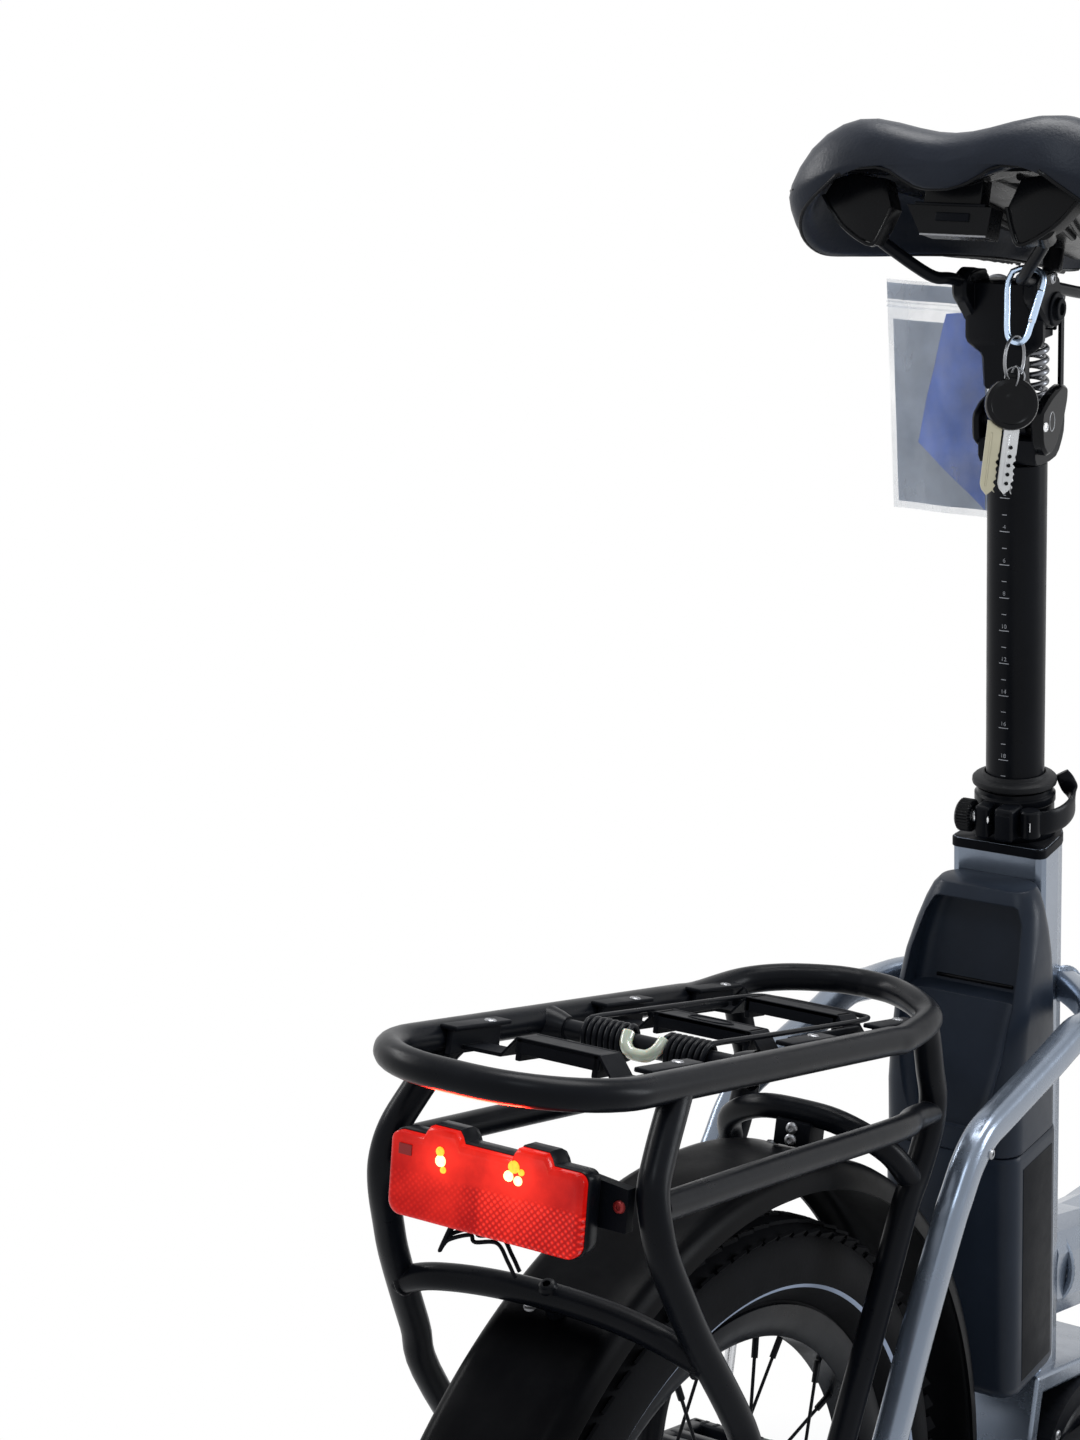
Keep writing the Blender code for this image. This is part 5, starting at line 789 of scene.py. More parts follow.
def sprung_head():
    low = HEAD_FOOT
    base = Piece("head_base", "seatpost", satin, dull_steel, chrome, gloss)
    slab(base, rounded([(-0.0160, low), (0.0160, low), (0.0265, low + 0.014), (0.0265, SPRING_FOOT),
                        (0.0118, SPRING_FOOT), (0.0118, low + 0.0165), (-0.0160, low + 0.0165)], 2),
         -0.0180, 0.0180)
    leaf = [(0.0160, low + 0.0430), (0.0089, low + 0.0455), (-0.0082, low + 0.0405),
            (-0.0200, low + 0.0335), (-0.0212, low + 0.0270), (-0.0195, low + 0.0140),
            (-0.0130, low + 0.0072), (-0.0060, low + 0.0075), (0.0003, low + 0.0116),
            (0.0113, low + 0.0253), (0.0158, low + 0.0370)]
    slab(base, rounded(leaf, 3), -0.0246, -0.0170, 3, 0.0016)
    cheek = [(-0.0080, low + 0.0075), (0.0045, low + 0.0125), (0.0142, low + 0.0243),
             (0.0158, low + 0.0345), (0.0105, low + 0.0430), (0.0010, low + 0.0380),
             (-0.0080, low + 0.0365), (-0.0185, low + 0.0290), (-0.0175, low + 0.0140)]
    slab(base, rounded(cheek, 5), 0.0170, 0.0212, 0, 0.0016)
    for y0, y1 in ((-0.0095, -0.0042), (0.0042, 0.0095)):
        slab(base, [(0.0200, low + 0.0120), (0.0400, low + 0.0170), (0.0400, 0.7377),
                    (0.0200, 0.7377)], y0, y1)
    slab(base, [(0.0200, low + 0.0120), (0.0400, low + 0.0170), (0.0400, low + 0.0185),
                (0.0200, low + 0.0185)], -0.0095, 0.0095, 0, 0.0003)
    pivot(base, REAR_PIVOT, -0.0243, 0.0212, 0.0040)
    oval = [seat(low + 0.0265 + 0.0056 * math.sin(a), 0.0072 - 0.0034 * math.cos(a), -0.0246)
            for a in circle(28)]
    base.tube(oval, 0.00030, 1, closed=True, sides=6)
    base.bolt(seat(low + 0.0250, 0.0165, -0.0244), -LEFT, 0.0028, 0.0014, 2)
    base.bolt(seat(REAR_PIVOT[1], 0.0080, 0.0210), LEFT, 0.0056, 0.0016, 3)
    pivot(base, FRONT_PIVOT, -0.0136, 0.0136, 0.0022, 1)
    base.rod(seat(SPRING_FOOT, SPRING_BACK), seat(SPRING_FOOT + 0.0016, SPRING_BACK), 0.0100, 1, 32)
    base.done("seatpost_lower_head")
    rear = Piece("head_rear_link", "rear_link", satin, dull_steel)
    waist = [(0.0, 0.0119), (0.012, 0.0112), (0.024, 0.0080), (0.042, 0.0080), (0.054, 0.0112),
             (0.066, 0.0119)]
    square = ((0.0020, -1), (0.0020, 1), (0.0140, 1), (0.0140, -1))
    rear.rows([[seat(REAR_PIVOT[1] + up, back, y * half) for back, y in square]
               for up, half in waist])
    for place in (REAR_PIVOT, raised(REAR_PIVOT)):
        pivot(rear, place, -0.0119, 0.0119, 0.0082)
    rear.done("seatpost_rear_link")
    front = Piece("head_front_link", "front_link", satin)
    for y0, y1 in ((-0.0132, -0.0112), (0.0112, 0.0132)):
        ends = (FRONT_PIVOT, raised(FRONT_PIVOT))
        (ahead, foot), (_, head) = ends
        slab(front, [(ahead - 0.0022, foot), (ahead + 0.0022, foot), (ahead + 0.0022, head),
                     (ahead - 0.0022, head)], y0, y1)
        for end in ends:
            pivot(front, end, y0, y1, 0.0040)
    front.done("seatpost_front_link")
    top = REAR_PIVOT[1] + LINK_LENGTH
    head = Piece("head_top", "saddle", satin, dull_steel, chrome, gloss, matt)
    slab(head, rounded([(0.0142, top - 0.0160), (0.0142, top + 0.0140), (-0.0190, top + 0.0155),
                        (-0.0190, top + 0.0090), (0.0115, top + 0.0090), (0.0122, top - 0.0160)],
                       2), -0.0180, 0.0180)
    slab(head, [(0.0122, SPRING_TOP), (0.0275, SPRING_TOP), (0.0275, top + 0.0125),
                (0.0128, top + 0.0125)], -0.0095, 0.0095)
    for y0, y1 in ((-0.0070, -0.0042), (0.0042, 0.0070)):
        slab(head, [(0.0270, 0.7775), (0.0385, top - 0.0085), (0.0385, top + 0.0075),
                    (0.0270, top + 0.0115)], y0, y1)
    # the skirt that narrows down over the link
    widths = ((0.7510, 0.0110), (0.7525, 0.0125), (0.7690, 0.0136), (0.7715, 0.0150),
              (0.7740, 0.0190), (0.7770, 0.0228), (0.7800, 0.0240), (0.8000, 0.0240),
              (top + 0.0150, 0.0225))
    bulge = ((0.0168, -1.0), (0.0168, 1.0), (0.0200, 1.0), (0.0222, 0.85), (0.0228, 0.0),
             (0.0222, -0.85), (0.0200, -1.0))
    head.rows([[seat(up, back, y * half) for back, y in bulge] for up, half in widths])
    cheek = [(-0.0080, top - 0.0115), (-0.0010, top - 0.0085), (0.0012, top + 0.0100),
             (-0.0020, top + 0.0190), (-0.0240, top + 0.0245), (-0.0345, top + 0.0195),
             (-0.0350, top + 0.0090), (-0.0200, top - 0.0060)]
    for y0, y1 in ((-0.0262, -0.0172), (0.0172, 0.0262)):
        slab(head, rounded(cheek, 5), y0, y1, 0, 0.0018)
        slab(head, rounded([(-0.0290, top + 0.0150), (-0.0060, top + 0.0150),
                            (-0.0060, top + 0.0215), (-0.0290, top + 0.0215)], 2), y0 - 0.0006,
             y1 + 0.0006, 3, 0.0008)
    for side in (-1, 1):
        centre = seat(top, 0.0080, side * 0.0255)
        cap = placed(centre, side * LEFT, UP)
        head.lathe([(0.0098, 0.0), (0.0098, 0.0016), (0.0092, 0.0022), (0.0068, 0.0022),
                    (0.0064, 0.0030), (0.0064, 0.0044), (0.0058, 0.0049), (0.0036, 0.0049),
                    (0.0030, 0.0030), (0, 0.0028)], cap, 4, 40)
        head.bolt(seat(top + 0.0180, 0.0130, side * 0.0262), side * LEFT, 0.0032, 0.0014, 1)
    pivot(head, raised(FRONT_PIVOT), -0.0136, 0.0136, 0.0022, 1)
    head.done("seatpost_upper_head")
    coil = Piece("head_spring", "seatpost", wound)
    inset = 0.0019 + GAP
    start, end = seat(SPRING_FOOT + inset, SPRING_BACK), seat(SPRING_TOP - inset, SPRING_BACK)
    coil.tube(helix(start, end, 0.0084, 5, 28, SEAT_BACKWARD), 0.0020, sides=12)
    coil.done("seatpost_spring")


# Seat post with its printed scale, its seal and its clamp
MARK_18 = 0.5265
MARK_STEP = 0.0100
MARK_HALF = 0.00022
PRINT_LIFT = 0.0001
LINE_LIFT = 0.00015
FIGURE_LIFT = 0.00012
FIGURE_HIGH = 0.0036


def seat_post():
    post = Piece("seat_post", "seatpost", satin, matt)
    post.lathe([(POST_R - 0.0025, 0.3000), (POST_R, 0.3000), (POST_R, HEAD_FOOT - GAP),
                (0, HEAD_FOOT - GAP)], placed(seat(0), SEAT_UP, AHEAD), 0, 96)
    post.done("seatpost_tube")
    marks = Piece("seat_post_scale", "seatpost", ink)
    rear = placed(seat(0), SEAT_BACKWARD, -LEFT)
    for number in range(1, 21):
        s = MARK_18 + (18 - number) * MARK_STEP
        wide = 0.0062 if number % 2 == 0 else 0.0030
        r = POST_R + LINE_LIFT
        arc = [(step / 6 - 0.5) * wide / POST_R for step in range(7)]
        marks.rows([[seat(up, r * math.cos(a), -r * math.sin(a)) for a in arc]
                    for up in (s - MARK_HALF, s + MARK_HALF)], caps=False, wrap=False)
        if number % 2 == 0:
            place = rear.copy()
            place.translation = seat(s + 0.0026, POST_R + FIGURE_LIFT)
            marks.words(str(number), FIGURE_HIGH, place)
    # every printed corner is laid on the round post
    upright = placed(seat(0), SEAT_UP, AHEAD)
    for corner in marks.bm.verts:
        local = upright.inverted() @ corner.co
        share = (POST_R + PRINT_LIFT) / math.hypot(local.x, local.y)
        corner.co = upright @ Vector((local.x * share, local.y * share, local.z))
    marks.done()


def seat_clamp():
    low = SEAT_TOP + GAP
    middle = low + 0.0145
    ring = Piece("post_clamp", "frame", satin, chrome, gloss, matt)
    profile = [(POST_R + GAP, 0.0), (0.0238, 0.0), (0.0245, 0.0010), (0.0245, 0.0060),
               (0.0236, 0.0070), (0.0236, 0.0200), (0.0243, 0.0208), (0.0243, 0.0250),
               (0.0230, 0.0262), (0.0228, 0.0290), (POST_R + GAP, 0.0290)]
    ring.lathe(profile, seat_frame(low), 0, 80, closed=True)
    ring.block((0.0190, 0.0118, 0.0205), seat_frame(middle, 0.0255, -0.0079), 0, 0.0022)
    ring.block((0.0190, 0.0090, 0.0205), seat_frame(middle, 0.0255, 0.0064), 0, 0.0022)
    ring.block((0.0012, 0.0096, 0.0150), seat_frame(middle - 0.001, 0.0352, -0.0079), 3, 0.0005)
    # knurled nut at the left
    nut = placed(seat(middle + 0.002, 0.0300, 0.0125), LEFT, AHEAD)

    def knurl(r, h, angle):
        return r + (0.0004 * math.cos(30 * angle) if r > 0.009 else 0)

    ring.lathe([(0, 0), (0.0078, 0), (0.0096, 0.0012), (0.0096, 0.0085), (0.0082, 0.0098),
                (0, 0.0100)], nut, 2, 120, wave=knurl)
    ring.rod(seat(middle + 0.002, 0.0300, 0.0016), seat(middle + 0.002, 0.0300, 0.0125), 0.0045, 1)
    ring.bolt(seat(middle + 0.002, 0.0300, 0.0225), LEFT, 0.0048, 0.0008, 2)
    ring.done("seat_clamp")
    seal = Piece("post_seal", "frame", seal_rubber)

    def sag(r, h, angle):
        return r * (1.0 + 0.012 * math.cos(3 * angle + 0.6)) if r > 0.0235 else r

    seal.lathe([(POST_R + 0.0008, 0.0005), (0.0228, 0.0005), (0.0240, 0.0016), (0.0251, 0.0018),
                (0.0254, 0.0030), (0.0252, 0.0050), (0.0242, 0.0060), (0.0215, 0.0064),
                (0.0196, 0.0070), (0.0188, 0.0088), (POST_R + 0.0008, 0.0090)],
               seat_frame(low + 0.0290 + GAP), 0, 72, closed=True, wave=sag)
    seal.done("seatpost_seal")
    cap = Piece("seat_tube_cap", "frame", matt)
    bands = [tube_outline(s, grow) for s, grow in (
        (0.4704, 0.0002), (0.4706, 0.0006), (0.4758, 0.0006), (0.4766, -0.0004))]
    bore = []
    for point in bands[0]:
        out = point - seat(0.4704)
        bore.append(seat(0.4704) + (POST_R + 0.0012)
                    * (out - out.dot(SEAT_UP) * SEAT_UP).normalized())
    bands.append([p + 0.0062 * SEAT_UP for p in bore])
    bands.append(bore)
    bands.append(list(bands[0]))
    cap.rows(bands, caps=False)
    cap.done()
    lever = Piece("clamp_lever_arm", "clamp_lever", satin, chrome)
    pin = (0.0235, -0.0205)
    lever.rod(seat(middle - 0.0085, *pin), seat(middle + 0.0085, *pin), 0.0061, 0, 32, 0.0010)
    lever.block((0.0098, 0.0086, 0.0150), seat_frame(middle, 0.0235, -0.0205), 0, 0.0016)
    lever.block((0.0012, 0.0046, 0.0062), seat_frame(middle - 0.0005, 0.0286, -0.0208), 1, 0.0004)
    points = [(0.0, *pin), (0.0, 0.0160, -0.0290), (0.0005, 0.0030, -0.0328),
              (0.0030, -0.0090, -0.0330), (0.0085, -0.0150, -0.0305), (0.0150, -0.0162, -0.0268),
              (0.0212, -0.0150, -0.0238)]
    path = smooth([seat(middle + up, back, y) for up, back, y in points], 7)
    rings = []
    for i, place in enumerate(path):
        step = tangent(path, i)
        high = (SEAT_UP - SEAT_UP.dot(step) * step).normalized()
        flat = high.cross(step)
        t = i / (len(path) - 1)
        half, thick = 0.0074 - 0.0034 * t ** 3, 0.0016
        rings.append([place + half * boxy(math.cos(a), 0.6) * high + thick * boxy(math.sin(a), 0.6)
                      * flat for a in circle(20)])
    lever.rows(rings)
    lever.done("seat_clamp_lever")


def tube_outline(s, grow=0.0, corner=0.0050):
    """The seat tube's section, round in front and flat at the rear, grown outwards."""
    half, back = 0.0285 + grow, 0.0260 + grow
    ring = []
    for step in range(17):
        angle = -math.pi / 2 + math.pi * step / 16
        ring.append(seat(s, -half * math.cos(angle), half * math.sin(angle)))
    wide = half + 0.0015 - corner
    turns = [math.pi / 2 * step / 4 for step in range(5)]
    ring += [seat(s, back - corner + corner * math.sin(a), wide + corner * math.cos(a))
             for a in turns]
    ring += [seat(s, back, wide * (1 - step / 6)) for step in range(1, 12)]
    ring += [seat(s, back - corner + corner * math.sin(a), -wide - corner * math.cos(a))
             for a in reversed(turns)]
    return ring


# Battery behind the seat tube
def battery_section(s, front, rear, half, corner=0.012, steps=8):
    depth = rear - front
    corner = min(corner, depth / 2.2, half * 0.9)
    return box_ring(seat_frame(s, (front + rear) / 2), depth, 2 * half, corner, steps)


def battery():
    front = 0.0263
    pack = Piece("battery_case", "battery", cover_skin, matt)
    rings = ((0.1430, 0.0885, 0.0385), (0.1445, 0.0925, 0.0415), (0.1490, 0.0955, 0.0433),
             (0.1520, 0.0960, 0.0435), (0.3010, 0.0960, 0.0435), (0.3040, 0.0955, 0.0430),
             (0.3047, 0.0950, 0.0425))
    pack.rows([battery_section(s, front, rear, half) for s, rear, half in rings])
    for side in (-1, 1):
        pack.block((0.0420, 0.0008, 0.1420), seat_frame(0.2240, 0.0600, side * 0.0434), 1, 0.0003)
    pack.done("battery_pack", slot="black_plastic")
    cover = Piece("battery_lid", "battery", cover_skin, gloss)
    rings = ((0.3050, 0.0950, 0.0425), (0.3062, 0.0960, 0.0435), (0.3400, 0.0960, 0.0435),
             (0.3620, 0.0928, 0.0434), (0.3840, 0.0880, 0.0430), (0.4010, 0.0820, 0.0425),
             (0.4170, 0.0750, 0.0415), (0.4320, 0.0660, 0.0395), (0.4450, 0.0580, 0.0365),
             (0.4530, 0.0530, 0.0330), (0.4565, 0.0500, 0.0300), (0.4570, 0.0485, 0.0280))
    cover.rows([battery_section(s, front, rear, half, 0.015) for s, rear, half in rings])
    lid = cover.done("battery_cover", slot="dark_cover")
    pocket = Piece("pocket_cutter", "battery", cover_skin)
    cuts = ((0.3210, 0.0920, 0.0230), (0.3300, 0.0905, 0.0265), (0.3650, 0.0840, 0.0335),
            (0.3930, 0.0705, 0.0352), (0.3948, 0.0700, 0.0355), (0.3962, 0.0570, 0.0355),
            (0.4200, 0.0480, 0.0345), (0.4400, 0.0420, 0.0310), (0.4480, 0.0400, 0.0270),
            (0.4495, 0.0400, 0.0240))
    pocket.rows([battery_section(s, rear, 0.130, half, 0.009) for s, rear, half in cuts])
    cutter = pocket.done()
    boolean = lid.modifiers.new("pocket", "BOOLEAN")
    boolean.operation = "DIFFERENCE"
    boolean.object = cutter
    boolean.solver = "EXACT"
    bpy.context.view_layer.update()
    mesh = bpy.data.meshes.new_from_object(lid.evaluated_get(bpy.context.evaluated_depsgraph_get()))
    lid.modifiers.clear()
    lid.data = mesh
    mesh.shade_smooth()
    mesh.set_sharp_from_angle(angle=math.radians(30))
    bpy.data.objects.remove(cutter, do_unlink=True)
    mouth = Piece("battery_lid_slot", "battery", gloss)
    mouth.block((0.0020, 0.0500, 0.0022), seat_frame(0.3990, 0.0560), 0, 0.0006)
    mouth.done()


# Frame
def section_sweep(piece, path, depth, width, corner):
    """A tube of rounded section along a path that stays upright."""
    rings = []
    for i, place in enumerate(path):
        ahead = tangent(path, i)
        across = ahead.cross(LEFT).normalized()
        flat = across.cross(ahead).normalized()
        matrix = Matrix((across, flat, ahead)).transposed().to_4x4()
        matrix.translation = place
        rings.append(box_ring(matrix, depth, width, corner, 5))
    return piece.rows(rings)


STAY_POINTS = ((0.3275, 0.0290, 0.6225), (0.3095, 0.0470, 0.6190), (0.2895, 0.0630, 0.6145),
               (0.2665, 0.0715, 0.6085), (0.2385, 0.0740, 0.6050), (0.2045, 0.0740, 0.5910),
               (0.1507, 0.0740, 0.5700), (0.1235, 0.0740, 0.5590), (0.1085, 0.0740, 0.5450),
               (0.0990, 0.0740, 0.5280), (0.0910, 0.0740, 0.5119), (0.0693, 0.0740, 0.4568),
               (0.0508, 0.0740, 0.4000), (0.0218, 0.0740, 0.3200), (0.0100, 0.0740, 0.2850))
CHAIN_POINTS = ((-0.1402, 0.0260, 0.2870), (-0.1752, 0.0360, 0.2860), (-0.2200, 0.0510, 0.2820),
                (-0.2800, 0.0610, 0.2760), (-0.3700, 0.0680, 0.2670),
                (REAR_X + 0.012, 0.0715, 0.2590))


def frame_tubes():
    dress("seat_tube", paint)
    dress("main_tube", paint)
    for name, side in (("left", 1), ("right", -1)):
        stay = Piece(f"stay_{name}", "frame", paint, dull_steel)
        path = smooth([(REAR_X + x, side * y, z) for x, y, z in STAY_POINTS], 4)
        section_sweep(stay, path, 0.0188, 0.0158, 0.0055)
        joint = Vector((REAR_X + 0.3275, side * 0.0292, 0.6224))
        weld_bead(stay, joint, Vector((-0.018, side * 0.018, -0.0035)), 0.0098, 0, 0.0019)
        stay.bolt((REAR_X + 0.1200, side * 0.0819, 0.5500), side * LEFT, 0.0030, 0.0012, 1)
        stay.done(f"seatstay_{name}", slot="frame_paint")
        chain = Piece(f"lower_stay_{name}", "frame", paint, dull_steel)
        points = [Vector((x, side * y, z)) for x, y, z in CHAIN_POINTS]
        section_sweep(chain, smooth(points, 5), 0.0238, 0.0148, 0.0055)
        inner = 0.0677 + GAP
        plate = placed(Vector((REAR_X, side * inner, AXLE_Z)), side * LEFT, AHEAD)
        chain.lathe([(0.0078, 0), (0.0245, 0), (0.0250, 0.0006), (0.0250, 0.0074), (0.0245, 0.0080),
                     (0.0078, 0.0080)], plate, 0, 48, closed=True)
        chain.done(f"chainstay_{name}", slot="frame_paint")
    # weld beads on the seat tube and the head tube, and two rings round the head tube
    welds = Piece("frame_welds", "frame", paint, satin)
    start = seat(0.176, -0.0300)
    weld_bead(welds, start, Vector((1, 0, 0)), 0.0315, 0, 0.0026, 0.80, 44)
    weld_bead(welds, steer(0.4200, -0.0200), Vector((0.72, 0, 0.30)), 0.0260, 0, 0.0024, 0.80, 40)
    for h in (0.3485, 0.4910):
        welds.lathe([(0.0150, -0.004), (0.0250, -0.004), (0.0254, 0), (0.0250, 0.004),
                     (0.0150, 0.004)], steer_frame(h), 1, 48, closed=True)
    welds.done()


# Rack
def rack_z(x):
    """The deck rises a little towards its nose."""
    share = (x - RACK_REAR_X) / (RACK_FRONT_X - RACK_REAR_X)
    return RACK_REAR_Z + share * (RACK_FRONT_Z - RACK_REAR_Z)


def rack_path():
    half = [Vector((RACK_REAR_X, 0, RACK_REAR_Z))]
    for step in range(13):
        angle = math.pi / 2 * step / 12
        x = RACK_REAR_X + RACK_CORNER - RACK_CORNER * math.cos(angle)
        half.append(Vector((x, RACK_HALF - RACK_CORNER + RACK_CORNER * math.sin(angle), rack_z(x))))
    for x in (-0.66, -0.58, -0.51):
        half.append(Vector((x, RACK_HALF, rack_z(x))))
    front_x = RACK_FRONT_X
    nose = smooth([(front_x - 0.02, RACK_HALF, rack_z(front_x - 0.02)),
                   (front_x, RACK_HALF, RACK_FRONT_Z), (front_x + 0.038, 0.0575, 0.6235),
                   (front_x + 0.057, 0.0410, 0.6280), (front_x + 0.073, 0.0190, 0.6300),
                   (front_x + 0.077, 0.0, 0.6305)], 6)
    return half + nose


REAR_LEG = ((-0.2040, 0.0612, 0.6125), (-0.2120, 0.0640, 0.6040), (-0.2255, 0.0680, 0.5850),
            (-0.2336, 0.0712, 0.5700), (-0.2332, 0.0748, 0.5550), (-0.2276, 0.0773, 0.5400),
            (-0.2146, 0.0809, 0.5200), (-0.2000, 0.0845, 0.5000), (-0.1655, 0.0915, 0.4600),
            (-0.1332, 0.0950, 0.4200), (0.0080, 0.0930, 0.2900))
FRONT_LEG = ((0.0630, 0.0585, 0.6210), (0.0690, 0.0583, 0.6130), (0.0790, 0.0578, 0.5960),
             (0.0890, 0.0572, 0.5800), (0.0905, 0.0568, 0.5630), (0.0830, 0.0562, 0.5400),
             (0.0730, 0.0560, 0.5218), (0.0614, 0.0560, 0.4885), (0.0499, 0.0560, 0.4555),
             (0.0326, 0.0560, 0.4078), (0.0265, 0.0560, 0.3850), (0.0260, 0.0560, 0.3480))


def rear_guard_crown(degrees):
    return 0.2910 + 0.0090 * min(max((degrees - 95) / 55, 0.0), 1.0)


def around(degrees, radius, y=0.0, x=REAR_X):
    """A point about a wheel's axle, with degrees counted up from straight ahead."""
    angle = math.radians(degrees)
    return Vector((x + radius * math.cos(angle), y, AXLE_Z + radius * math.sin(angle)))


HINGE = Vector((-0.6180, 0, 0.6130))


def rack():
    deck = Piece("rack_deck_tubes", "frame", satin, matt, dull_steel)
    half = rack_path()
    loop = half + [flip(p, -1) for p in reversed(half[1:-1])]
    deck.tube(loop, RACK_TUBE_R, 0, closed=True, sides=28)
    inner = RACK_HALF - RACK_TUBE_R + 0.003
    for x, half_y in ((-0.6950, 0.0230), (-0.5590, 0.0280), (-0.4620, 0.0280)):
        z = rack_z(x)
        top = [(-inner, -0.0035), (-half_y - 0.0075, -0.0030), (-half_y, 0.0060), (half_y, 0.0060),
               (half_y + 0.0075, -0.0030), (inner, -0.0035)]
        under = [(y, up - 0.0018) for y, up in reversed(top)]
        strip = [Vector((0, y, up)) for y, up in top + under]
        deck.rows([[Vector((x + dx, p.y, z + p.z)) for p in strip]
                   for dx in (-0.0095, -0.0088, 0.0088, 0.0095)], 1)
        for edge in (-0.0086, 0.0086):
            deck.block((0.0018, 2 * half_y, 0.0078), at(x + edge, 0, z + 0.0024), 1, 0.0005)
        for side in (-1, 1):
            deck.block((0.0190, 0.0030, 0.0110), at(x, side * (half_y - 0.0020), z + 0.0005), 1,
                       0.0006)
            # the bracket at the rail: a flange on top and a web inside
            deck.block((0.0480, 0.0100, 0.0024), at(x + 0.002, side * 0.0535, z + 0.0058), 1,
                       0.0008)
            deck.block((0.0430, 0.0030, 0.0130), at(x + 0.002, side * (inner - 0.0045), z - 0.0010),
                       1, 0.0008)
            deck.bolt((x + 0.012, side * 0.0520, z + 0.0068), UP, 0.0030, 0.0010, 2)
    ring = [(0.0060 * math.cos(a), 0.0125 * math.sin(a)) for a in circle(40)]
    deck.tube([Vector((-0.5590 + x, y, rack_z(-0.559) + 0.0062)) for x, y in ring], 0.0005, 1,
              closed=True, sides=8)
    z = rack_z(-0.51)
    deck.block((0.0780, 0.0110, 0.0024), at(-0.5105, -0.0450, z - 0.0030), 1, 0.0008)
    deck.block((0.0780, 0.0020, 0.0080), at(-0.5105, -0.0400, z - 0.0004), 1, 0.0006)
    deck.rod((-0.5500, 0.0400, z), (-0.4700, 0.0400, z + 0.0010), 0.0022, 1, 16)
    deck.rod((HINGE.x, -inner, HINGE.z), (HINGE.x, inner, HINGE.z), 0.0053, 0, 28)
    for side in (-1, 1):
        turn = placed(Vector((HINGE.x, side * inner, HINGE.z)), -side * LEFT, AHEAD)
        deck.lathe([(0.0100, 0.0), (0.0085, 0.0060), (0.0066, 0.0110), (0, 0.0112)], turn, 0, 32)
    deck.done("rack_deck", slot="black_paint")

    rear = Piece("rack_rear_legs", "frame", satin, dull_steel)
    for side in (-1, 1):
        leg = smooth([(REAR_X + x, side * y, z) for x, y, z in REAR_LEG], 6)
        rear.tube(leg, RACK_TUBE_R, sides=26)
        rear.rod((REAR_X + 0.0090, side * 0.0823, 0.2960), (REAR_X + 0.0090, side * 0.0930, 0.2960),
                 0.0060)
        rear.bolt((REAR_X + 0.0090, side * 0.1006, 0.2960), side * LEFT, 0.0050, 0.0030, 1)
        weld_bead(rear, Vector((REAR_X - 0.1912, side * 0.0835, 0.4880)), Vector((0, side, -0.3)),
                  0.0070, 0, 0.0013)
    arch = smooth(mirrored([(REAR_X - 0.1908, 0.0860, 0.4870), (REAR_X - 0.1950, 0.0640, 0.4945),
                            (REAR_X - 0.1925, 0.0350, 0.4980), (REAR_X - 0.1910, 0.0, 0.4990)]), 6)
    rear.tube(arch, HOOP_TUBE_R, sides=24)
    middle = Vector((REAR_X - 0.1910, 0.0, 0.4990))
    degrees = math.degrees(math.atan2(middle.z - AXLE_Z, middle.x - REAR_X))
    rear.rod(middle, around(degrees, rear_guard_crown(degrees) + GAP), 0.0050)
    out = (middle - Vector((REAR_X, 0, AXLE_Z))).normalized()
    rear.bolt(middle + 0.0062 * out, out, 0.0046, 0.0030, 0)
    rear.done("rack_rear_hoop", slot="black_paint")

    front = Piece("rack_front_legs", "frame", satin, dull_steel, chrome, matt)
    for side in (-1, 1):
        leg = smooth([(REAR_X + x, side * y, z) for x, y, z in FRONT_LEG], 6)
        front.tube(leg, RACK_TUBE_R, sides=26)
        strut = smooth([(REAR_X - 0.2290, side * 0.0725, 0.5620),
                        (REAR_X - 0.1200, side * 0.0700, 0.5660),
                        (REAR_X + 0.0250, side * 0.0665, 0.5700),
                        (REAR_X + 0.0600, side * 0.0600, 0.5710),
                        (REAR_X + 0.0920, side * 0.0570, 0.5715)], 5)
        front.tube(strut, HOOP_TUBE_R, sides=24)
        front.rod((REAR_X + 0.0300, side * 0.0560, 0.3620),
                  (REAR_X + 0.0300, side * 0.0657, 0.3620), 0.0060)
    arch = smooth(mirrored([(REAR_X + 0.0800, 0.0562, 0.5330), (REAR_X + 0.0600, 0.0480, 0.5510),
                            (REAR_X + 0.0480, 0.0250, 0.5625), (REAR_X + 0.0470, 0.0, 0.5645)]), 6)
    front.tube(arch, HOOP_TUBE_R, sides=24)
    foot = around(80.3, 0.2930)
    height = 0.5600 - foot.z
    front.block((0.0190, 0.0210, height), at(REAR_X + 0.0490, 0, foot.z + height / 2), 3, 0.0012)
    for z in (0.25, 0.70):
        front.bolt((REAR_X + 0.0394, 0.0, foot.z + z * height), -AHEAD, 0.0034, 0.0014, 1)
    front.done("rack_front_hoop", slot="black_paint")


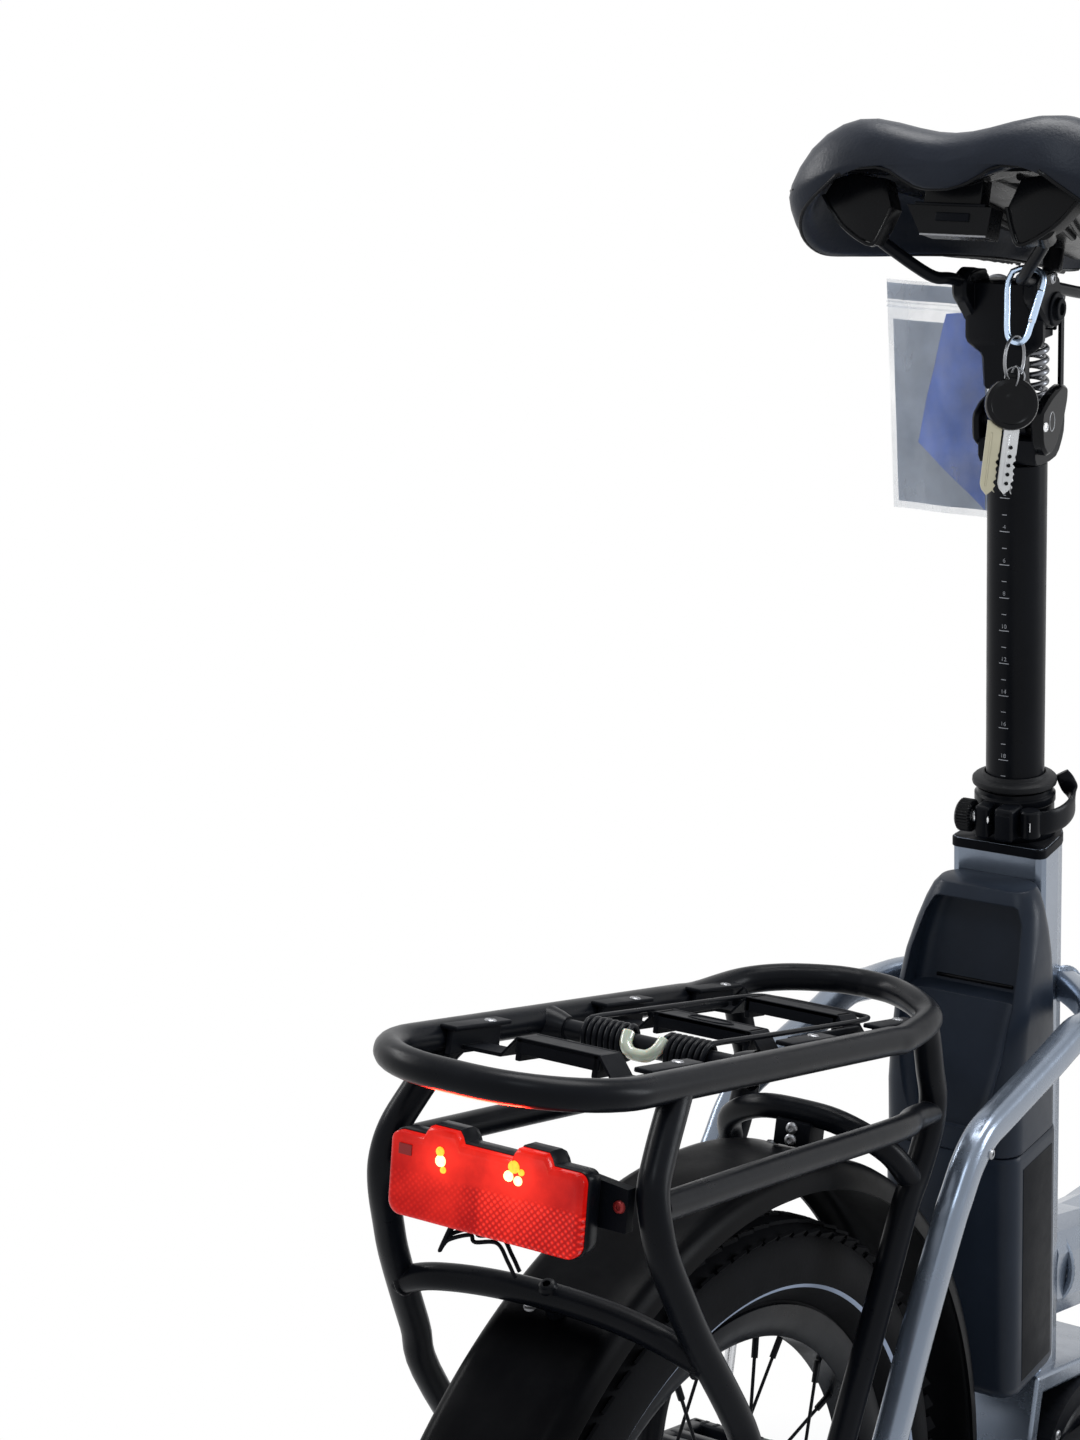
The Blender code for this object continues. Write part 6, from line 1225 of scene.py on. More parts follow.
def spring_clamp():
    """The rack's sprung bow: two wound coils, a loop in a clear hose between them, the bow."""
    radius = 0.0084
    wire = Piece("rack_bow", "spring_clamp", satin, hose)
    left = helix(HINGE + Vector((0, 0.0345, 0)), HINGE + Vector((0, 0.0113, 0)), radius, 7, 24, UP)
    right = [flip(p, -1) for p in reversed(left)]
    curve = [(-0.0040, 0.0105, 0.0070), (-0.0085, 0.0088, 0.0010), (-0.0102, 0.0048, -0.0024),
             (-0.0105, 0.0, -0.0030)]
    loop = smooth([HINGE + Vector(p) for p in mirrored(curve)], 6)
    half = ((0.1780, 0.0, radius), (0.1760, 0.0240, radius), (0.1650, 0.0345, radius),
            (0.0900, 0.0355, radius), (0.0100, 0.0348, radius + 0.0002))
    bow = [(x, -y, z) for x, y, z in reversed(half)] + list(half[1:])
    bow = smooth([HINGE + Vector(p) for p in bow], 6)
    wire.tube(left + loop + right + bow, 0.0014, 0, closed=True, sides=12)
    wire.tube(loop[1:-1], 0.0032, 1, sides=18)
    wire.done("rack_spring_clamp", slot="black_paint")


# Rear light
LENS_W = 0.1040
LENS_H = 0.0392
LENS_LEAN = math.radians(-5.0)
LAMP_Y = 0.0240


def light_point(y, up, depth):
    centre = Vector((LENS_X, y, LENS_Z))
    rise = Vector((math.sin(LENS_LEAN), 0, math.cos(LENS_LEAN)))
    inward = Vector((math.cos(LENS_LEAN), 0, -math.sin(LENS_LEAN)))
    return centre + rise * up + inward * depth


def light_outline(inset=0.0):
    """The lens from behind, with tighter corners at the top and two tabs over the lamps."""
    half = LENS_W / 2 - inset
    top = LENS_H / 2 - inset

    def corner(sy, radius, start):
        angles = [math.radians(start + 15 * k) for k in range(7)]
        return [(half - radius + radius * math.cos(a), sy * (top - radius) + radius * math.sin(a))
                for a in angles]

    points = corner(-1, 0.0065, 270) + corner(1, 0.0045, 0)
    low = [(-y, up) for y, up in reversed(corner(-1, 0.0065, 270))]
    high = [(-y, up) for y, up in reversed(corner(1, 0.0045, 0))]
    for middle in (LAMP_Y, -LAMP_Y):
        tab = ((0.0100, 0.0), (0.0088, 0.0030), (0.0070, 0.0055))
        points += [(middle + y, top + up) for y, up in tab]
        points += [(middle - y, top + up) for y, up in reversed(tab)]
    return points + high + low


def rear_light():
    lens = Piece("tail_lens", "frame", red_lens, gloss)
    lens.rows([[light_point(y, up, depth) for y, up in light_outline(inset)]
               for depth, inset in ((0.0005, 0.0036), (0.0000, 0.0026), (0.0004, 0.0010),
                                    (0.0014, 0.0), (0.0052, 0.0))])
    lens.done("rear_light_lens", slot="red_lens")
    lamps = Piece("tail_lens_lamps", "frame", lamp_rim, lamp_glow, red_glint_bolt)
    for y, up, radius, mat in ((0.0240, 0.0105, 0.0030, 1), (0.0245, 0.0148, 0.0024, 0),
                               (0.0222, 0.0066, 0.0017, 0), (-0.0130, 0.0115, 0.0027, 1),
                               (-0.0182, 0.0103, 0.0024, 1), (-0.0155, 0.0162, 0.0032, 0),
                               (-0.0197, 0.0145, 0.0017, 0)):
        centre = light_point(y, up, 0.0)
        turn = placed(centre, centre - light_point(y, up, 0.01), LEFT)
        lamps.lathe([(radius, -0.0010), (radius * 0.86, 0.0001), (radius * 0.5, 0.0003),
                     (0, 0.0004)], turn, mat, 28)
    # the small window near the lens's left end carries the painted red reflection of the tail lamp
    window = ((0.0400, 0.0095), (0.0470, 0.0095), (0.0470, 0.0145), (0.0400, 0.0145))
    lamps.rows([[light_point(y, up, depth) for y, up in window] for depth in (-0.0001, 0.0010)], 2)
    lamps.done()
    housing = Piece("tail_housing", "frame", satin, matt, red_glint_bolt)
    housing.rows([[light_point(y, up, depth) for y, up in light_outline(inset)]
                  for depth, inset in ((0.0050, -0.0003), (0.0056, -0.0006), (0.0150, -0.0002),
                                       (0.0195, 0.0020), (0.0210, 0.0060))])
    plate_outline = [(-0.0640, -0.008), (0.0640, -0.008), (0.0640, 0.012), (0.030, 0.016),
                     (-0.030, 0.016), (-0.0640, 0.012)]
    housing.rows([[light_point(y, up, depth) for y, up in plate_outline]
                  for depth in (0.0200, 0.0262)], 1)
    outward = light_point(0, 0, 0) - light_point(0, 0, 0.01)
    # this bolt carries the painted red reflection of the tail lamp
    housing.bolt(light_point(-0.0600, 0.0035, 0.0200), outward, 0.0030, 0.0016, 2)
    housing.done("rear_light_housing", slot="black_plastic")
    # the lamp's thin leads in short loops below it
    leads = Piece("tail_leads", "frame", matt)
    for back, rise in ((0.0, 0.0), (0.0030, 0.0026)):
        loops = ((0.0271, 0.5234), (0.0234, 0.5289), (0.0119, 0.5339), (0.0088, 0.5313),
                 (-0.0030, 0.5335), (-0.0100, 0.5264), (-0.0150, 0.5200))
        path = [(-0.7420 + back, y, z + rise) for y, z in loops]
        leads.tube(smooth([(-0.7440 + back, 0.0200, 0.5400)] + path, 8), 0.0010, sides=8)
    leads.done()


# Mudguards
def mudguard(piece, x, start, end, steps, crown, half, edge=0.0150, thick=0.0020):
    rings = []
    outer = [(-1.0, -edge), (-0.985, -0.0105), (-0.955, -0.0065), (-0.90, -0.0032),
             (-0.82, -0.0010), (-0.72, 0.0), (-0.45, 0.0), (0.0, 0.0), (0.45, 0.0), (0.72, 0.0),
             (0.82, -0.0010), (0.90, -0.0032), (0.955, -0.0065), (0.985, -0.0105), (1.0, -edge)]
    for step in range(steps + 1):
        degrees = start + (end - start) * step / steps
        top = crown(degrees)
        ring = [around(degrees, top + drop, share * half, x) for share, drop in outer]
        ring += [around(degrees, top + drop - (thick if abs(share) < 0.97 else 0.0),
                        share * (half - thick), x) for share, drop in reversed(outer)]
        rings.append(ring)
    return piece.rows(rings)


def mudguards():
    rear = Piece("rear_guard", "frame", wing, dull_steel, matt)
    mudguard(rear, REAR_X, 14, 200, 150, rear_guard_crown, 0.0360)
    for degrees in (80.3, 128.3):
        place = around(degrees, rear_guard_crown(degrees))
        out = (place - Vector((REAR_X, 0, AXLE_Z))).normalized()
        rear.bolt(place + Vector((0, 0.0150, 0)), out, 0.0034, 0.0014, 1)
    rear.done("rear_mudguard", slot="black_plastic")
    front = Piece("front_guard", "steering", wing, dull_steel)
    mudguard(front, FRONT_X, 24, 165, 120, lambda degrees: 0.2780, 0.0320)
    hub = Vector((FRONT_X, 0, AXLE_Z))
    crown = steer(0.3400 - 0.0296 - GAP, -0.010)
    front.rod(crown, hub + (crown - hub).normalized() * 0.2770, 0.0060, 0)
    front.done("front_mudguard", slot="black_plastic")


# Wheels
def tyre(name, body, node, x):
    """Carcass, shoulder blocks and centre tread."""
    steps = 168
    outline = [(0.2045, 0.0111), (0.2110, 0.0113), (0.2150, 0.0165), (0.2200, 0.0222),
               (0.2260, 0.0258), (0.2330, 0.0262), (0.2400, 0.0246), (0.2462, 0.0212),
               (0.2510, 0.0162), (0.2540, 0.0100), (0.2552, 0.0035)]
    profile = outline + [(r, -y) for r, y in reversed(outline)]
    profile += [(0.2045, -0.0070), (0.2045, 0.0070)]
    piece = Piece(name, body, tyre_rubber)
    piece.lathe(profile, axle_frame(x, AXLE_Z), 0, steps, closed=True)
    blocks = 96
    for k in range(blocks):
        for side in (-1, 1):
            for offset, radius, y, size, tilt in (
                    (0.25 if side > 0 else 0.75, 0.2478, 0.0196, (0.0100, 0.0090, 0.0016), 50),
                    (0.0 if side > 0 else 0.5, 0.2530, 0.0100, (0.0108, 0.0090, 0.0018), 20)):
                turn = spun((x, 0, AXLE_Z), (k + offset) / blocks) @ at(radius, side * y, 0)
                turn = turn @ turned(-side * tilt, "Z") @ turned(90, "Y") @ turned(side * 18, "Z")
                piece.block(size, turn, 0, 0.0)
        turn = spun((x, 0, AXLE_Z), (k + 0.5) / blocks)
        piece.block((0.0118, 0.0060, 0.0020), turn @ at(0.2553, 0, 0) @ turned(90, "Y"), 0, 0.0)
    piece.done(node, slot="tyre_rubber")


def wheel(prefix, body, x, hub_r, flange_r, flange_y, bosses):
    tyre(f"{prefix}_tyre_tread", body, f"{prefix}_tyre", x)
    place = axle_frame(x, AXLE_Z)
    rim = Piece(f"{prefix}_rim_box", body, satin, steel)
    half = 0.0134
    right = [(0.2042, 0.0108), (0.2088, 0.0112), (0.2095, 0.0122), (0.2093, half), (0.2040, half),
             (0.1990, 0.0126), (0.1935, 0.0100), (0.1910, 0.0080)]
    rim.lathe([(r, -y) for r, y in right] + [(r, y) for r, y in reversed(right)], place, 0, 168,
              closed=True)
    valve = place @ turned(270, "Z")
    rim.rod(valve @ Vector((0.1915, 0, 0)), valve @ Vector((0.1600, 0, 0)), 0.0028, 1, 16)
    rim.rod(valve @ Vector((0.1660, 0, 0)), valve @ Vector((0.1590, 0, 0)), 0.0036, 0, 16)
    rim.done(f"{prefix}_rim", slot="black_paint")
    right_end, left_end = bosses
    hub = Piece(f"{prefix}_hub_spokes", body, satin, dull_steel, matt)
    hub.lathe([(0.0079, left_end), (0.0145, left_end), (0.0150, left_end - 0.0006),
               (0.0150, flange_y + 0.005), (flange_r - 0.001, flange_y + 0.0028),
               (flange_r, flange_y + 0.0020), (flange_r, flange_y - 0.0020),
               (flange_r - 0.001, flange_y - 0.0028), (hub_r + 0.003, flange_y - 0.0050),
               (hub_r, flange_y - 0.010), (hub_r, -flange_y + 0.010),
               (hub_r + 0.003, -flange_y + 0.0050), (flange_r - 0.001, -flange_y + 0.0028),
               (flange_r, -flange_y + 0.0020), (flange_r, -flange_y - 0.0020),
               (flange_r - 0.001, -flange_y - 0.0028), (0.0150, -flange_y - 0.005),
               (0.0150, right_end + 0.0006), (0.0145, right_end), (0.0079, right_end)],
              place, 0, 64, closed=True)
    end_r = 0.1905
    for index in range(28):
        side = 1 if index % 2 else -1
        swing = math.radians(38) * (1 if index // 2 % 2 else -1)
        at_rim = 2 * math.pi * (index + 0.5) / 28
        at_hub = at_rim + swing
        inset = 0.0014 if index // 2 % 2 else -0.0014
        hole_r = flange_r - 0.004
        start = Vector((x + hole_r * math.cos(at_hub), side * (flange_y + inset),
                        AXLE_Z + hole_r * math.sin(at_hub)))
        end = Vector((x + end_r * math.cos(at_rim), side * 0.003,
                      AXLE_Z + end_r * math.sin(at_rim)))
        hub.tube([start, end], 0.0010, 0, sides=8)
        hub.tube([end, end + (start - end).normalized() * 0.0120], 0.0019, 0, sides=8)
        hub.bolt(start + Vector((0, side * 0.0010, 0)), side * LEFT, 0.0019, 0.0012, 0,
                 socket=False)
    hub.done(f"{prefix}_hub_and_spokes", slot="black_paint")


def brake_disc(name, body, node, x, y):
    disc = Piece(name, body, steel, matt)
    place = axle_frame(x, AXLE_Z, y)

    def scallop(r, h, angle):
        return min(0.0800, r + (0.0008 * math.cos(24 * angle) if r > 0.075 else 0))

    disc.lathe([(0.0640, -0.0009), (0.0798, -0.0009), (0.0798, 0.0009), (0.0640, 0.0009)], place, 0,
               144, closed=True, wave=scallop)
    disc.lathe([(0.0153, -0.0009), (0.0250, -0.0009), (0.0250, 0.0009), (0.0153, 0.0009)], place, 1,
               48, closed=True)
    for index in range(5):
        turn = spun((x, y, AXLE_Z), index / 5)
        disc.block((0.0460, 0.0017, 0.0066), turn @ at(0.0445, 0, 0) @ turned(8, "Y"), 1, 0.0004)
        disc.bolt(turn @ Vector((0.0205, 0.0009, 0.0)), LEFT, 0.0030, 0.0012, 0)
    for index in range(36):
        turn = spun((x, y, AXLE_Z), index / 36)
        r = 0.0685 + 0.0035 * (index % 3)
        disc.rod(turn @ Vector((r, -0.00095, 0)), turn @ Vector((r, 0.00095, 0)), 0.0019, 1, 12,
                 0.0001)
    disc.done(node, slot="bright_steel")


def wheels():
    wheel("rear", "rear_wheel", REAR_X, 0.0300, 0.0400, 0.0320, (-0.0590, 0.0540))
    wheel("front", "front_wheel", FRONT_X, 0.0210, 0.0300, 0.0290, (-0.0460, 0.0460))
    brake_disc("rear_disc_plate", "rear_wheel", "rear_brake_disc", REAR_X, 0.0500)
    brake_disc("front_disc_plate", "front_wheel", "front_brake_disc", FRONT_X, 0.0400)
    dress("rear_axle", dull_steel)
    dress("front_axle", dull_steel)


# What hangs from the saddle rails
CLIP_X = -0.3500
KEY_RING_Z = 0.9837
FOB_FACING = Vector((-0.8424, -0.5388, 0.0))
FOB_BESIDE = Vector((0.5388, -0.8424, 0.0))


def hangings():
    clip = Piece("snap_hook", "clip", blue_alloy, steel)
    points = [(-0.0190, 1.0318), (-0.0260, 1.0342), (-0.0345, 1.0328), (-0.0378, 1.0280),
              (-0.0368, 1.0180), (-0.0335, 1.0020), (-0.0322, 0.9965), (-0.0290, 0.9932),
              (-0.0240, 0.9935), (-0.0205, 0.9975), (-0.0185, 1.0110), (-0.0170, 1.0250),
              (-0.0190, 1.0318)]
    path = smooth([(CLIP_X, y, z) for y, z in points], 6)[:-1]
    clip.tube(path, 0.0017, 0, closed=True, sides=16)
    clip.rod((CLIP_X, -0.0373, 1.0225), (CLIP_X, -0.0338, 1.0040), 0.0021, 0, 16)
    clip.rod((CLIP_X - 0.0023, -0.0340, 1.0050), (CLIP_X + 0.0023, -0.0340, 1.0050), 0.0011, 1, 12)
    clip.done("carabiner", slot="blue_alloy")
    ring_middle = Vector((CLIP_X, -0.0265, KEY_RING_Z))
    bunch = Piece("keys_and_ring", "keys", dull_steel, gloss, brass, nickel)
    spiral = [ring_middle + 0.0125 * Vector((math.sin(a), 0, math.cos(a)))
              + Vector((0, 0.0007 * (a / (2 * math.pi) - 1), 0))
              for a in [4 * math.pi * i / 96 for i in range(97)]]
    bunch.tube(spiral, 0.0006, 0, sides=8)
    middle = Vector((CLIP_X, -0.0281, KEY_RING_Z - 0.0250))
    crown = middle + Vector((0, 0, 0.0150))
    for radius, turn in ((0.0060, 0.2), (0.0056, 1.1)):
        side = math.cos(turn) * FOB_FACING + math.sin(turn) * FOB_BESIDE
        bunch.tube([crown + radius * (math.sin(a) * side + math.cos(a) * UP)
                    for a in circle(36)], 0.0005, 0, closed=True, sides=8)
    fob = placed(middle - 0.0045 * FOB_FACING, FOB_FACING, UP)
    bunch.lathe([(0, 0), (0.0122, 0), (0.0142, 0.0010), (0.0147, 0.0025), (0.0147, 0.0041),
                 (0.0143, 0.0044), (0.0143, 0.0047), (0.0147, 0.0050), (0.0147, 0.0066),
                 (0.0141, 0.0082), (0.0118, 0.0089), (0.0112, 0.0084), (0.0060, 0.0082),
                 (0.0052, 0.0087), (0, 0.0089)], fob, 1, 56)
    bunch.block((0.0060, 0.0090, 0.0060), fob @ at(0.0140, 0, 0.0045), 1, 0.0012)
    for shift, low, mat in ((-0.0075, 0.0515, 2), (0.0018, 0.0500, 3)):
        outline = [(-0.0042, -0.010), (0.0042, -0.010), (0.0042, -0.026)]
        for tooth in range(6):
            top = -0.027 - tooth * 0.0038
            cut = 0.0042 - 0.0005 - 0.0004 * (tooth * 2 % 3)
            outline += [(0.0042, top), (cut, top - 0.0012), (cut, top - 0.0024),
                        (0.0042, top - 0.0036)]
        outline += [(0.0030, -low + 0.003), (0.0, -low), (-0.0030, -low + 0.003),
                    (-0.0042, -low + 0.006)]
        spot = middle + shift * FOB_BESIDE - (0.0008 if mat == 2 else -0.0010) * FOB_FACING
        bunch.plate(outline, placed(spot, FOB_FACING, FOB_BESIDE), 0.0020, mat, 0.0003)
        face = placed(spot + 0.0012 * FOB_FACING, FOB_FACING, FOB_BESIDE)
        bunch.block((0.0010, low - 0.022, 0.0007), face @ at(-0.0012, -low / 2 - 0.006, 0), mat,
                    0.0002)
        for step in range(5 if mat == 3 else 0):
            dimple = face @ Vector((0.0006, -0.024 - 0.0050 * step, -0.0003))
            bunch.rod(dimple, dimple + 0.0008 * FOB_FACING, 0.0011, 1, 14, 0.0002)
    bunch.done("key_bunch", slot="black_plastic")
    sleeve()


SLEEVE_ZIP = 0.88


def sleeve():
    """A clear pouch with a zip line and a folded paper in it, on a thin tie."""
    ahead = 0.0317
    pouch = Piece("ticket_pouch", "sleeve", clear, ink)
    corners = ((0.0306, 0.661), (0.0960, 0.662), (0.1000, 0.802), (0.0306, 0.800))

    def spot(u, v, depth=0.0):
        low = Vector(corners[0]).lerp(Vector(corners[1]), u)
        high = Vector(corners[3]).lerp(Vector(corners[2]), u)
        y, s = low.lerp(high, v)
        wave = 0.0007 * math.sin(9 * u + 4 * v) + 0.0005 * math.sin(17 * v - 5 * u)
        return seat(s, -ahead - wave * (1 - abs(2 * u - 1) ** 3) - depth, y)

    for depth, puff in ((-0.0004, -0.0022), (0.0004, 0.0022)):
        rows = []
        for v in [j / 24 for j in range(25)]:
            fat = puff * math.sin(math.pi * v / SLEEVE_ZIP) if v < SLEEVE_ZIP else 0
            rows.append([spot(u, v, depth + fat * math.sin(math.pi * u))
                         for u in [i / 16 for i in range(17)]])
        pouch.rows(rows, 0, caps=False, wrap=False)
    tie = [seat(0.7967 + 0.0105 * math.sin(a), -ahead, 0.0270 + 0.0105 * math.cos(a))
           for a in circle(40)]
    pouch.tube(tie, 0.0011, 1, closed=True, sides=8)
    pouch.done("ticket_sleeve", slot="clear_sleeve")
    zipper = Piece("pouch_zip", "sleeve", clear, paper)
    for v, r in ((0.885, 0.0007), (0.905, 0.0005)):
        zipper.tube([spot(i / 20, v, -0.0009) for i in range(21)], r, 0, sides=6)
    band = [[spot(i / 16, v, 0.0001) for i in range(17)] for v in (0.915, 0.985)]
    zipper.rows(band, 1, caps=False, wrap=False)
    zipper.done()
    sheets = Piece("pouch_papers", "sleeve", paper, blue_paper)
    rows = [[spot(0.05 + 0.90 * i / 12, 0.03 + 0.80 * j / 12, 0.0002) for i in range(13)]
            for j in range(13)]
    sheets.rows(rows, 0, caps=False, wrap=False)
    # the folded sheet in front, one corner turned over
    for left, right, lift in (
            (((0.07, 0.03), (0.07, 0.90)), ((0.735, 0.30), (0.44, 0.87)), 0.0010),
            (((0.60, 0.55), (0.44, 0.87)), ((0.74, 0.31), (0.60, 0.55)), 0.0016)):
        rows = []
        for j in range(13):
            t = j / 12
            a = Vector(left[0]).lerp(Vector(left[1]), t)
            b = Vector(right[0]).lerp(Vector(right[1]), t)
            places = [a.lerp(b, i / 12) for i in range(13)]
            rows.append([spot(u, v, -0.0001 - lift * math.sin(math.pi * u) * math.sin(math.pi * v))
                         for u, v in places])
        sheets.rows(rows, 1, caps=False, wrap=False)
    sheets.done()


# The front half
def bar_path():
    top = steer(BAR_HEIGHT, BAR_AHEAD)
    shifts = ((0, 0, 0), (0, 0.0250, 0), (0, 0.0500, 0.0005), (-0.002, 0.110, 0.012),
              (-0.030, 0.190, 0.020), (-0.075, 0.262, 0.022), (-0.112, 0.3100, 0.022))
    return smooth([top + Vector(p) for p in shifts], 2)


def bar_point(t):
    path = bar_path()
    lengths = [0.0]
    for a, b in zip(path, path[1:]):
        lengths.append(lengths[-1] + (b - a).length)
    want = t * lengths[-1]
    for i in range(len(path) - 1):
        if want <= lengths[i + 1] or i == len(path) - 2:
            direction = (path[i + 1] - path[i]).normalized()
            return path[i] + direction * (want - lengths[i]), direction


def lever_frame(side):
    place, along = bar_point(0.58)
    forward = flip(along.cross(UP).normalized(), side)
    return placed(flip(place, side) + forward * 0.0270, UP, forward)


def steering():
    half = bar_path()
    bar = Piece("bar_tube", "steering", satin, dull_steel, matt)
    bar.tube(smooth([flip(p, -1) for p in reversed(half[1:])] + half, 3), 0.0111, sides=28)
    for side in (-1, 1):
        place, along = bar_point(0.58)
        local = lever_frame(side)
        bar.rod(flip(place - along * 0.0065, side), flip(place + along * 0.0065, side), 0.0166, 0,
                40)
        bar.block((0.0230, 0.0116, 0.0090), local @ at(-0.0080, 0, 0), 0, 0.0015)
        bar.rod(local @ Vector((0, 0, -0.0092)), local @ Vector((0, 0, 0.0092)), 0.0030, 1, 20)
        bar.bolt(local @ Vector((0, 0, 0.0092)), UP, 0.0042, 0.0012, 1)
    bar.done("handlebar", slot="black_paint")
    for name, side in (("left", 1), ("right", -1)):
        start, _ = bar_point(0.66)
        path = smooth([start] + [p for p in half if p.y > start.y + 0.004]
                      + [half[-1] + (half[-1] - half[-2]).normalized() * 0.004], 14)
        count = len(path) - 1
        grip = Piece(f"grip_ribs_{name}", "steering", rubber, satin)

        def ribs(t):
            if t < 0.05 or t > 0.985:
                return 0.0153
            if t < 0.10:
                return 0.0142
            return 0.0145 + 0.0008 * abs(math.sin(t * 75)) + 0.0003 * math.sin(t * 3.1)

        grip.tube([flip(p, side) for p in path], ribs, 0, sides=28)
        grip.done(f"grip_{name}", slot="black_rubber")
        local = lever_frame(side)
        blade = Piece(f"lever_blade_{name}", f"{name}_lever", satin, dull_steel)
        for z in (-0.0070, 0.0070):
            blade.block((0.0118, 0.0300, 0.0036), local @ at(0, side * 0.0085, z), 0, 0.0012)
        points = [(0.0000, 0.0200, 0), (0.0100, 0.0400, -0.002), (0.0120, 0.0750, -0.004),
                  (0.0060, 0.1050, -0.004)]
        path = smooth([local @ Vector((a, side * b, c)) for a, b, c in points], 8)
        rings = []
        for i, spot in enumerate(path):
            step = tangent(path, i)
            across = step.cross(UP).normalized()
            t = i / (len(path) - 1)
            thick = 0.0028 * (1.0 if t < 0.93 else 1.25)
            rings.append([spot + thick * math.cos(a) * across + 0.0054 * math.sin(a) * UP
                          for a in circle(16)])
        blade.rows(rings)
        blade.done(f"brake_lever_{name}", slot="black_paint")
    top = steer(BAR_HEIGHT, BAR_AHEAD)
    stem = Piece("stem_column", "steering", satin, dull_steel)
    stem.lathe([(0.0146, 0.4923), (0.0176, 0.4923), (0.0185, 0.4935), (0.0170, 0.8700),
                (0.0165, 0.8830), (0.0150, 0.8850), (0, 0.8850)],
               placed(STEER_FOOT, STEER_UP, STEER_AHEAD), 0, 56)
    stem.tube([steer(0.8750), steer(0.8850, 0.0120), top], 0.0140, 0, sides=28)
    stem.lathe([(0.0120, -0.0220), (0.0172, -0.0220), (0.0181, -0.0212), (0.0181, 0.0212),
                (0.0172, 0.0220), (0.0120, 0.0220)], axle_frame(top.x, top.z), 0, 56, closed=True)
    for y in (-0.0150, 0.0150):
        for turn in (35, 145):
            out = Vector((math.cos(math.radians(turn - 60)), 0, math.sin(math.radians(turn - 60))))
            stem.bolt(top + 0.0178 * out + Vector((0, y, 0)), out, 0.0030, 0.0020, 1)
    stem.done("stem", slot="black_paint")
    dress("fork", satin)
    low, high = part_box("display")
    centre = (low + high) / 2
    panel = Piece("screen_unit", "steering", matt, screen, satin)
    panel.block((0.0456, 0.0636, 0.0108), at(centre.x, 0, high.z - 0.0055), 0, 0.0030, 4)
    panel.block((0.0360, 0.0520, 0.0010), at(centre.x, 0, high.z - 0.0003), 1, 0.0004)
    panel.block((0.0138, 0.0196, 0.0060), at(top.x, 0, low.z + 0.0032), 2, 0.0010)
    panel.done("display", slot="dark_screen")
    lamp_at = steer(0.3480, 0.0640)
    lamp = Piece("front_lamp", "steering", gloss, front_glass, satin)
    turn = placed(lamp_at - Vector((0.0230, 0, 0)), AHEAD, UP)
    lamp.lathe([(0, 0), (0.0150, 0.0008), (0.0190, 0.0030), (0.0205, 0.0100), (0.0240, 0.0320),
                (0.0250, 0.0400), (0.0242, 0.0408), (0.0222, 0.0400)], turn, 0, 56)
    lamp.lathe([(0.0222, 0.0400), (0.0190, 0.0392), (0.0120, 0.0385), (0, 0.0382)], turn, 1, 56)
    lamp.block((0.0300, 0.0140, 0.0080), steer_frame(0.3255) @ at(0.0355, 0, 0), 2, 0.0012)
    lamp.done("front_light", slot="black_plastic")


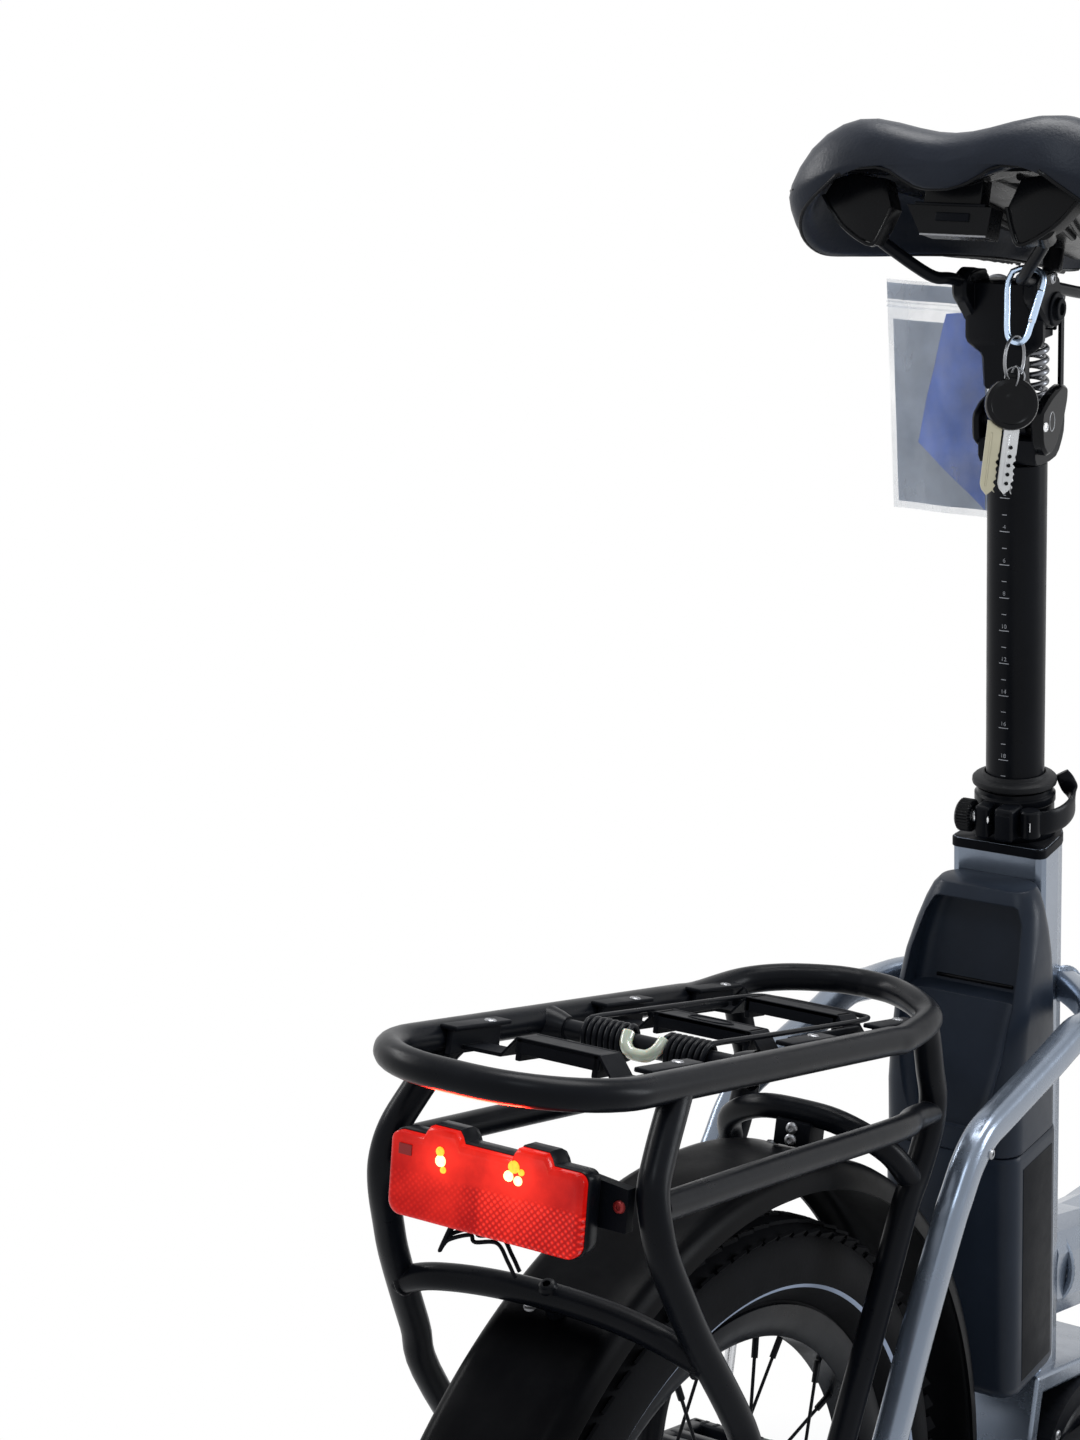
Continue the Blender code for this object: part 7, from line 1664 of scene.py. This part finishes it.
def drive():
    dress("motor_unit", matt)
    skin = Piece("motor_cover", "frame", gloss, satin, dull_steel)
    for side in (-1, 1):
        plate = placed(Vector((BB_X, side * 0.0400, BB_Z)), side * LEFT, AHEAD)
        skin.lathe([(0.0110, 0.0), (0.0560, 0.0), (0.0540, 0.0016), (0.0500, 0.0020),
                    (0.0170, 0.0020), (0.0150, 0.0008), (0.0110, 0.0008)], plate, 1, 72,
                   closed=True)
        for index in range(6):
            spin = math.radians(60 * index + 20)
            skin.bolt((BB_X + 0.0620 * math.cos(spin), side * 0.0400,
                       BB_Z + 0.0620 * math.sin(spin)), side * LEFT, 0.0035, 0.0014, 2)
    skin.done()
    for name, side, reach in (("right", -1, CRANK_LENGTH), ("left", 1, -CRANK_LENGTH)):
        arm = Piece(f"crank_arm_{name}", "cranks", satin, dull_steel, gloss)
        y = side * CRANK_Y
        rings = []
        for t, w, thick in ((0.0, 0.0130, 0.0065), (0.15, 0.0118, 0.0062), (0.5, 0.0100, 0.0058),
                            (0.85, 0.0092, 0.0058), (1.0, 0.0090, 0.0063)):
            rings.append([Vector((BB_X + reach * t, y + thick * boxy(math.sin(a), 0.5),
                                  BB_Z + w * boxy(math.cos(a), 0.5))) for a in circle(24)])
        arm.rows(list(zip(*[smooth(column, 5) for column in zip(*rings)])))
        arm.rod((BB_X, y - 0.0075, BB_Z), (BB_X, y + 0.0075, BB_Z), 0.0150, 0, 48, 0.0015)
        arm.rod((BB_X + reach, y - 0.0065, BB_Z), (BB_X + reach, y + 0.0065, BB_Z), 0.0110, 0, 40,
                0.0012)
        arm.bolt((BB_X, y + side * 0.0066, BB_Z), side * LEFT, 0.0080, 0.0012, 1)
        if side < 0:
            arm.rod((BB_X, -CRANK_Y, BB_Z), (BB_X, CRANK_Y + 0.0020, BB_Z), 0.0100, 1, 32)
        arm.done(f"crank_{name}", slot="black_paint")
        centre = side * (CRANK_Y + 0.0065 + 0.010 + 0.043)
        foot = Piece(f"pedal_cage_{name}", f"{name}_pedal", satin, dull_steel, rubber)
        x = BB_X + reach
        for edge in (-1, 1):
            foot.block((0.0100, 0.0860, 0.0190), at(x + edge * 0.0410, centre, BB_Z), 0, 0.0020)
            foot.block((0.0120, 0.0800, 0.0200), at(x + edge * 0.0090, centre, BB_Z), 0, 0.0030)
            foot.block((0.0900, 0.0110, 0.0190), at(x, centre + edge * 0.0370, BB_Z), 0, 0.0030)
            for k in range(9):
                foot.block((0.0070, 0.0030, 0.0198),
                           at(x + edge * 0.0410, centre - 0.032 + 0.008 * k, BB_Z), 2, 0.0006)
        foot.rod((x, side * 0.0828, BB_Z), (x, centre + side * 0.0400, BB_Z), 0.0080, 1, 32)
        foot.done(f"pedal_{name}", slot="black_plastic")
    for name, body, x, z, teeth, bore in (("front", "cranks", BB_X, BB_Z, 50, 0.0104),
                                         ("rear", "rear_wheel", REAR_X, AXLE_Z, 30, 0.0154)):
        radius = teeth * BELT_PITCH / (2 * math.pi) - 0.0011 - GAP
        wheel_piece = Piece(f"{name}_belt_wheel", body, dull_steel, satin)
        place = axle_frame(x, z, BELT_Y)
        wheel_piece.lathe([(bore, -0.0044), (radius, -0.0044), (radius, 0.0044), (bore, 0.0044)],
                          place, 0, teeth * 6, closed=True,
                          wave=lambda r, h, a, n=teeth, rr=radius: r
                          - (0.0014 * (math.cos(n * a) < 0) if r > 0.9 * rr else 0))
        for index in range(5):
            turn = spun((x, BELT_Y, z), index / 5)
            wheel_piece.bolt(turn @ Vector((0.62 * radius, -0.0044, 0)), -LEFT, 0.0030, 0.0012, 1)
        wheel_piece.done(f"{name}_sprocket", slot="bright_steel")
    dress("drive_belt", rubber)
    dress("rear_brake_caliper", satin)
    dress("front_brake_caliper", satin)
    dress("centre_stand", satin)


# Stage
CAMERA_AT = Vector((-1.8498, -0.6914, 0.8435))
CAMERA_RIGHT = Vector((0.5351, -0.8366, 0.1174))
CAMERA_UP = Vector((-0.01637, 0.12866, 0.99155))
LENS = 72.82
FLOOR_HALF = 12.0
FLOOR_DROP = 0.0008
SKY = (0.84, 0.91, 1.0)
SKY_LIGHT = 0.22


def area_light(name, place, target, wide, high, power, colour=(1, 1, 1), spread=math.pi):
    data = bpy.data.lights.new(name, "AREA")
    data.shape = "RECTANGLE"
    data.size = wide
    data.size_y = high
    data.energy = power
    data.color = colour
    light = bpy.data.objects.new(name, data)
    light.matrix_world = placed(Vector(place), Vector(place) - Vector(target), LEFT)
    light.visible_camera = False
    data.spread = spread
    bpy.context.scene.collection.objects.link(light)


def stage():
    scene = bpy.context.scene
    data = bpy.data.cameras.new("camera")
    data.sensor_fit = "VERTICAL"
    data.sensor_height = 36.0
    data.lens = LENS
    data.clip_end = 50
    camera = bpy.data.objects.new("camera", data)
    back = CAMERA_RIGHT.cross(CAMERA_UP)
    matrix = Matrix((CAMERA_RIGHT, CAMERA_UP, back)).transposed().to_4x4()
    matrix.translation = CAMERA_AT
    camera.matrix_world = matrix
    scene.collection.objects.link(camera)
    scene.camera = camera
    scene.view_settings.view_transform = "Standard"
    world = bpy.data.worlds.new("studio")
    scene.world = world
    world.use_nodes = True
    tree = world.node_tree
    tree.nodes.clear()
    ray = tree.nodes.new("ShaderNodeLightPath")
    lit = tree.nodes.new("ShaderNodeBackground")
    lit.inputs["Color"].default_value = (*SKY, 1)
    lit.inputs["Strength"].default_value = SKY_LIGHT
    white = tree.nodes.new("ShaderNodeBackground")
    white.inputs["Color"].default_value = (1, 1, 1, 1)
    white.inputs["Strength"].default_value = 1.0
    seen = ray.outputs["Is Camera Ray"]
    for output in ("Is Glossy Ray", "Is Transmission Ray"):
        most = tree.nodes.new("ShaderNodeMath")
        most.operation = "MAXIMUM"
        tree.links.new(seen, most.inputs[0])
        tree.links.new(ray.outputs[output], most.inputs[1])
        seen = most.outputs["Value"]
    mixed = tree.nodes.new("ShaderNodeMixShader")
    tree.links.new(seen, mixed.inputs["Fac"])
    tree.links.new(lit.outputs[0], mixed.inputs[1])
    tree.links.new(white.outputs[0], mixed.inputs[2])
    output = tree.nodes.new("ShaderNodeOutputWorld")
    tree.links.new(mixed.outputs[0], output.inputs["Surface"])
    # a pale floor that keeps the shadow and turns plain white away from the wheels
    made = Nodes("pale_floor")
    made.shader.inputs["Roughness"].default_value = 0.9
    made.shader.inputs["Specular IOR Level"].default_value = 0.1
    grain = made.mix(made.span(made.noise(3.0, 3.0), 0, 1), (0.80, 0.80, 0.80), (0.83, 0.83, 0.83))
    made.link(grain, made.shader.inputs["Base Color"])
    x = made.math("DIVIDE", made.axis(0), 1.35)
    y = made.math("DIVIDE", made.axis(1), 0.85)
    away = made.math("SQRT", made.math("ADD", made.math("MULTIPLY", x, x),
                                       made.math("MULTIPLY", y, y)))
    far = made.span(away, 0.0, 1.0, 0.55, 0.95)
    glow = made.add("ShaderNodeEmission")
    glow.inputs["Strength"].default_value = 1.0
    path = made.add("ShaderNodeLightPath")
    seen = path.outputs["Is Camera Ray"]
    for output in ("Is Glossy Ray", "Is Transmission Ray"):
        seen = made.math("MAXIMUM", seen, path.outputs[output])
    blend = made.add("ShaderNodeMixShader")
    made.link(made.math("MULTIPLY", far, seen), blend.inputs["Fac"])
    made.link(made.shader.outputs[0], blend.inputs[1])
    made.link(glow.outputs[0], blend.inputs[2])
    made.link(blend.outputs[0], made.output.inputs["Surface"])
    mesh = bpy.data.meshes.new("floor")
    corners = [(x * FLOOR_HALF, y * FLOOR_HALF, 0) for x, y in ((-1, -1), (1, -1), (1, 1), (-1, 1))]
    mesh.from_pydata(corners, [], [(0, 1, 2, 3)])
    mesh.materials.append(made.material)
    floor = bpy.data.objects.new("floor", mesh)
    floor.location.z = -FLOOR_DROP
    scene.collection.objects.link(floor)
    area_light("ceiling", (-0.2, 0.0, 3.2), (0, 0, 0.4), 1.9, 1.3, 78)
    area_light("right_front", (1.2, -2.6, 1.7), (-0.1, 0, 0.6), 0.6, 1.7, 42, (0.92, 0.96, 1.0))
    area_light("left_strip", (-1.0, 2.6, 1.9), (-0.3, 0, 0.6), 0.4, 1.9, 34)
    area_light("behind", (-2.8, -0.6, 3.0), (-0.4, 0, 0.6), 0.7, 0.7, 14, (0.85, 0.93, 1.0))
    area_light("tail_spill", (-0.765, 0.005, 0.584), (-0.785, 0.0, 0.612), 0.05, 0.01, 0.20,
               (1.0, 0.02, 0.01), 1.5)


stage()
saddle()
sprung_head()
seat_post()
seat_clamp()
battery()
frame_tubes()
rack()
spring_clamp()
rear_light()
mudguards()
wheels()
hangings()
steering()
drive()
